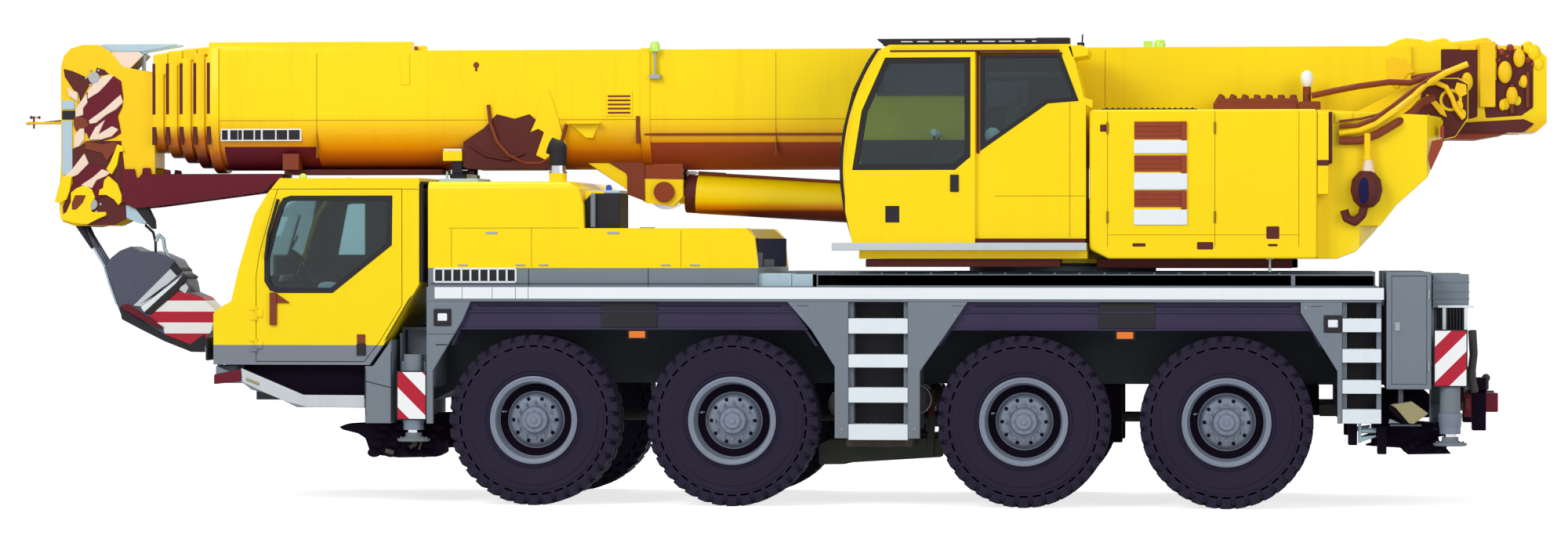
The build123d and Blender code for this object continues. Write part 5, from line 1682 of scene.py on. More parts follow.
@dataclass
class EngineHood(Assembly):
    """The hood behind the cab, the exhaust, the air filter and the boom's rest."""

    side_y: float = 1.25
    exhaust: Pair = (-1.73, -0.9)

    def panels(self) -> None:
        """Finishes the hood and draws its doors, hinges and vents."""
        self.model.rounded("engine_hood", Look.YELLOW, 0.02)
        y = -self.side_y
        seams, metal, vents = Shape(), Shape(), Shape()
        for x, low, high in ((-2.598, 2.03, 2.36), (-1.905, 2.03, 2.36), (-0.62, 2.03, 2.34)):
            seams.box((x - 0.002, y - 0.0012, low), (x + 0.002, y + 0.01, high))
        seams.box((-2.62, y - 0.0012, 2.36), (-1.5, y + 0.01, 2.364))
        for x in (-2.5, -2.0, -1.8, -0.75, -0.5):
            metal.rod((x - 0.04, y - 0.003, 2.045), (x + 0.04, y - 0.003, 2.045), 0.007, 10)
        for x in (-2.25, -1.2):
            metal.box((x - 0.05, y - 0.006, 2.31), (x + 0.05, y, 2.33))
        for number in range(9):
            vents.box((-2.55 + number * 0.09, -0.7, 2.758), (-2.5 + number * 0.09, 0.7, 2.764))
        self.pair(seams, "hood_seams", Look.SEAM)
        self.pair(metal, "hood_fittings", Look.STEEL, 0.002)
        self.add(vents, "hood_vents", Look.BLACK)

    def pipes(self) -> None:
        """The exhaust, the air filter's box and the small parts on the hood."""
        x, y = self.exhaust
        pipe = Shape().rod((x, y, 2.77), (x, y, 2.93), 0.066, 24).rod((x, y, 2.835), (x, y, 2.85), 0.078, 24)
        self.add(pipe, "exhaust_pipe", Look.CHROME)
        elbow = Shape().turned(
            [(0.076, 2.9), (0.076, 3.05), (0.062, 3.05), (0.062, 2.9)], (x, y, 0.0), "Z", 24,
        )
        elbow.ball((x, y, 3.045), 0.078).rod((x, y, 3.045), (x - 0.075, y, 3.075), 0.074, 24)
        elbow.rod((x - 0.07, y, 3.073), (x - 0.078, y, 3.076), 0.055, 24)
        self.add(elbow, "exhaust_elbow", Look.BLACK)
        box = Shape().plate(
            ((-1.46, 2.355), (-1.46, 2.6), (-1.4, 2.66), (-1.155, 2.66), (-1.155, 2.355)), -1.156, -0.644,
        )
        self.add(box, "air_box_case", Look.BLACK, 0.01)
        lid = Shape().box((-1.43, -1.14, 2.658), (-1.16, -0.66, 2.684))
        self.add(lid, "air_box_lid", Look.PALE, 0.006)
        tube = Shape().rod((-1.385, -1.18, 2.37), (-1.385, -1.18, 2.64), 0.022, 16)
        tube.ball((-1.385, -1.18, 2.64), 0.022).rod((-1.385, -1.18, 2.4), (-1.385, -1.14, 2.4), 0.012)
        tube.rod((-1.385, -1.18, 2.6), (-1.385, -1.14, 2.6), 0.012)
        tube.box((-0.98, -1.2, 2.345), (-0.86, -1.12, 2.368))
        self.add(tube, "hood_pipe", Look.GREY, 0.003)
        cap = Shape().turned(
            ((0.0, 0.05), (0.018, 0.045), (0.026, 0.03), (0.026, 0.0), (0.0, 0.0)), (-1.26, -1.1, 2.684), "Z",
            24,
        )
        self.add(cap, "filler_cap", Look.BLUE)

    def rest(self) -> None:
        """The boom's rest: its pad, the cheeks beside it and the posts that carry them."""
        pad = Shape().boxes(
            (-2.76, -0.15, 2.84, -2.64, 0.15, 2.874), (-2.745, -0.415, 2.84, -2.655, -0.375, 2.97),
            (-2.745, 0.375, 2.84, -2.655, 0.415, 2.97), (-2.76, -0.43, 2.8, -2.64, -0.25, 2.84),
            (-2.76, 0.25, 2.8, -2.64, 0.43, 2.84),
        )
        self.add(pad, "boom_rest_posts", Look.BLACK, 0.006)
        cheeks = Shape().box((-2.82, -0.44, 2.95), (-2.65, -0.36, 3.04)).both_sides()
        self.add(cheeks, "boom_rest_cheeks", Look.YELLOW, 0.008)
        pads = Shape().box((-2.815, -0.438, 3.04), (-2.655, -0.362, 3.058)).both_sides()
        self.add(pads, "boom_rest_pads", Look.WHITE, 0.004)
        flat = Shape().box((-2.76, -0.95, 2.758), (-2.42, -0.3, 2.79))
        flat.rod((-2.77, -0.5, 2.76), (-2.77, -0.5, 2.86), 0.01)
        self.add(flat, "hood_tray", Look.PALE, 0.006)
        self.add(self.curved(2.796, 2.799, -1.17, 1.17, 2.275), "hood_rear_lining", Look.NAVY)
        posts = self.curved(2.789, 2.796, 0.5, 0.69, 2.15).take(self.curved(2.789, 2.796, 0.72, 0.94, 2.09))
        self.add(posts, "hood_rear_posts", Look.GREY)

    def curved(self, near: float, far: float, first: float, last: float, top: float) -> Shape:
        """A curved plate that follows the hood's hollow rear end.

        Args:
            near: Its inner radius about the slewing axis.
            far: Its outer radius.
            first: The y of one end.
            last: The y of the other end.
            top: Its upper edge's height.

        Returns:
            A new shape that holds the plate.
        """
        turns = [math.asin((first + (last - first) * step / 24) / far) for step in range(25)]
        inside = [(SLEW_X - near * math.cos(turn), near * math.sin(turn)) for turn in turns]
        outside = [(SLEW_X - far * math.cos(turn), far * math.sin(turn)) for turn in reversed(turns)]
        return Shape().plate(inside + outside, 2.024, top, "Z")

    def build(self) -> None:
        """Builds the hood and all that stands on it."""
        self.panels()
        self.pipes()
        self.rest()


# ---------------------------------------------------------------- superstructure
@dataclass
class Superstructure(Assembly):
    """The slewing platform, the counterweight, the machinery houses and what is on them."""

    body: str = "superstructure"
    side_y: float = 1.3
    louvre: Pair = (3.226, 3.666)
    drum: Pair = (5.1, 2.62)

    def shells(self) -> None:
        """Finishes the platform, the counterweight and the houses, with dark boxes that paint the shade under the
        platform.
        """
        self.model.rounded("slewing_platform", Look.YELLOW, 0.01)
        self.model.rounded("counterweight", Look.YELLOW, 0.03)
        self.model.rounded("machinery_house", Look.YELLOW, 0.025)
        # Dark boxes under the platform paint the shade beneath the house.
        under = Shape().boxes(
            (2.9, -1.0, 2.02, 4.55, -0.3, 2.098), (2.75, -0.3, 2.02, 4.6, 0.3, 2.098),
            (0.95, -1.18, 2.03, 2.6, -0.62, 2.098),
        )
        under.both_sides()
        self.add(under, "platform_underside_shade", Look.DEEP, 0.01)
        ring = Shape().turned(
            ((0.8, 2.035), (0.835, 2.035), (0.835, 2.055), (0.8, 2.055)), (SLEW_X, 0.0, 0.0), "Z", 64,
        )
        bolts = Shape().rod((SLEW_X + 0.818, 0.0, 2.03), (SLEW_X + 0.818, 0.0, 2.062), 0.016, 6)
        bolts.ring(36, (SLEW_X, 0.0, 2.0), "Z")
        self.add(ring.take(bolts), "slewing_ring_bolts", Look.CAST)
        pin = Shape().rod((4.36, -1.16, 1.99), (4.36, -1.16, 2.1), 0.012, 12)
        pin.box((4.33, -1.19, 2.094), (4.39, -1.13, 2.1))
        self.add(pin, "slewing_lock_pin", Look.STEEL)

    def house(self) -> None:
        """The louvre, the openings, the seams and the corner covers of the houses, with dark strips that paint
        the shade at the corner.
        """
        y = -self.side_y
        front, rear = self.louvre
        brown, white, dark, seams = Shape(), Shape(), Shape(), Shape()
        for top, bottom in ((3.255, 3.105), (2.97, 2.832), (2.674, 2.534)):
            brown.box((front, y - 0.004, bottom), (rear, y + 0.02, top))
            for number in range(3):
                z = bottom + 0.03 + number * 0.04
                brown.box((front + 0.01, y - 0.014, z), (rear - 0.06, y, z + 0.014))
            brown.box((rear - 0.045, y - 0.018, bottom - 0.02), (rear, y, top))
        for top, bottom in ((3.099, 2.984), (2.822, 2.68), (2.517, 2.384)):
            white.box((front - 0.004, y - 0.02, bottom), (rear + 0.006, y + 0.01, top))
        for x, z, width, height in (
            (3.267, 2.217, 0.12, 0.038), (3.82, 2.21, 0.145, 0.072), (4.385, 2.32, 0.118, 0.115),
            (4.385, 2.215, 0.09, 0.03), (2.97, 3.2, 0.07, 0.07),
        ):
            dark.box((x - width / 2, y - 0.003, z - height / 2), (x + width / 2, y + 0.02, z + height / 2))
        for x in (3.0, 3.9, 4.6):
            seams.box((x, y - 0.0012, 2.2), (x + 0.004, y + 0.01, 3.34))
        seams.box((3.0, y - 0.0012, 2.3), (4.6, y + 0.01, 2.3035))
        for x in (3.0, 3.9):
            for z in (2.45, 3.2):
                seams.rod((x + 0.002, y - 0.006, z - 0.05), (x + 0.002, y - 0.006, z + 0.05), 0.009, 10)
        self.pair(brown, "house_louvres", Look.BROWN, 0.003)
        self.pair(white, "house_slats", Look.WHITE, 0.01)
        self.pair(dark, "house_openings", Look.DEEP, 0.012)
        self.pair(seams, "house_seams", Look.SEAM)
        covers = Shape().boxes(
            (4.757, -1.29, 2.64, 4.85, -1.132, 3.33), (4.9, -1.146, 3.24, 5.05, -1.128, 3.33),
        )
        self.pair(covers, "house_corner_covers", Look.YELLOW, 0.012)
        # Dark strips at the corner paint the shade in the step between the house and the counterweight.
        shade = Shape().boxes(
            (4.852, -1.26, 2.9, 4.88, -1.13, 3.335), (4.757, -1.296, 2.88, 4.85, -1.14, 2.93),
        )
        self.pair(shade, "house_corner_shade_strips", Look.DEEP, 0.008)
        grille = Shape().box((2.95, -1.15, 3.356), (3.75, -0.65, 3.368))
        for number in range(16):
            grille.box((2.98 + number * 0.048, -1.13, 3.366), (3.0 + number * 0.048, -0.67, 3.376))
        self.pair(grille, "house_roof_grilles", Look.BLACK)
        edge = ((5.812, 3.11), (5.798, 3.05), (5.738, 2.92), (5.7, 2.84), (5.68, 2.95), (5.71, 3.09))
        self.pair(Shape().plate(edge, -1.136, -1.12), "tail_edges", Look.BROWN, 0.003)
        self.pair(Shape().box((5.79, -0.95, 3.12), (5.818, -0.8, 3.22)), "slewing_lamps", Look.RED, 0.01)

    def foot_gear(self) -> None:
        """The dark plates, valves and pipes outside the plates that carry the boom's foot."""
        y = -0.545
        cover = (
            (5.66, 3.63), (5.95, 3.63), (6.032, 3.585), (6.032, 3.3), (5.93, 3.145), (5.83, 3.12),
            (5.64, 3.11), (5.65, 3.235), (5.56, 3.334), (5.63, 3.42),
        )
        dark = Shape().plate(cover, y - 0.012, y + 0.002)
        dark.rod((5.89, y - 0.03, 3.45), (5.89, y, 3.45), 0.07, 24)
        self.pair(dark, "foot_plates", Look.DEEP, 0.004)
        gold = Shape().tube(
            [
                (5.68, -0.6, 3.585), (5.76, -0.6, 3.6), (5.85, -0.6, 3.56), (5.9, -0.6, 3.47),
                (5.93, -0.6, 3.38), (6.0, -0.6, 3.29),
            ],
            0.022,
        )
        gold.plate(
            ((5.68, 3.5), (5.72, 3.49), (5.83, 3.38), (5.86, 3.3), (5.8, 3.33), (5.72, 3.43)), -0.58, -0.555,
        )
        gold.plate(((5.94, 3.6), (6.02, 3.58), (6.025, 3.5), (5.97, 3.47), (5.92, 3.53)), -0.58, -0.555)
        for x, z, size in (
            (5.74, 3.2, 0.03), (5.8, 3.26, 0.025), (5.96, 3.4, 0.035), (5.99, 3.33, 0.03), (5.7, 3.3, 0.02),
        ):
            gold.ball((x, -0.57, z), size, (1.0, 0.6, 1.4))
        self.pair(gold, "foot_valves", Look.HEAD, 0.006)
        pipes = Shape().tube(
            [
                (4.94, -1.18, 3.213), (5.09, -1.19, 3.22), (5.232, -1.19, 3.276), (5.39, -1.1, 3.39),
                (5.54, -0.85, 3.51), (5.71, -0.66, 3.63),
            ],
            0.018,
        )
        pipes.tube(
            [
                (4.94, -1.17, 3.092), (5.105, -1.18, 3.092), (5.261, -1.18, 3.148), (5.416, -1.16, 3.24),
                (5.56, -0.95, 3.34), (5.63, -0.7, 3.42), (5.74, -0.62, 3.47),
            ],
            0.034,
        )
        pipes.tube(
            [(4.94, -1.17, 3.256), (5.12, -1.17, 3.277), (5.262, -1.17, 3.312), (5.33, -1.1, 3.35)], 0.01,
        )
        pipes.tube(
            [
                (4.714, -0.66, 3.488), (4.915, -0.66, 3.531), (5.102, -0.66, 3.566), (5.374, -0.66, 3.602),
                (5.546, -0.66, 3.594), (5.66, -0.64, 3.637), (5.774, -0.62, 3.67), (5.9, -0.6, 3.7),
            ],
            0.026,
        )
        self.pair(pipes, "foot_lines", Look.HOSE)
        tube = Shape().tube(
            [
                (4.94, -1.17, 3.156), (5.105, -1.19, 3.177), (5.246, -1.19, 3.234), (5.416, -1.15, 3.347),
                (5.55, -0.95, 3.455), (5.67, -0.7, 3.575), (5.846, -0.64, 3.679), (6.03, -0.61, 3.755),
            ],
            0.026,
        )
        self.pair(tube, "foot_pipes", Look.HEAD)

    def winch(self) -> None:
        """The winch between the tail plates, with its rope, and the bottles and pipes on the roof."""
        x, z = self.drum
        drum = Shape().turned(
            ((0.05, -0.36), (0.3, -0.36), (0.3, -0.33), (0.19, -0.33), (0.19, 0.33), (0.3, 0.33), (0.3, 0.36),
             (0.05, 0.36)),
            (x, 0.0, z), "Y", 40,
        )
        self.add(drum, "winch_drum", Look.HOSE, slot=Slot.CAST)
        rope = Shape()
        for number in range(26):
            rope.turned(hoop(0.2, 0.012, 6), (x, -0.31 + number * 0.0248, z), "Y", 28)
        self.add(rope, "winch_rope", Look.CAST)
        axle = Shape().rod((x, -0.5, z), (x, 0.5, z), 0.07, 24)
        axle.rod((x, -0.5, z), (x, -0.4, z), 0.2, 32)
        self.add(axle, "winch_axle", Look.DARK, 0.006, slot=Slot.CAST)
        pile = Shape().boxes((3.88, -0.64, 3.354, 4.62, -0.56, 3.43), (3.93, -0.63, 3.42, 4.6, -0.57, 3.47))
        for number in range(7):
            pile.rod((3.9 + number * 0.11, -0.6, 3.4), (3.96 + number * 0.1, -0.6, 3.5), 0.03, 12)
        pile.box((4.6, -0.68, 3.354), (4.79, -0.56, 3.44))
        pile.rod((4.675, -0.6, 3.42), (4.675, -0.6, 3.57), 0.035, 16)
        self.add(pile, "roof_valves", Look.HOSE, 0.012)
        self.add(Shape().ball((4.675, -0.6, 3.63), 0.055, (1.0, 1.0, 1.4)), "roof_bottle", Look.WHITE)

    def hanging_hook(self) -> None:
        """The spare hook: its ball, rope socket and hook, hung on the counterweight's side."""
        strap = Shape().box((5.145, -1.22, 2.93), (5.2, -1.17, 3.155)).ball((5.172, -1.195, 2.94), 0.04)
        self.add(strap, "spare_hook_strap", Look.HEAD, 0.014, slot=Slot.STEEL)
        neck = Shape().turned(
            ((0.0, 0.0), (0.08, 0.0), (0.05, 0.08), (0.035, 0.17), (0.0, 0.17)), (5.18, -1.2, 2.76), "Z", 20,
        )
        self.add(neck, "spare_hook_neck", Look.CREAM, slot=Slot.STEEL)
        profile = (
            (0.0, 0.17), (0.06, 0.16), (0.12, 0.09), (0.135, 0.0), (0.11, -0.09), (0.06, -0.14), (0.0, -0.15),
        )
        ball = Shape().turned(profile, (5.165, -1.2, 2.675), "Z", 32)
        ball.tube(
            [
                (5.15, -1.21, 2.56), (5.13, -1.21, 2.47), (5.07, -1.21, 2.41), (5.0, -1.21, 2.44),
                (4.98, -1.21, 2.51),
            ],
            0.036, 12,
        )
        self.add(ball, "spare_hook_ball", Look.DEEP, slot=Slot.CAST)
        latch = Shape().ball((5.14, -1.325, 2.67), 0.06, (0.75, 0.3, 1.9))
        self.add(latch, "spare_hook_latch", Look.NAVY, slot=Slot.HOOK)

    def build(self) -> None:
        """Builds the whole superstructure."""
        self.shells()
        self.house()
        self.foot_gear()
        self.winch()
        self.hanging_hook()


@dataclass
class OperatorCab(Assembly):
    """The operator's cab with its door, windows, ledge, rails and seat."""

    body: str = "superstructure"
    door: str = "operator_door"
    side_y: float = 1.3
    door_y: float = 1.34
    door_window: Outline = ((0.85, 2.85), (0.93, 3.35), (1.13, 3.8), (1.85, 3.8), (1.85, 2.96), (1.72, 2.85))
    rear_window: Outline = ((1.93, 3.01), (1.93, 3.83), (2.61, 3.83), (2.76, 3.43), (2.5, 3.41))
    arc: Outline = (
        (0.87, 2.27), (0.805, 2.5), (0.772, 2.75), (0.77, 2.95), (0.8, 3.2), (0.88, 3.52), (1.0, 3.76),
        (1.07, 3.86),
    )

    def shell(self) -> None:
        """Finishes the cab and its glass, with the door's pane and the seals of both side windows."""
        self.model.rounded("operator_cab", Look.YELLOW, 0.008)
        self.model.rounded("operator_cab_door", Look.YELLOW, 0.004)
        self.model.finish("operator_cab_glass", Look.WINDOW)
        y, out = -self.side_y, -self.door_y
        pane = Shape().plate(self.door_window, out + 0.014, out + 0.02)
        self.add(pane, "operator_door_pane", Look.WINDOW, body=self.door)
        seal = Shape().rim(self.door_window, 0.05, out + 0.008, out + 0.03)
        seal.boxes(
            (1.68, out - 0.012, 2.665, 1.752, out + 0.01, 2.81),
            (1.131, out - 0.004, 2.406, 1.25, out + 0.01, 2.547),
        )
        self.add(seal, "operator_door_seals", Look.BLACK, 0.004, body=self.door)
        frame = Shape().rim(self.rear_window, 0.035, y - 0.006, y + 0.03)
        for first, last in zip(self.arc, self.arc[1:]):
            frame.rod((first[0] - 0.012, y + 0.03, first[1]), (last[0] - 0.012, y + 0.03, last[1]), 0.022, 10)
            frame.rod((first[0] - 0.012, -0.6, first[1]), (last[0] - 0.012, -0.6, last[1]), 0.022, 10)
        frame.boxes((0.84, y + 0.02, 2.25, 0.9, -0.6, 2.3), (1.04, y + 0.02, 3.84, 1.09, -0.6, 3.88))
        self.add(frame, "operator_cab_frames", Look.BLACK, 0.004)
        maroon = Shape().boxes(
            (1.9, y - 0.012, 2.99, 1.925, y + 0.01, 3.86), (1.17, y - 0.045, 3.846, 2.6, y - 0.002, 3.862),
            (1.925, y - 0.008, 3.815, 2.62, y + 0.01, 3.84), (0.9, y - 0.02, 2.232, 2.815, y + 0.3, 2.268),
        )
        self.add(maroon, "operator_cab_rails", Look.DEEP, 0.003)
        seams = Shape().boxes(
            (2.684, y - 0.0015, 2.28, 2.688, y + 0.01, 3.42),
            (2.05, y - 0.0015, 2.628, 2.815, y + 0.01, 2.632),
        )
        self.add(seams, "operator_cab_seams", Look.SEAM)

    def outside(self) -> None:
        """The ledge, the roof's rail and lamp, the visor, the wiper and the grab rail."""
        y = -self.side_y
        ledge = Shape().plate(
            ((0.682, -1.39), (2.83, -1.39), (2.83, -1.3), (0.74, -1.3), (0.682, -1.34)), 2.17, 2.236, "Z",
        )
        self.add(ledge, "operator_cab_ledge", Look.SILVER, 0.008, slot=Slot.WHITE)
        rail = Shape().boxes((1.06, -1.2, 3.945, 2.4, -1.16, 3.965), (2.4, -1.22, 3.912, 2.68, -1.0, 3.968))
        for x in (1.1, 1.7, 2.3):
            rail.box((x, -1.19, 3.905), (x + 0.06, -1.17, 3.95))
        rail.plate(((1.05, 3.96), (1.06, 3.965), (1.25, 3.945), (1.2, 3.91), (1.12, 3.9)), -1.22, -1.15)
        for number in range(8):
            rail.box((1.2 + number * 0.14, -1.16, 3.945), (1.22 + number * 0.14, -0.66, 3.96))
        rail.box((1.06, -0.68, 3.93), (2.4, -0.65, 3.96)).rod((2.78, -1.1, 3.9), (2.785, -1.1, 4.0), 0.007, 8)
        rail.box((2.74, -1.13, 3.9), (2.8, -1.07, 3.93))
        rail.tube([(0.8, -1.0, 2.5), (0.76, -0.95, 2.62), (0.755, -0.9, 3.2)], 0.01)
        self.add(rail, "operator_cab_roof_guard", Look.BLACK, 0.004)
        visor = Shape().plate(((2.66, 3.9), (2.7, 3.79), (2.835, 3.81), (2.85, 3.868), (2.78, 3.9)), y, -0.6)
        visor.plate(((2.8, 3.458), (2.88, 3.436), (2.875, 3.364), (2.81, 3.4)), y, y + 0.08)
        self.add(visor, "operator_cab_visor", Look.YELLOW, 0.01)
        lamp = Shape().turned(
            ((0.0, 0.09), (0.035, 0.085), (0.05, 0.05), (0.05, 0.0), (0.0, 0.0)), (3.42, -0.35, 3.9), "Z", 24,
        )
        lamp.box((3.28, -0.38, 3.9), (3.36, -0.3, 3.975))
        self.add(lamp, "rear_beacon", Look.BEACON, 0.006, body="boom")

    def inside(self) -> None:
        """The seat, the consoles with their levers and the dark lining."""
        seat = Shape().box((1.75, -1.1, 2.74), (2.22, -0.72, 2.86), 3.0)
        seat.box((2.1, -1.08, 2.84), (2.22, -0.74, 3.4), 10.0)
        seat.box((2.18, -1.0, 3.4), (2.26, -0.82, 3.58), 8.0)
        self.add(seat, "operator_seat", Look.SEAT, 0.04)
        dark = Shape().box((1.8, -1.05, 2.32), (2.15, -0.78, 2.74))
        dark.box((1.5, -1.22, 2.8), (2.05, -1.12, 2.98), 6.0).box((1.5, -0.72, 2.8), (2.05, -0.63, 2.98), 6.0)
        dark.box((0.92, -1.2, 2.3), (1.3, -0.65, 2.62))
        dark.plate(((0.88, 2.62), (1.02, 2.95), (1.12, 2.95), (1.2, 2.62)), -1.0, -0.8)
        dark.box((0.9, -1.28, 2.28), (2.8, -0.6, 2.31)).rod((1.56, -1.17, 2.96), (1.53, -1.17, 3.14), 0.012)
        dark.rod((1.56, -0.68, 2.96), (1.53, -0.68, 3.14), 0.012)
        dark.boxes(
            (2.74, -1.26, 2.3, 2.77, -0.62, 3.3), (0.86, -0.64, 2.3, 2.7, -0.62, 3.12),
            (1.86, -0.64, 3.1, 2.7, -0.62, 3.86), (0.95, -0.64, 3.78, 1.9, -0.62, 3.86),
            (0.97, -0.9, 3.52, 1.06, -0.64, 3.64),
        )
        blind = Shape().box((1.0, -0.645, 3.5), (1.86, -0.625, 3.8))
        for number in range(3):
            blind.box((1.02, -0.66, 3.54 + number * 0.09), (1.84, -0.64, 3.56 + number * 0.09))
        blind.box((1.95, -0.66, 3.66), (2.6, -0.64, 3.7)).box((1.95, -0.66, 3.4), (2.3, -0.64, 3.62))
        self.add(blind, "operator_cab_blind", Look.HOOK, 0.004, slot=Slot.DARK)
        # The lining's dark navy paints the shade inside the operator's cab.
        self.add(dark, "operator_cab_inside", Look.LINING, 0.012)
        knobs = Shape().ball((1.53, -1.17, 3.17), 0.03).ball((1.53, -0.68, 3.17), 0.03)
        knobs.ball((2.03, -1.2, 3.14), 0.07, (1.0, 0.35, 1.0))
        self.add(knobs, "operator_cab_knobs", Look.WHITE)

    def build(self) -> None:
        """Builds the whole cab."""
        self.shell()
        self.outside()
        self.inside()


@dataclass
class LuffingCylinder(Assembly):
    """The cylinder that raises the boom."""

    body: str = "luffing_barrel_body"
    foot: Point = (3.35, 0.0, 2.42)
    eye: Point = (-0.9, 0.0, 2.68)
    barrel: float = 4.08

    def build(self) -> None:
        """Finishes the barrel and the rod, and adds the barrel's tube, the gland, the pipe and the vent."""
        self.model.rounded("luffing_barrel", Look.BOOM_BARREL, 0.008)
        self.model.finish("luffing_rod", Look.CHROME)
        foot = Vector(self.foot)
        along = (Vector(self.eye) - foot).normalized()
        nose = foot + along * self.barrel
        tube = Shape().rod(tuple(foot + along * 0.4), tuple(nose - along * 0.09), 0.17, 48)
        self.add(tube, "luffing_barrel_tube", Look.BOOM_BARREL, 0.01)
        gland = Shape().rod(tuple(nose - along * 0.1), tuple(nose + along * 0.004), 0.168, 32)
        self.add(gland, "luffing_gland", Look.DEEP, 0.012, slot=Slot.CAST)
        up = Vector((0.0, -0.02, 0.182))
        pipe = Shape().rod(tuple(foot + along * 1.5 + up), tuple(nose - along * 0.1 + up), 0.014)
        pipe.rod(tuple(nose - along * 0.34 + up), tuple(nose - along * 0.1 + up), 0.02, 10)
        self.add(pipe, "luffing_pipe", Look.HOSE)
        knob = Shape().ball(tuple(nose - along * 0.04 + up), 0.028, (2.0, 1.0, 0.6))
        self.add(knob, "luffing_vent", Look.WHITE)


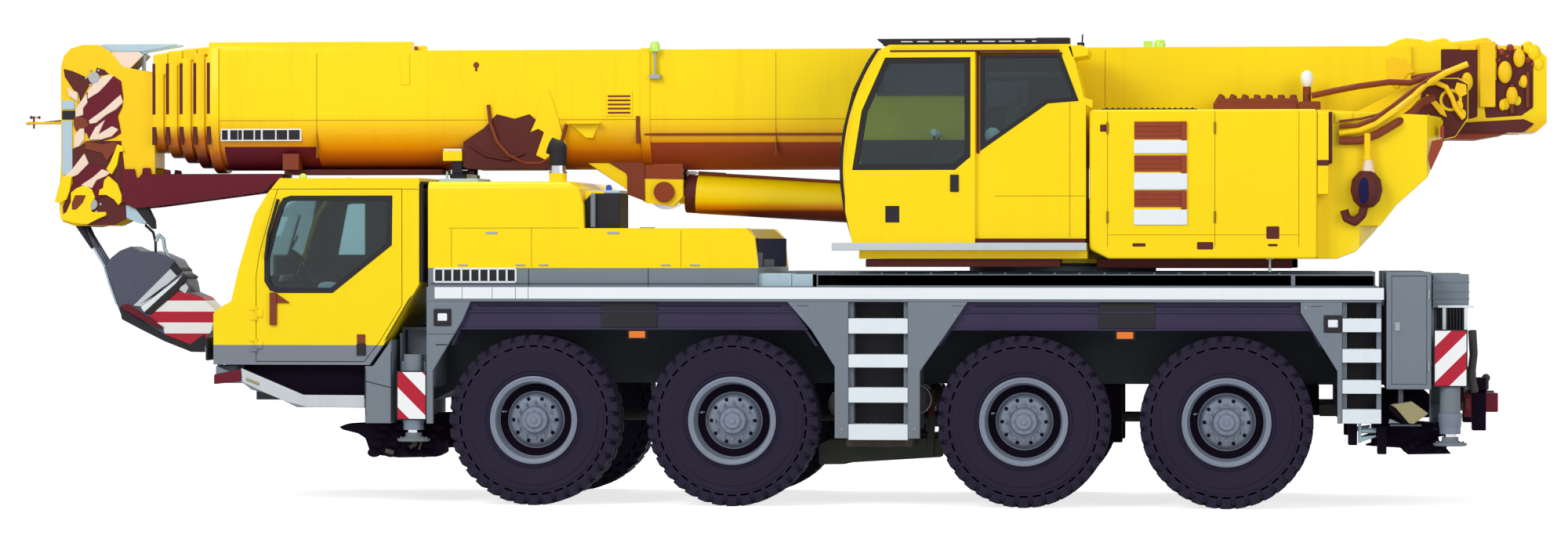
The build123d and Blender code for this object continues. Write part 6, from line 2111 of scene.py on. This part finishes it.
# ---------------------------------------------------------------- boom
@dataclass
class Boom(Assembly):
    """The boom's base and sections with what is fixed to them."""

    body: str = "boom"
    half: float = 0.4
    front: float = -4.915
    step: float = 0.133
    inset: float = 0.045
    proud: float = 0.028
    belly_z: float = 3.28
    top_z: float = 3.9
    # Radii of the thin dark sheets that paint the shade under the belly.
    skin: Pair = (0.396, 0.404)
    foot_shift: Point = (-0.085, 0.0, -0.008)
    marks: Outline = (
        (-4.791, -4.740), (-4.717, -4.652), (-4.645, -4.613), (-4.599, -4.509), (-4.496, -4.444),
        (-4.427, -4.317), (-4.303, -4.209), (-4.195, -4.097),
    )

    def shells(self) -> None:
        """Finishes the base and the sections, with dark strips at the collars that paint each collar's shadow
        along with brown streaks.
        """
        bodies = ("boom", "telescope_1_body", "telescope_2_body", "telescope_3_body", "boom_tip")
        for number, body in enumerate(bodies):
            node = f"boom_section_{number}" if number else "boom_base"
            self.model.rounded(node, Look.SECTION if number else Look.BOOM, 0.01)
            face = -(self.half + self.proud - self.inset * number)
            x = self.front - self.step * number
            top = self.top_z - self.inset * number
            # Dark strips at the collar's front edge paint the shadow the collar casts, along with brown streaks.
            lines = Shape().boxes(
                (x - 0.006, face + 0.004, 3.37, x + 0.022, face - 0.003, 3.82),
                (x - 0.008, face + 0.02, 3.1, x + 0.03, face - 0.003, 3.26),
            )
            lines.both_sides()
            lines.box((x - 0.006, face + 0.08, top), (x + 0.03, -face - 0.08, 3.93 - self.inset * number))
            self.add(lines, f"collar_shadow_lines_{number}", Look.DEEP, 0.003, body=body)
            if number:
                front = 4.24 + 0.0555 * x - 0.0006 * number ** 3
                rear = 4.24 + 0.0555 * (x + 0.13) - 0.0004 * number ** 3
                cap = Shape().plate(((x, top), (x, front), (x + 0.13, rear), (x + 0.13, top)), -0.25, 0.25)
                self.add(cap, f"collar_caps_{number}", Look.SECTION, 0.012, body=body)

    def marks_and_seams(self) -> None:
        """The row of length marks and the welded seam along the boom."""
        frame, squares, seam = Shape(), Shape(), Shape()
        y = -self.half
        frame.box((self.marks[0][0] - 0.012, y - 0.003, 3.13), (self.marks[-1][1] + 0.014, y + 0.04, 3.238))
        for start, end in self.marks:
            squares.box((start, y - 0.006, 3.142), (end, y + 0.04, 3.226))
        seam.boxes(
            (-4.88, y - 0.002, 3.308, 5.44, y + 0.01, 3.312),
            (-3.948, y - 0.0015, 2.98, -3.943, y + 0.06, 3.9), (0.1, y - 0.0015, 3.0, 0.104, y + 0.06, 3.9),
            (2.95, y - 0.0015, 3.0, 2.954, y + 0.06, 3.9),
        )
        self.pair(frame, "boom_mark_frames", Look.WHITE, 0.002)
        self.pair(squares, "boom_marks", Look.BLACK)
        self.pair(seam, "boom_seams", Look.SEAM)

    def belly(self) -> None:
        """Thin dark sheets that paint the shade under the boom's belly at its front and middle, the rails on its
        top, and a dark bar below it that paints the shade under the boom.
        """
        # The maroon front sheet and the brown middle sheet paint the shade under the belly.
        for name, first, start, end, finish in (
            ("boom_front_belly_shade", 30, -4.78, -3.95, Look.MAROON),
            ("boom_middle_belly_shade", 25, -1.07, 0.66, Look.BROWN),
        ):
            turns = [math.radians(first + (180 - 2 * first) * step / 24) for step in range(25)]
            near, far = (
                [(radius * math.cos(turn), self.belly_z - radius * math.sin(turn)) for turn in turns]
                for radius in self.skin
            )
            self.add(Shape().plate(near + far[::-1], start, end, "X"), name, finish, 0.002)
        wedge = Shape().plate(
            ((-4.95, 3.9), (-4.9, 3.952), (-4.3, 3.97), (-3.5, 3.995), (-3.3, 3.99), (-3.3, 3.9)), -0.33,
            -0.26,
        )
        self.pair(wedge, "boom_top_rails", Look.HEAD, 0.012)
        # A dark bar under the boom behind the cab's roof, coloured to paint the shade there.
        rail = Shape().box((-4.28, -0.2, 2.838), (-2.86, 0.2, 2.884))
        self.add(rail, "boom_rail_painted_shade", Look.DEEP, 0.008)

    def fittings(self) -> None:
        """The brackets, lugs, hose and beacon along the boom."""
        y = -self.half
        brown, yellow, pale = Shape(), Shape(), Shape()
        brown.boxes(
            (-4.04, -0.365, 3.9, -3.23, -0.235, 3.94), (-3.35, -0.33, 3.9, -3.18, -0.24, 3.985),
            (-4.26, -0.36, 2.88, -4.115, -0.2, 3.02),
        )
        # A dark plate below the belly paints the shade there; the hose across it is real.
        shade_plate = Shape().plate(
            ((-2.645, 2.9), (-2.645, 3.117), (-2.467, 3.235), (-2.348, 3.36), (-2.19, 3.32), (-2.06, 3.36),
             (-1.99, 3.3), (-1.9, 3.28), (-1.96, 3.03), (-1.88, 2.93), (-1.88, 2.88), (-2.6, 2.88)),
            y - 0.006, -0.27,
        )
        shade_plate.tube(
            [
                (-2.6, y - 0.01, 3.1), (-2.45, y - 0.014, 3.0), (-2.25, y - 0.014, 2.96),
                (-2.1, y - 0.012, 3.02),
            ],
            0.014,
        )
        self.pair(shade_plate, "boom_side_shade_and_hose", Look.DEEP, 0.005)
        brown.plate(
            ((-1.56, 3.02), (-1.41, 2.95), (-1.226, 2.84), (-1.226, 2.66), (-1.07, 2.6), (-1.08, 3.17),
             (-1.49, 3.17)),
            -0.215, -0.19,
        )
        brown.boxes(
            (-1.122, y - 0.012, 3.1, -1.09, y + 0.03, 3.34), (-1.05, y - 0.003, 3.17, 0.75, y + 0.05, 3.19),
        )
        brown.rod((-2.53, y - 0.008, 3.79), (-2.53, y + 0.01, 3.79), 0.026, 20)
        brown.box((-2.54, y - 0.008, 3.735), (-2.52, y + 0.01, 3.78))
        for number in range(5):
            brown.box((-1.37, y - 0.014, 3.36 + number * 0.036), (-1.17, y + 0.01, 3.378 + number * 0.036))
        yellow.boxes(
            (-3.2, y - 0.012, 3.62, -3.117, y + 0.01, 3.9), (-3.535, -0.39, 3.9, -3.107, -0.36, 3.995),
            (-1.72, y - 0.09, 3.27, -1.43, y + 0.01, 3.29),
        )
        yellow.plate(((-1.7, 3.27), (-1.45, 3.27), (-1.5, 3.15), (-1.56, 3.15)), y - 0.012, y + 0.03)
        yellow.box((-1.385, y - 0.01, 3.34), (-1.155, y + 0.005, 3.56))
        yellow.plate(
            ((-1.78, 3.07), (-1.5, 2.885), (-1.06, 2.585), (-0.82, 2.555), (-0.735, 2.64), (-0.735, 2.79),
             (-1.22, 2.8), (-1.24, 2.85), (-1.41, 2.955), (-1.58, 3.02), (-1.75, 3.1)),
            -0.2, -0.12,
        )
        yellow.plate(
            ((-2.05, 3.2), (-2.0, 3.31), (-1.96, 3.48), (-1.89, 3.58), (-1.85, 3.47), (-1.74, 3.1),
             (-1.9, 2.95), (-2.0, 3.0), (-1.93, 3.2), (-1.98, 3.23)),
            y - 0.02, y + 0.1,
        )
        pale.boxes(
            (-1.0, y - 0.06, 3.66, -0.9, y + 0.01, 3.7), (-0.96, y - 0.05, 3.66, -0.94, y - 0.03, 3.92),
        )
        self.pair(brown, "boom_brackets", Look.HOSE, 0.005)
        self.pair(yellow, "boom_lugs", Look.YELLOW, 0.005)
        self.pair(pale, "boom_beacon_posts", Look.STEEL, 0.004)
        route = [
            (-2.42, y - 0.02, 3.44), (-2.4, y - 0.035, 3.28), (-2.34, y - 0.04, 3.12), (-2.24, y - 0.03, 3.0),
            (-2.1, y, 2.93), (-1.96, y, 2.93), (-1.84, y - 0.02, 3.0), (-1.77, y - 0.03, 3.12),
            (-1.73, y - 0.03, 3.27),
        ]
        self.add(Shape().tube(route, 0.016), "boom_pipe_bend", Look.HOSE)
        lamps = Shape().turned(
            ((0.0, 0.09), (0.03, 0.085), (0.045, 0.05), (0.045, 0.0), (0.0, 0.0)), (-0.95, y - 0.04, 3.9),
            "Z", 24,
        )
        self.add(lamps, "boom_beacon", Look.BEACON)

    def foot(self) -> None:
        """The pipes, valves and hoses at the boom's foot."""
        y = -0.36
        dark, yellow, hoses = Shape(), Shape(), Shape()
        # Dark plates and a box inside the foot paint the shade in its recesses.
        dark.plate(
            ((5.9, 3.9), (6.21, 3.9), (6.21, 3.32), (6.06, 3.28), (5.88, 3.38), (5.8, 3.5), (5.9, 3.62)),
            y - 0.01, y + 0.02,
        )
        dark.plate(
            ((6.37, 3.9), (6.62, 3.88), (6.68, 3.8), (6.68, 3.4), (6.58, 3.33), (6.28, 3.31), (6.26, 3.48),
             (6.37, 3.64)),
            y - 0.01, y + 0.02,
        )
        dark.plate(
            ((5.8, 3.2), (6.06, 3.27), (6.6, 3.3), (6.69, 3.26), (6.6, 3.185), (6.0, 3.182)), y - 0.014,
            y + 0.02,
        )
        dark.both_sides().box((5.95, -0.32, 3.3), (6.6, 0.32, 3.93))
        self.add(dark.moved(self.foot_shift), "boom_foot_recess_shade", Look.DEEP, 0.01)
        yellow.boxes((6.225, y - 0.05, 3.4, 6.36, y + 0.01, 3.965), (6.06, y - 0.03, 3.89, 6.2, y, 3.95))
        yellow.plate(
            ((5.44, 3.62), (5.43, 3.81), (5.48, 3.85), (5.6, 3.82), (5.68, 3.7), (5.62, 3.68), (5.53, 3.55)),
            -0.41, -0.36,
        )
        for x, z, size in (
            (6.12, 3.62, 0.05), (6.05, 3.46, 0.035), (6.44, 3.7, 0.06), (6.5, 3.5, 0.05), (6.6, 3.62, 0.035),
            (6.56, 3.82, 0.05), (6.42, 3.42, 0.03),
        ):
            yellow.ball((x, y - 0.03, z), size, (1.0, 0.7, 1.6))
        self.add(yellow.both_sides().moved(self.foot_shift), "boom_foot_valves", Look.HEAD, 0.012)
        hoses.tube(
            [
                (5.95, -0.4, 3.3), (6.0, -0.42, 3.45), (5.97, -0.43, 3.58), (5.86, -0.44, 3.62),
                (5.72, -0.46, 3.58),
            ],
            0.02,
        )
        for x, low, high in ((6.5, 3.35, 3.6), (6.63, 3.4, 3.7), (6.08, 3.35, 3.5)):
            hoses.rod((x, y - 0.03, low), (x, y - 0.03, high), 0.016)
        self.add(hoses.moved(self.foot_shift), "boom_foot_lines", Look.HOSE)
        flap = (
            (5.34, 3.73), (5.44, 3.675), (5.55, 3.66), (5.64, 3.682), (5.78, 3.7), (5.553, 3.53),
            (5.424, 3.552), (5.38, 3.603),
        )
        brown = Shape().plate(flap, y - 0.03, y + 0.002).both_sides()
        brown.plate(((5.85, 3.2), (5.86, 3.125), (6.12, 3.122), (6.33, 3.158), (6.45, 3.2)), -0.33, 0.33)
        self.add(brown, "boom_foot_flaps", Look.BROWN, 0.01)
        crest = (
            (5.3, 3.9), (5.37, 3.935), (5.45, 3.975), (5.526, 3.994), (5.641, 3.98), (5.713, 3.962),
            (5.8, 3.985), (5.857, 3.99), (5.901, 3.957), (6.0, 3.967), (6.073, 3.972), (6.131, 3.985),
            (6.2, 3.995), (6.24, 3.98), (6.25, 3.93), (6.3, 3.9),
        )
        top = Shape()
        for x, z, size in (
            (6.6, 3.86, 0.06), (6.64, 3.76, 0.05), (6.55, 3.9, 0.05), (6.5, 3.6, 0.04), (6.46, 3.45, 0.045),
            (6.36, 3.42, 0.05),
        ):
            top.ball((x, -0.35, z), size, (1.0, 0.7, 1.2))
        self.add(top.both_sides().plate(crest, -0.31, 0.31), "boom_foot_crest", Look.BOOM, 0.02)
        rust = Shape()
        for number in range(14):
            rust.ball(
                (6.28 + 0.024 * number, -0.33 - 0.01 * (number % 3), 3.9 - 0.035 * (number * 3 % 5)), 0.034,
            )
        self.pair(rust, "boom_foot_clamps", Look.BROWN)

    def build(self) -> None:
        """Builds the whole boom."""
        self.shells()
        self.marks_and_seams()
        self.belly()
        self.fittings()
        self.foot()


@dataclass
class Head(Assembly):
    """The boom's head: cheeks, guards, sheaves, webs and the wind gauge."""

    body: str = "boom_tip"
    cheek_y: float = 0.185
    rounding: float = 0.006
    sheaves: tuple[tuple[float, float, float], ...] = ((-5.99, 3.7, 0.23), (-6.01, 2.58, 0.19))

    def layer(self, name: str, finish: Finish, out: float, *outlines: Outline) -> None:
        """Lays flat forms on both cheeks.

        Args:
            name: The piece's name.
            finish: Its finish.
            out: How far it stands out of the cheek.
            *outlines: The forms.
        """
        shape = Shape()
        for outline in outlines:
            shape.plate(outline, -self.cheek_y - out, -self.cheek_y + 0.004)
        self.pair(shape, name, finish, min(self.rounding, out / 2))

    def guards(self) -> None:
        """The worn guards, straps and stripes that cover the cheeks."""
        self.layer(
            "head_dark_plates", Look.DEEP, 0.006,
            ((-6.27, 3.78), (-6.19, 3.76), (-6.12, 3.73), (-6.01, 3.68), (-6.05, 3.61), (-6.12, 3.49),
             (-6.14, 3.57), (-6.18, 3.59), (-6.26, 3.71)),
            ((-5.97, 3.79), (-5.9, 3.77), (-5.86, 3.73), (-5.99, 3.71)),
            ((-6.2, 3.07), (-6.13, 3.09), (-6.06, 3.14), (-5.75, 3.14), (-5.72, 2.9), (-5.7, 2.45),
             (-5.81, 2.392), (-6.04, 2.392), (-6.27, 2.44), (-6.28, 2.56), (-6.19, 2.75), (-6.19, 2.91)),
        )
        self.layer(
            "head_maroon_guards", Look.MAROON, 0.016,
            ((-6.05, 3.58), (-5.98, 3.67), (-5.89, 3.72), (-5.81, 3.71), (-5.75, 3.67), (-5.73, 3.52),
             (-5.74, 3.44), (-5.78, 3.36), (-5.75, 3.21), (-5.81, 3.17), (-5.92, 3.14), (-6.04, 3.15),
             (-6.06, 3.21), (-6.16, 3.24), (-6.18, 3.31), (-6.16, 3.43), (-6.12, 3.49)),
            ((-6.21, 2.7), (-6.17, 2.82), (-6.03, 2.94), (-5.88, 2.91), (-5.82, 2.84), (-5.84, 2.7),
             (-6.0, 2.6), (-6.14, 2.6)),
        )
        self.layer(
            "head_cream_guards", Look.CREAM, 0.024,
            ((-6.05, 3.51), (-6.05, 3.58), (-5.98, 3.67), (-5.89, 3.72), (-5.81, 3.72), (-5.88, 3.64),
             (-5.95, 3.57)),
            ((-6.03, 3.29), (-6.04, 3.32), (-5.9, 3.42), (-5.81, 3.5), (-5.75, 3.55), (-5.73, 3.48),
             (-5.79, 3.42), (-5.88, 3.37), (-5.97, 3.3)),
            ((-6.04, 3.15), (-5.98, 3.26), (-5.89, 3.33), (-5.95, 3.2), (-5.83, 3.27), (-5.77, 3.24),
             (-5.83, 3.18), (-5.93, 3.15)),
            ((-6.17, 3.08), (-6.17, 3.19), (-6.12, 3.25), (-6.08, 3.25), (-6.08, 3.15), (-6.13, 3.09)),
            ((-6.16, 3.35), (-6.16, 3.43), (-6.12, 3.48), (-6.06, 3.56), (-6.05, 3.48), (-6.09, 3.43),
             (-6.09, 3.37)),
            ((-6.24, 3.62), (-6.18, 3.58), (-6.14, 3.57), (-6.14, 3.49), (-6.22, 3.54)),
            ((-6.28, 2.81), (-6.19, 2.89), (-6.08, 3.03), (-6.04, 2.94), (-6.14, 2.84), (-6.19, 2.82)),
            ((-6.11, 2.75), (-6.0, 2.82), (-5.92, 2.89), (-5.84, 2.86), (-5.88, 2.83), (-5.97, 2.79),
             (-6.01, 2.72)),
        )
        self.layer(
            "head_gold_straps", Look.HOSE, 0.02,
            ((-6.07, 3.14), (-5.91, 3.11), (-5.82, 3.13), (-5.78, 3.12), (-5.79, 3.07), (-5.88, 2.96),
             (-5.92, 3.03), (-6.08, 3.07)),
            ((-6.18, 3.29), (-6.17, 3.35), (-6.12, 3.36), (-6.06, 3.33), (-6.04, 3.27), (-6.12, 3.23),
             (-6.16, 3.23)),
        )
        self.layer(
            "head_yellow_guards", Look.YELLOW, 0.032,
            ((-6.345, 2.6), (-6.31, 2.74), (-6.28, 2.81), (-6.24, 2.83), (-6.19, 2.83), (-6.21, 2.7),
             (-6.24, 2.62), (-6.3, 2.59)),
            ((-5.9, 2.79), (-5.86, 2.83), (-5.78, 2.76), (-5.74, 2.66), (-5.74, 2.6), (-5.77, 2.57),
             (-5.81, 2.62), (-5.88, 2.66), (-5.95, 2.66), (-5.94, 2.71), (-5.91, 2.72)),
            ((-6.3, 2.47), (-6.24, 2.51), (-6.2, 2.6), (-6.2, 2.68), (-6.15, 2.72), (-6.08, 2.75),
             (-6.01, 2.71), (-5.98, 2.64), (-6.02, 2.57), (-6.01, 2.51), (-5.88, 2.51), (-5.88, 2.48),
             (-5.95, 2.45), (-6.05, 2.4), (-6.17, 2.41), (-6.28, 2.44)),
            ((-5.78, 3.11), (-5.73, 3.09), (-5.72, 3.05), (-5.76, 3.04), (-5.78, 2.93), (-5.83, 2.84),
             (-5.88, 2.89), (-5.84, 2.96), (-5.81, 3.03)),
        )
        self.layer(
            "head_guard_holes", Look.HOSE, 0.036,
            ((-6.19, 2.59), (-6.16, 2.66), (-6.06, 2.66), (-6.09, 2.59), (-6.15, 2.53), (-6.19, 2.53)),
        )
        self.layer(
            "head_edge_strips", Look.PALE, 0.01, ((-6.285, 3.5), (-6.17, 3.5), (-6.17, 3.42), (-6.285, 3.42)),
            ((-6.285, 3.32), (-6.19, 3.32), (-6.19, 2.84), (-6.285, 2.84)),
        )
        self.layer(
            "head_edge_gaps", Look.BLACK, 0.008,
            ((-6.285, 3.41), (-6.16, 3.41), (-6.16, 3.33), (-6.285, 3.33)),
        )

    def plates(self) -> None:
        """Finishes the cheeks, adds the webs in the dark maroon that paints the shade under the boom, and adds
        the cover over the collars.
        """
        self.model.rounded("boom_head", Look.HEAD, 0.008, slot=Slot.BOOM)
        # The webs under the head take the dark maroon that paints the shade under the boom.
        web = Shape().plate(
            ((-5.56, 2.843), (-4.3, 2.843), (-4.3, 2.81), (-4.38, 2.757), (-4.45, 2.687), (-5.447, 2.557),
             (-5.62, 2.54), (-5.74, 2.6)),
            -0.229, -0.196,
        )
        web.plate(
            ((-5.74, 2.6), (-5.74, 2.89), (-5.62, 2.89), (-5.61, 2.81), (-5.56, 2.82), (-5.55, 2.9),
             (-5.48, 2.9), (-5.47, 2.79), (-5.38, 2.77), (-5.36, 2.89), (-5.3, 2.88), (-5.29, 2.8),
             (-5.0, 2.8), (-5.4, 2.6)),
            -0.214, -0.2,
        )
        web.both_sides().box((-5.56, -0.2, 2.796), (-4.3, 0.2, 2.846))
        self.add(web, "head_webs_painted_shade", Look.MAROON, 0.006)
        cover = Shape().plate(
            ((-5.98, 3.99), (-5.91, 4.0), (-5.26, 4.0), (-5.26, 3.985), (-5.59, 3.93), (-5.87, 3.93)), -0.12,
            -0.1,
        )
        cover.both_sides().boxes((-5.9, -0.1, 3.9, -5.58, 0.1, 3.93), (-5.6, -0.04, 3.7, -5.58, 0.04, 3.92))
        self.add(cover, "head_cover", Look.PALE, 0.006)
        cream = Shape().plate(
            ((-5.85, 3.93), (-5.6, 3.93), (-5.56, 3.9), (-5.72, 3.74), (-5.8, 3.7)), -0.15, -0.13,
        )
        cream.both_sides()
        self.add(cream, "head_cover_sides", Look.CREAM, 0.005)
        arm = Shape().plate(
            ((-5.75, 2.58), (-5.655, 2.567), (-5.588, 2.519), (-5.515, 2.412), (-5.545, 2.4), (-5.624, 2.424),
             (-5.759, 2.48)),
            -0.19, 0.02,
        )
        self.add(arm, "hook_guide", Look.PALE, 0.006)
        black = Shape().plate(
            ((-5.64, 2.56), (-5.515, 2.56), (-5.454, 2.436), (-5.448, 2.358), (-5.478, 2.364),
             (-5.551, 2.448)),
            -0.195, -0.1,
        )
        self.add(black, "hook_guide_strap", Look.BLACK, 0.01)

    def wheels(self) -> None:
        """The grooved sheaves with their ropes, pins and bosses."""
        flanges, ropes, pins = Shape(), Shape(), Shape()
        for x, z, radius in self.sheaves:
            for y in ROPES_Y:
                profile = (
                    (0.05, -0.03), (radius - 0.03, -0.03), (radius + 0.012, -0.036), (radius + 0.012, -0.028),
                    (radius - 0.01, -0.012), (radius - 0.01, 0.012), (radius + 0.012, 0.028),
                    (radius + 0.012, 0.036), (radius - 0.03, 0.03), (0.05, 0.03),
                )
                flanges.turned(profile, (x, y, z), "Y", 40)
                ropes.turned(hoop(radius + 0.002, 0.011, 6), (x, y, z), "Y", 40)
            pins.rod((x, -self.cheek_y - 0.026, z), (x, self.cheek_y + 0.026, z), 0.05, 24)
            for number in range(6):
                turn = math.tau * number / 6
                pins.rod(
                    (x + 0.075 * math.cos(turn), -self.cheek_y - 0.014, z + 0.075 * math.sin(turn)),
                    (x + 0.075 * math.cos(turn), self.cheek_y + 0.014, z + 0.075 * math.sin(turn)), 0.011, 6,
                )
        for y in ROPES_Y:
            ropes.rod((-6.222, y, 3.7), (-6.202, y, 2.58), 0.012, 8)
        self.add(flanges, "head_sheaves", Look.DARK, slot=Slot.CAST)
        self.add(ropes, "head_ropes", Look.CAST)
        self.add(pins, "head_pins", Look.STEEL)

    def gauge(self) -> None:
        """The wind gauge's cups on their post at the end of its bar."""
        x = self.model.front_x + 0.012
        cups = Shape().rod((x + 0.06, 0.17, 3.26), (x + 0.06, 0.17, 3.37), 0.009)
        cups.rod((x, 0.17, 3.3), (x + 0.35, 0.17, 3.335), 0.007)
        for turn in (20, 140, 260):
            a = math.radians(turn)
            cups.rod(
                (x + 0.06, 0.17, 3.36), (x + 0.06 + 0.045 * math.cos(a), 0.17 + 0.06 * math.sin(a), 3.36),
                0.004, 8,
            )
            cups.ball((x + 0.06 + 0.045 * math.cos(a), 0.17 + 0.06 * math.sin(a), 3.36), 0.014)
        self.add(cups, "wind_gauge", Look.HOSE)

    def build(self) -> None:
        """Builds the whole head."""
        self.plates()
        self.guards()
        self.wheels()
        self.gauge()


@dataclass
class HookBlock(Assembly):
    """The hook block and the ropes that it hangs on."""

    body: str = "hook"
    half: float = 0.19

    def layer(
        self, name: str, finish: Finish, out: float, *outlines: Outline, slot: Slot | None = None
    ) -> None:
        """Lays flat forms through the block, standing out on both sides.

        Args:
            name: The piece's name.
            finish: Its finish.
            out: How far it stands out of the block's sides.
            *outlines: The forms.
            slot: The record's material slot, or none for the finish's own; not used.
        """
        shape = Shape()
        for outline in outlines:
            shape.plate(outline, -self.half - out, self.half + out)
        self.add(shape, name, finish, 0.006, slot=slot)

    def build(self) -> None:
        """Finishes the block and adds its bands, stripes and ropes."""
        self.model.rounded("hook_block", Look.HOOK, 0.02)
        self.layer(
            "hook_stripes", Look.HOOK_STRIPES, 0.006,
            ((-5.255, 1.812), (-5.138, 1.79), (-5.018, 1.757), (-4.895, 1.63), (-4.905, 1.577),
             (-4.935, 1.457), (-5.0, 1.36), (-5.126, 1.334), (-5.357, 1.42), (-5.369, 1.48), (-5.509, 1.6),
             (-5.442, 1.636), (-5.345, 1.725)),
        )
        self.layer(
            "hook_grey_band", Look.SILVER, 0.012,
            ((-5.643, 1.677), (-5.302, 2.01), (-5.241, 1.945), (-5.564, 1.673)),
            ((-5.241, 1.833), (-5.162, 1.88), (-5.138, 1.839), (-5.168, 1.785)), slot=Slot.HOOK,
        )
        self.layer(
            "hook_white_band", Look.WHITE, 0.016,
            ((-5.572, 1.668), (-5.19, 1.955), (-5.25, 1.88), (-5.54, 1.62)),
        )
        self.layer(
            "hook_trim", Look.BLACK, 0.02, ((-5.272, 2.07), (-5.198, 1.99), (-5.25, 1.95), (-5.31, 2.015)),
            ((-5.186, 1.962), (-5.145, 1.934), (-5.235, 1.812), (-5.357, 1.705), (-5.479, 1.604),
             (-5.536, 1.617), (-5.381, 1.767), (-5.259, 1.863)),
            ((-5.58, 1.69), (-5.34, 1.868), (-5.43, 1.78)),
            ((-5.76, 1.672), (-5.613, 1.578), (-5.357, 1.422), (-5.126, 1.336), (-5.0, 1.43), (-4.968, 1.302),
             (-4.998, 1.27), (-5.114, 1.272), (-5.357, 1.366), (-5.564, 1.468), (-5.742, 1.56)),
        )
        self.layer(
            "hook_bars", Look.MAROON, 0.028,
            ((-5.747, 1.683), (-5.686, 1.695), (-5.527, 1.594), (-5.357, 1.486), (-5.418, 1.486),
             (-5.613, 1.583), (-5.735, 1.655)),
        )
        ropes = Shape()
        for side in (-0.1, 0.1):
            ropes.rod((-6.155, side, 2.41), (-6.03, side, 2.19), 0.04, 10, 0.016)
        ropes.tube(
            [(-4.99, -0.12, 1.33), (-4.92, -0.13, 1.25), (-4.87, -0.14, 1.17), (-4.85, -0.14, 1.08)], 0.028,
        )
        ropes.tube(
            [(-5.55, -0.12, 2.395), (-5.478, -0.12, 2.33), (-5.457, -0.12, 2.245), (-5.455, -0.12, 2.14)],
            0.012,
        )
        self.add(ropes, "hook_ropes", Look.BLACK, slot=Slot.CAST)
        pale = Shape()
        for side in ROPES_Y:
            pale.rod((-6.02, side, 2.19), (-5.905, side, 2.0), 0.012, 8)
        pale.tube([(-5.9, -0.19, 2.01), (-5.85, -0.2, 1.86), (-5.79, -0.2, 1.69)], 0.009)
        pale.tube(
            [(-5.43, -0.12, 2.31), (-5.385, -0.12, 2.27), (-5.375, -0.12, 2.19), (-5.325, -0.12, 2.08)],
            0.016,
        )
        pale.rod((-5.45, -0.12, 2.25), (-5.43, -0.12, 2.31), 0.016, 8)
        self.add(pale, "hook_thin_ropes", Look.PALE, slot=Slot.STEEL)


# ---------------------------------------------------------------- the crane
def main() -> None:
    """Builds the stage and every sub-assembly in order."""
    logging.basicConfig(level=logging.INFO, format="%(message)s")
    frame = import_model()
    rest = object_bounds()
    Studio().build()
    model = Model(frame["nodes"], rest[0][0])
    for name in model.nodes:
        model.finish(name, Look.YELLOW)
    Wheels(model).build()
    Carrier(model).build()
    Outriggers(model).build()
    DriverCab(model).build()
    EngineHood(model).build()
    Superstructure(model).build()
    OperatorCab(model).build()
    LuffingCylinder(model).build()
    Boom(model).build()
    Head(model).build()
    HookBlock(model).build()


if __name__ == "__main__":
    main()
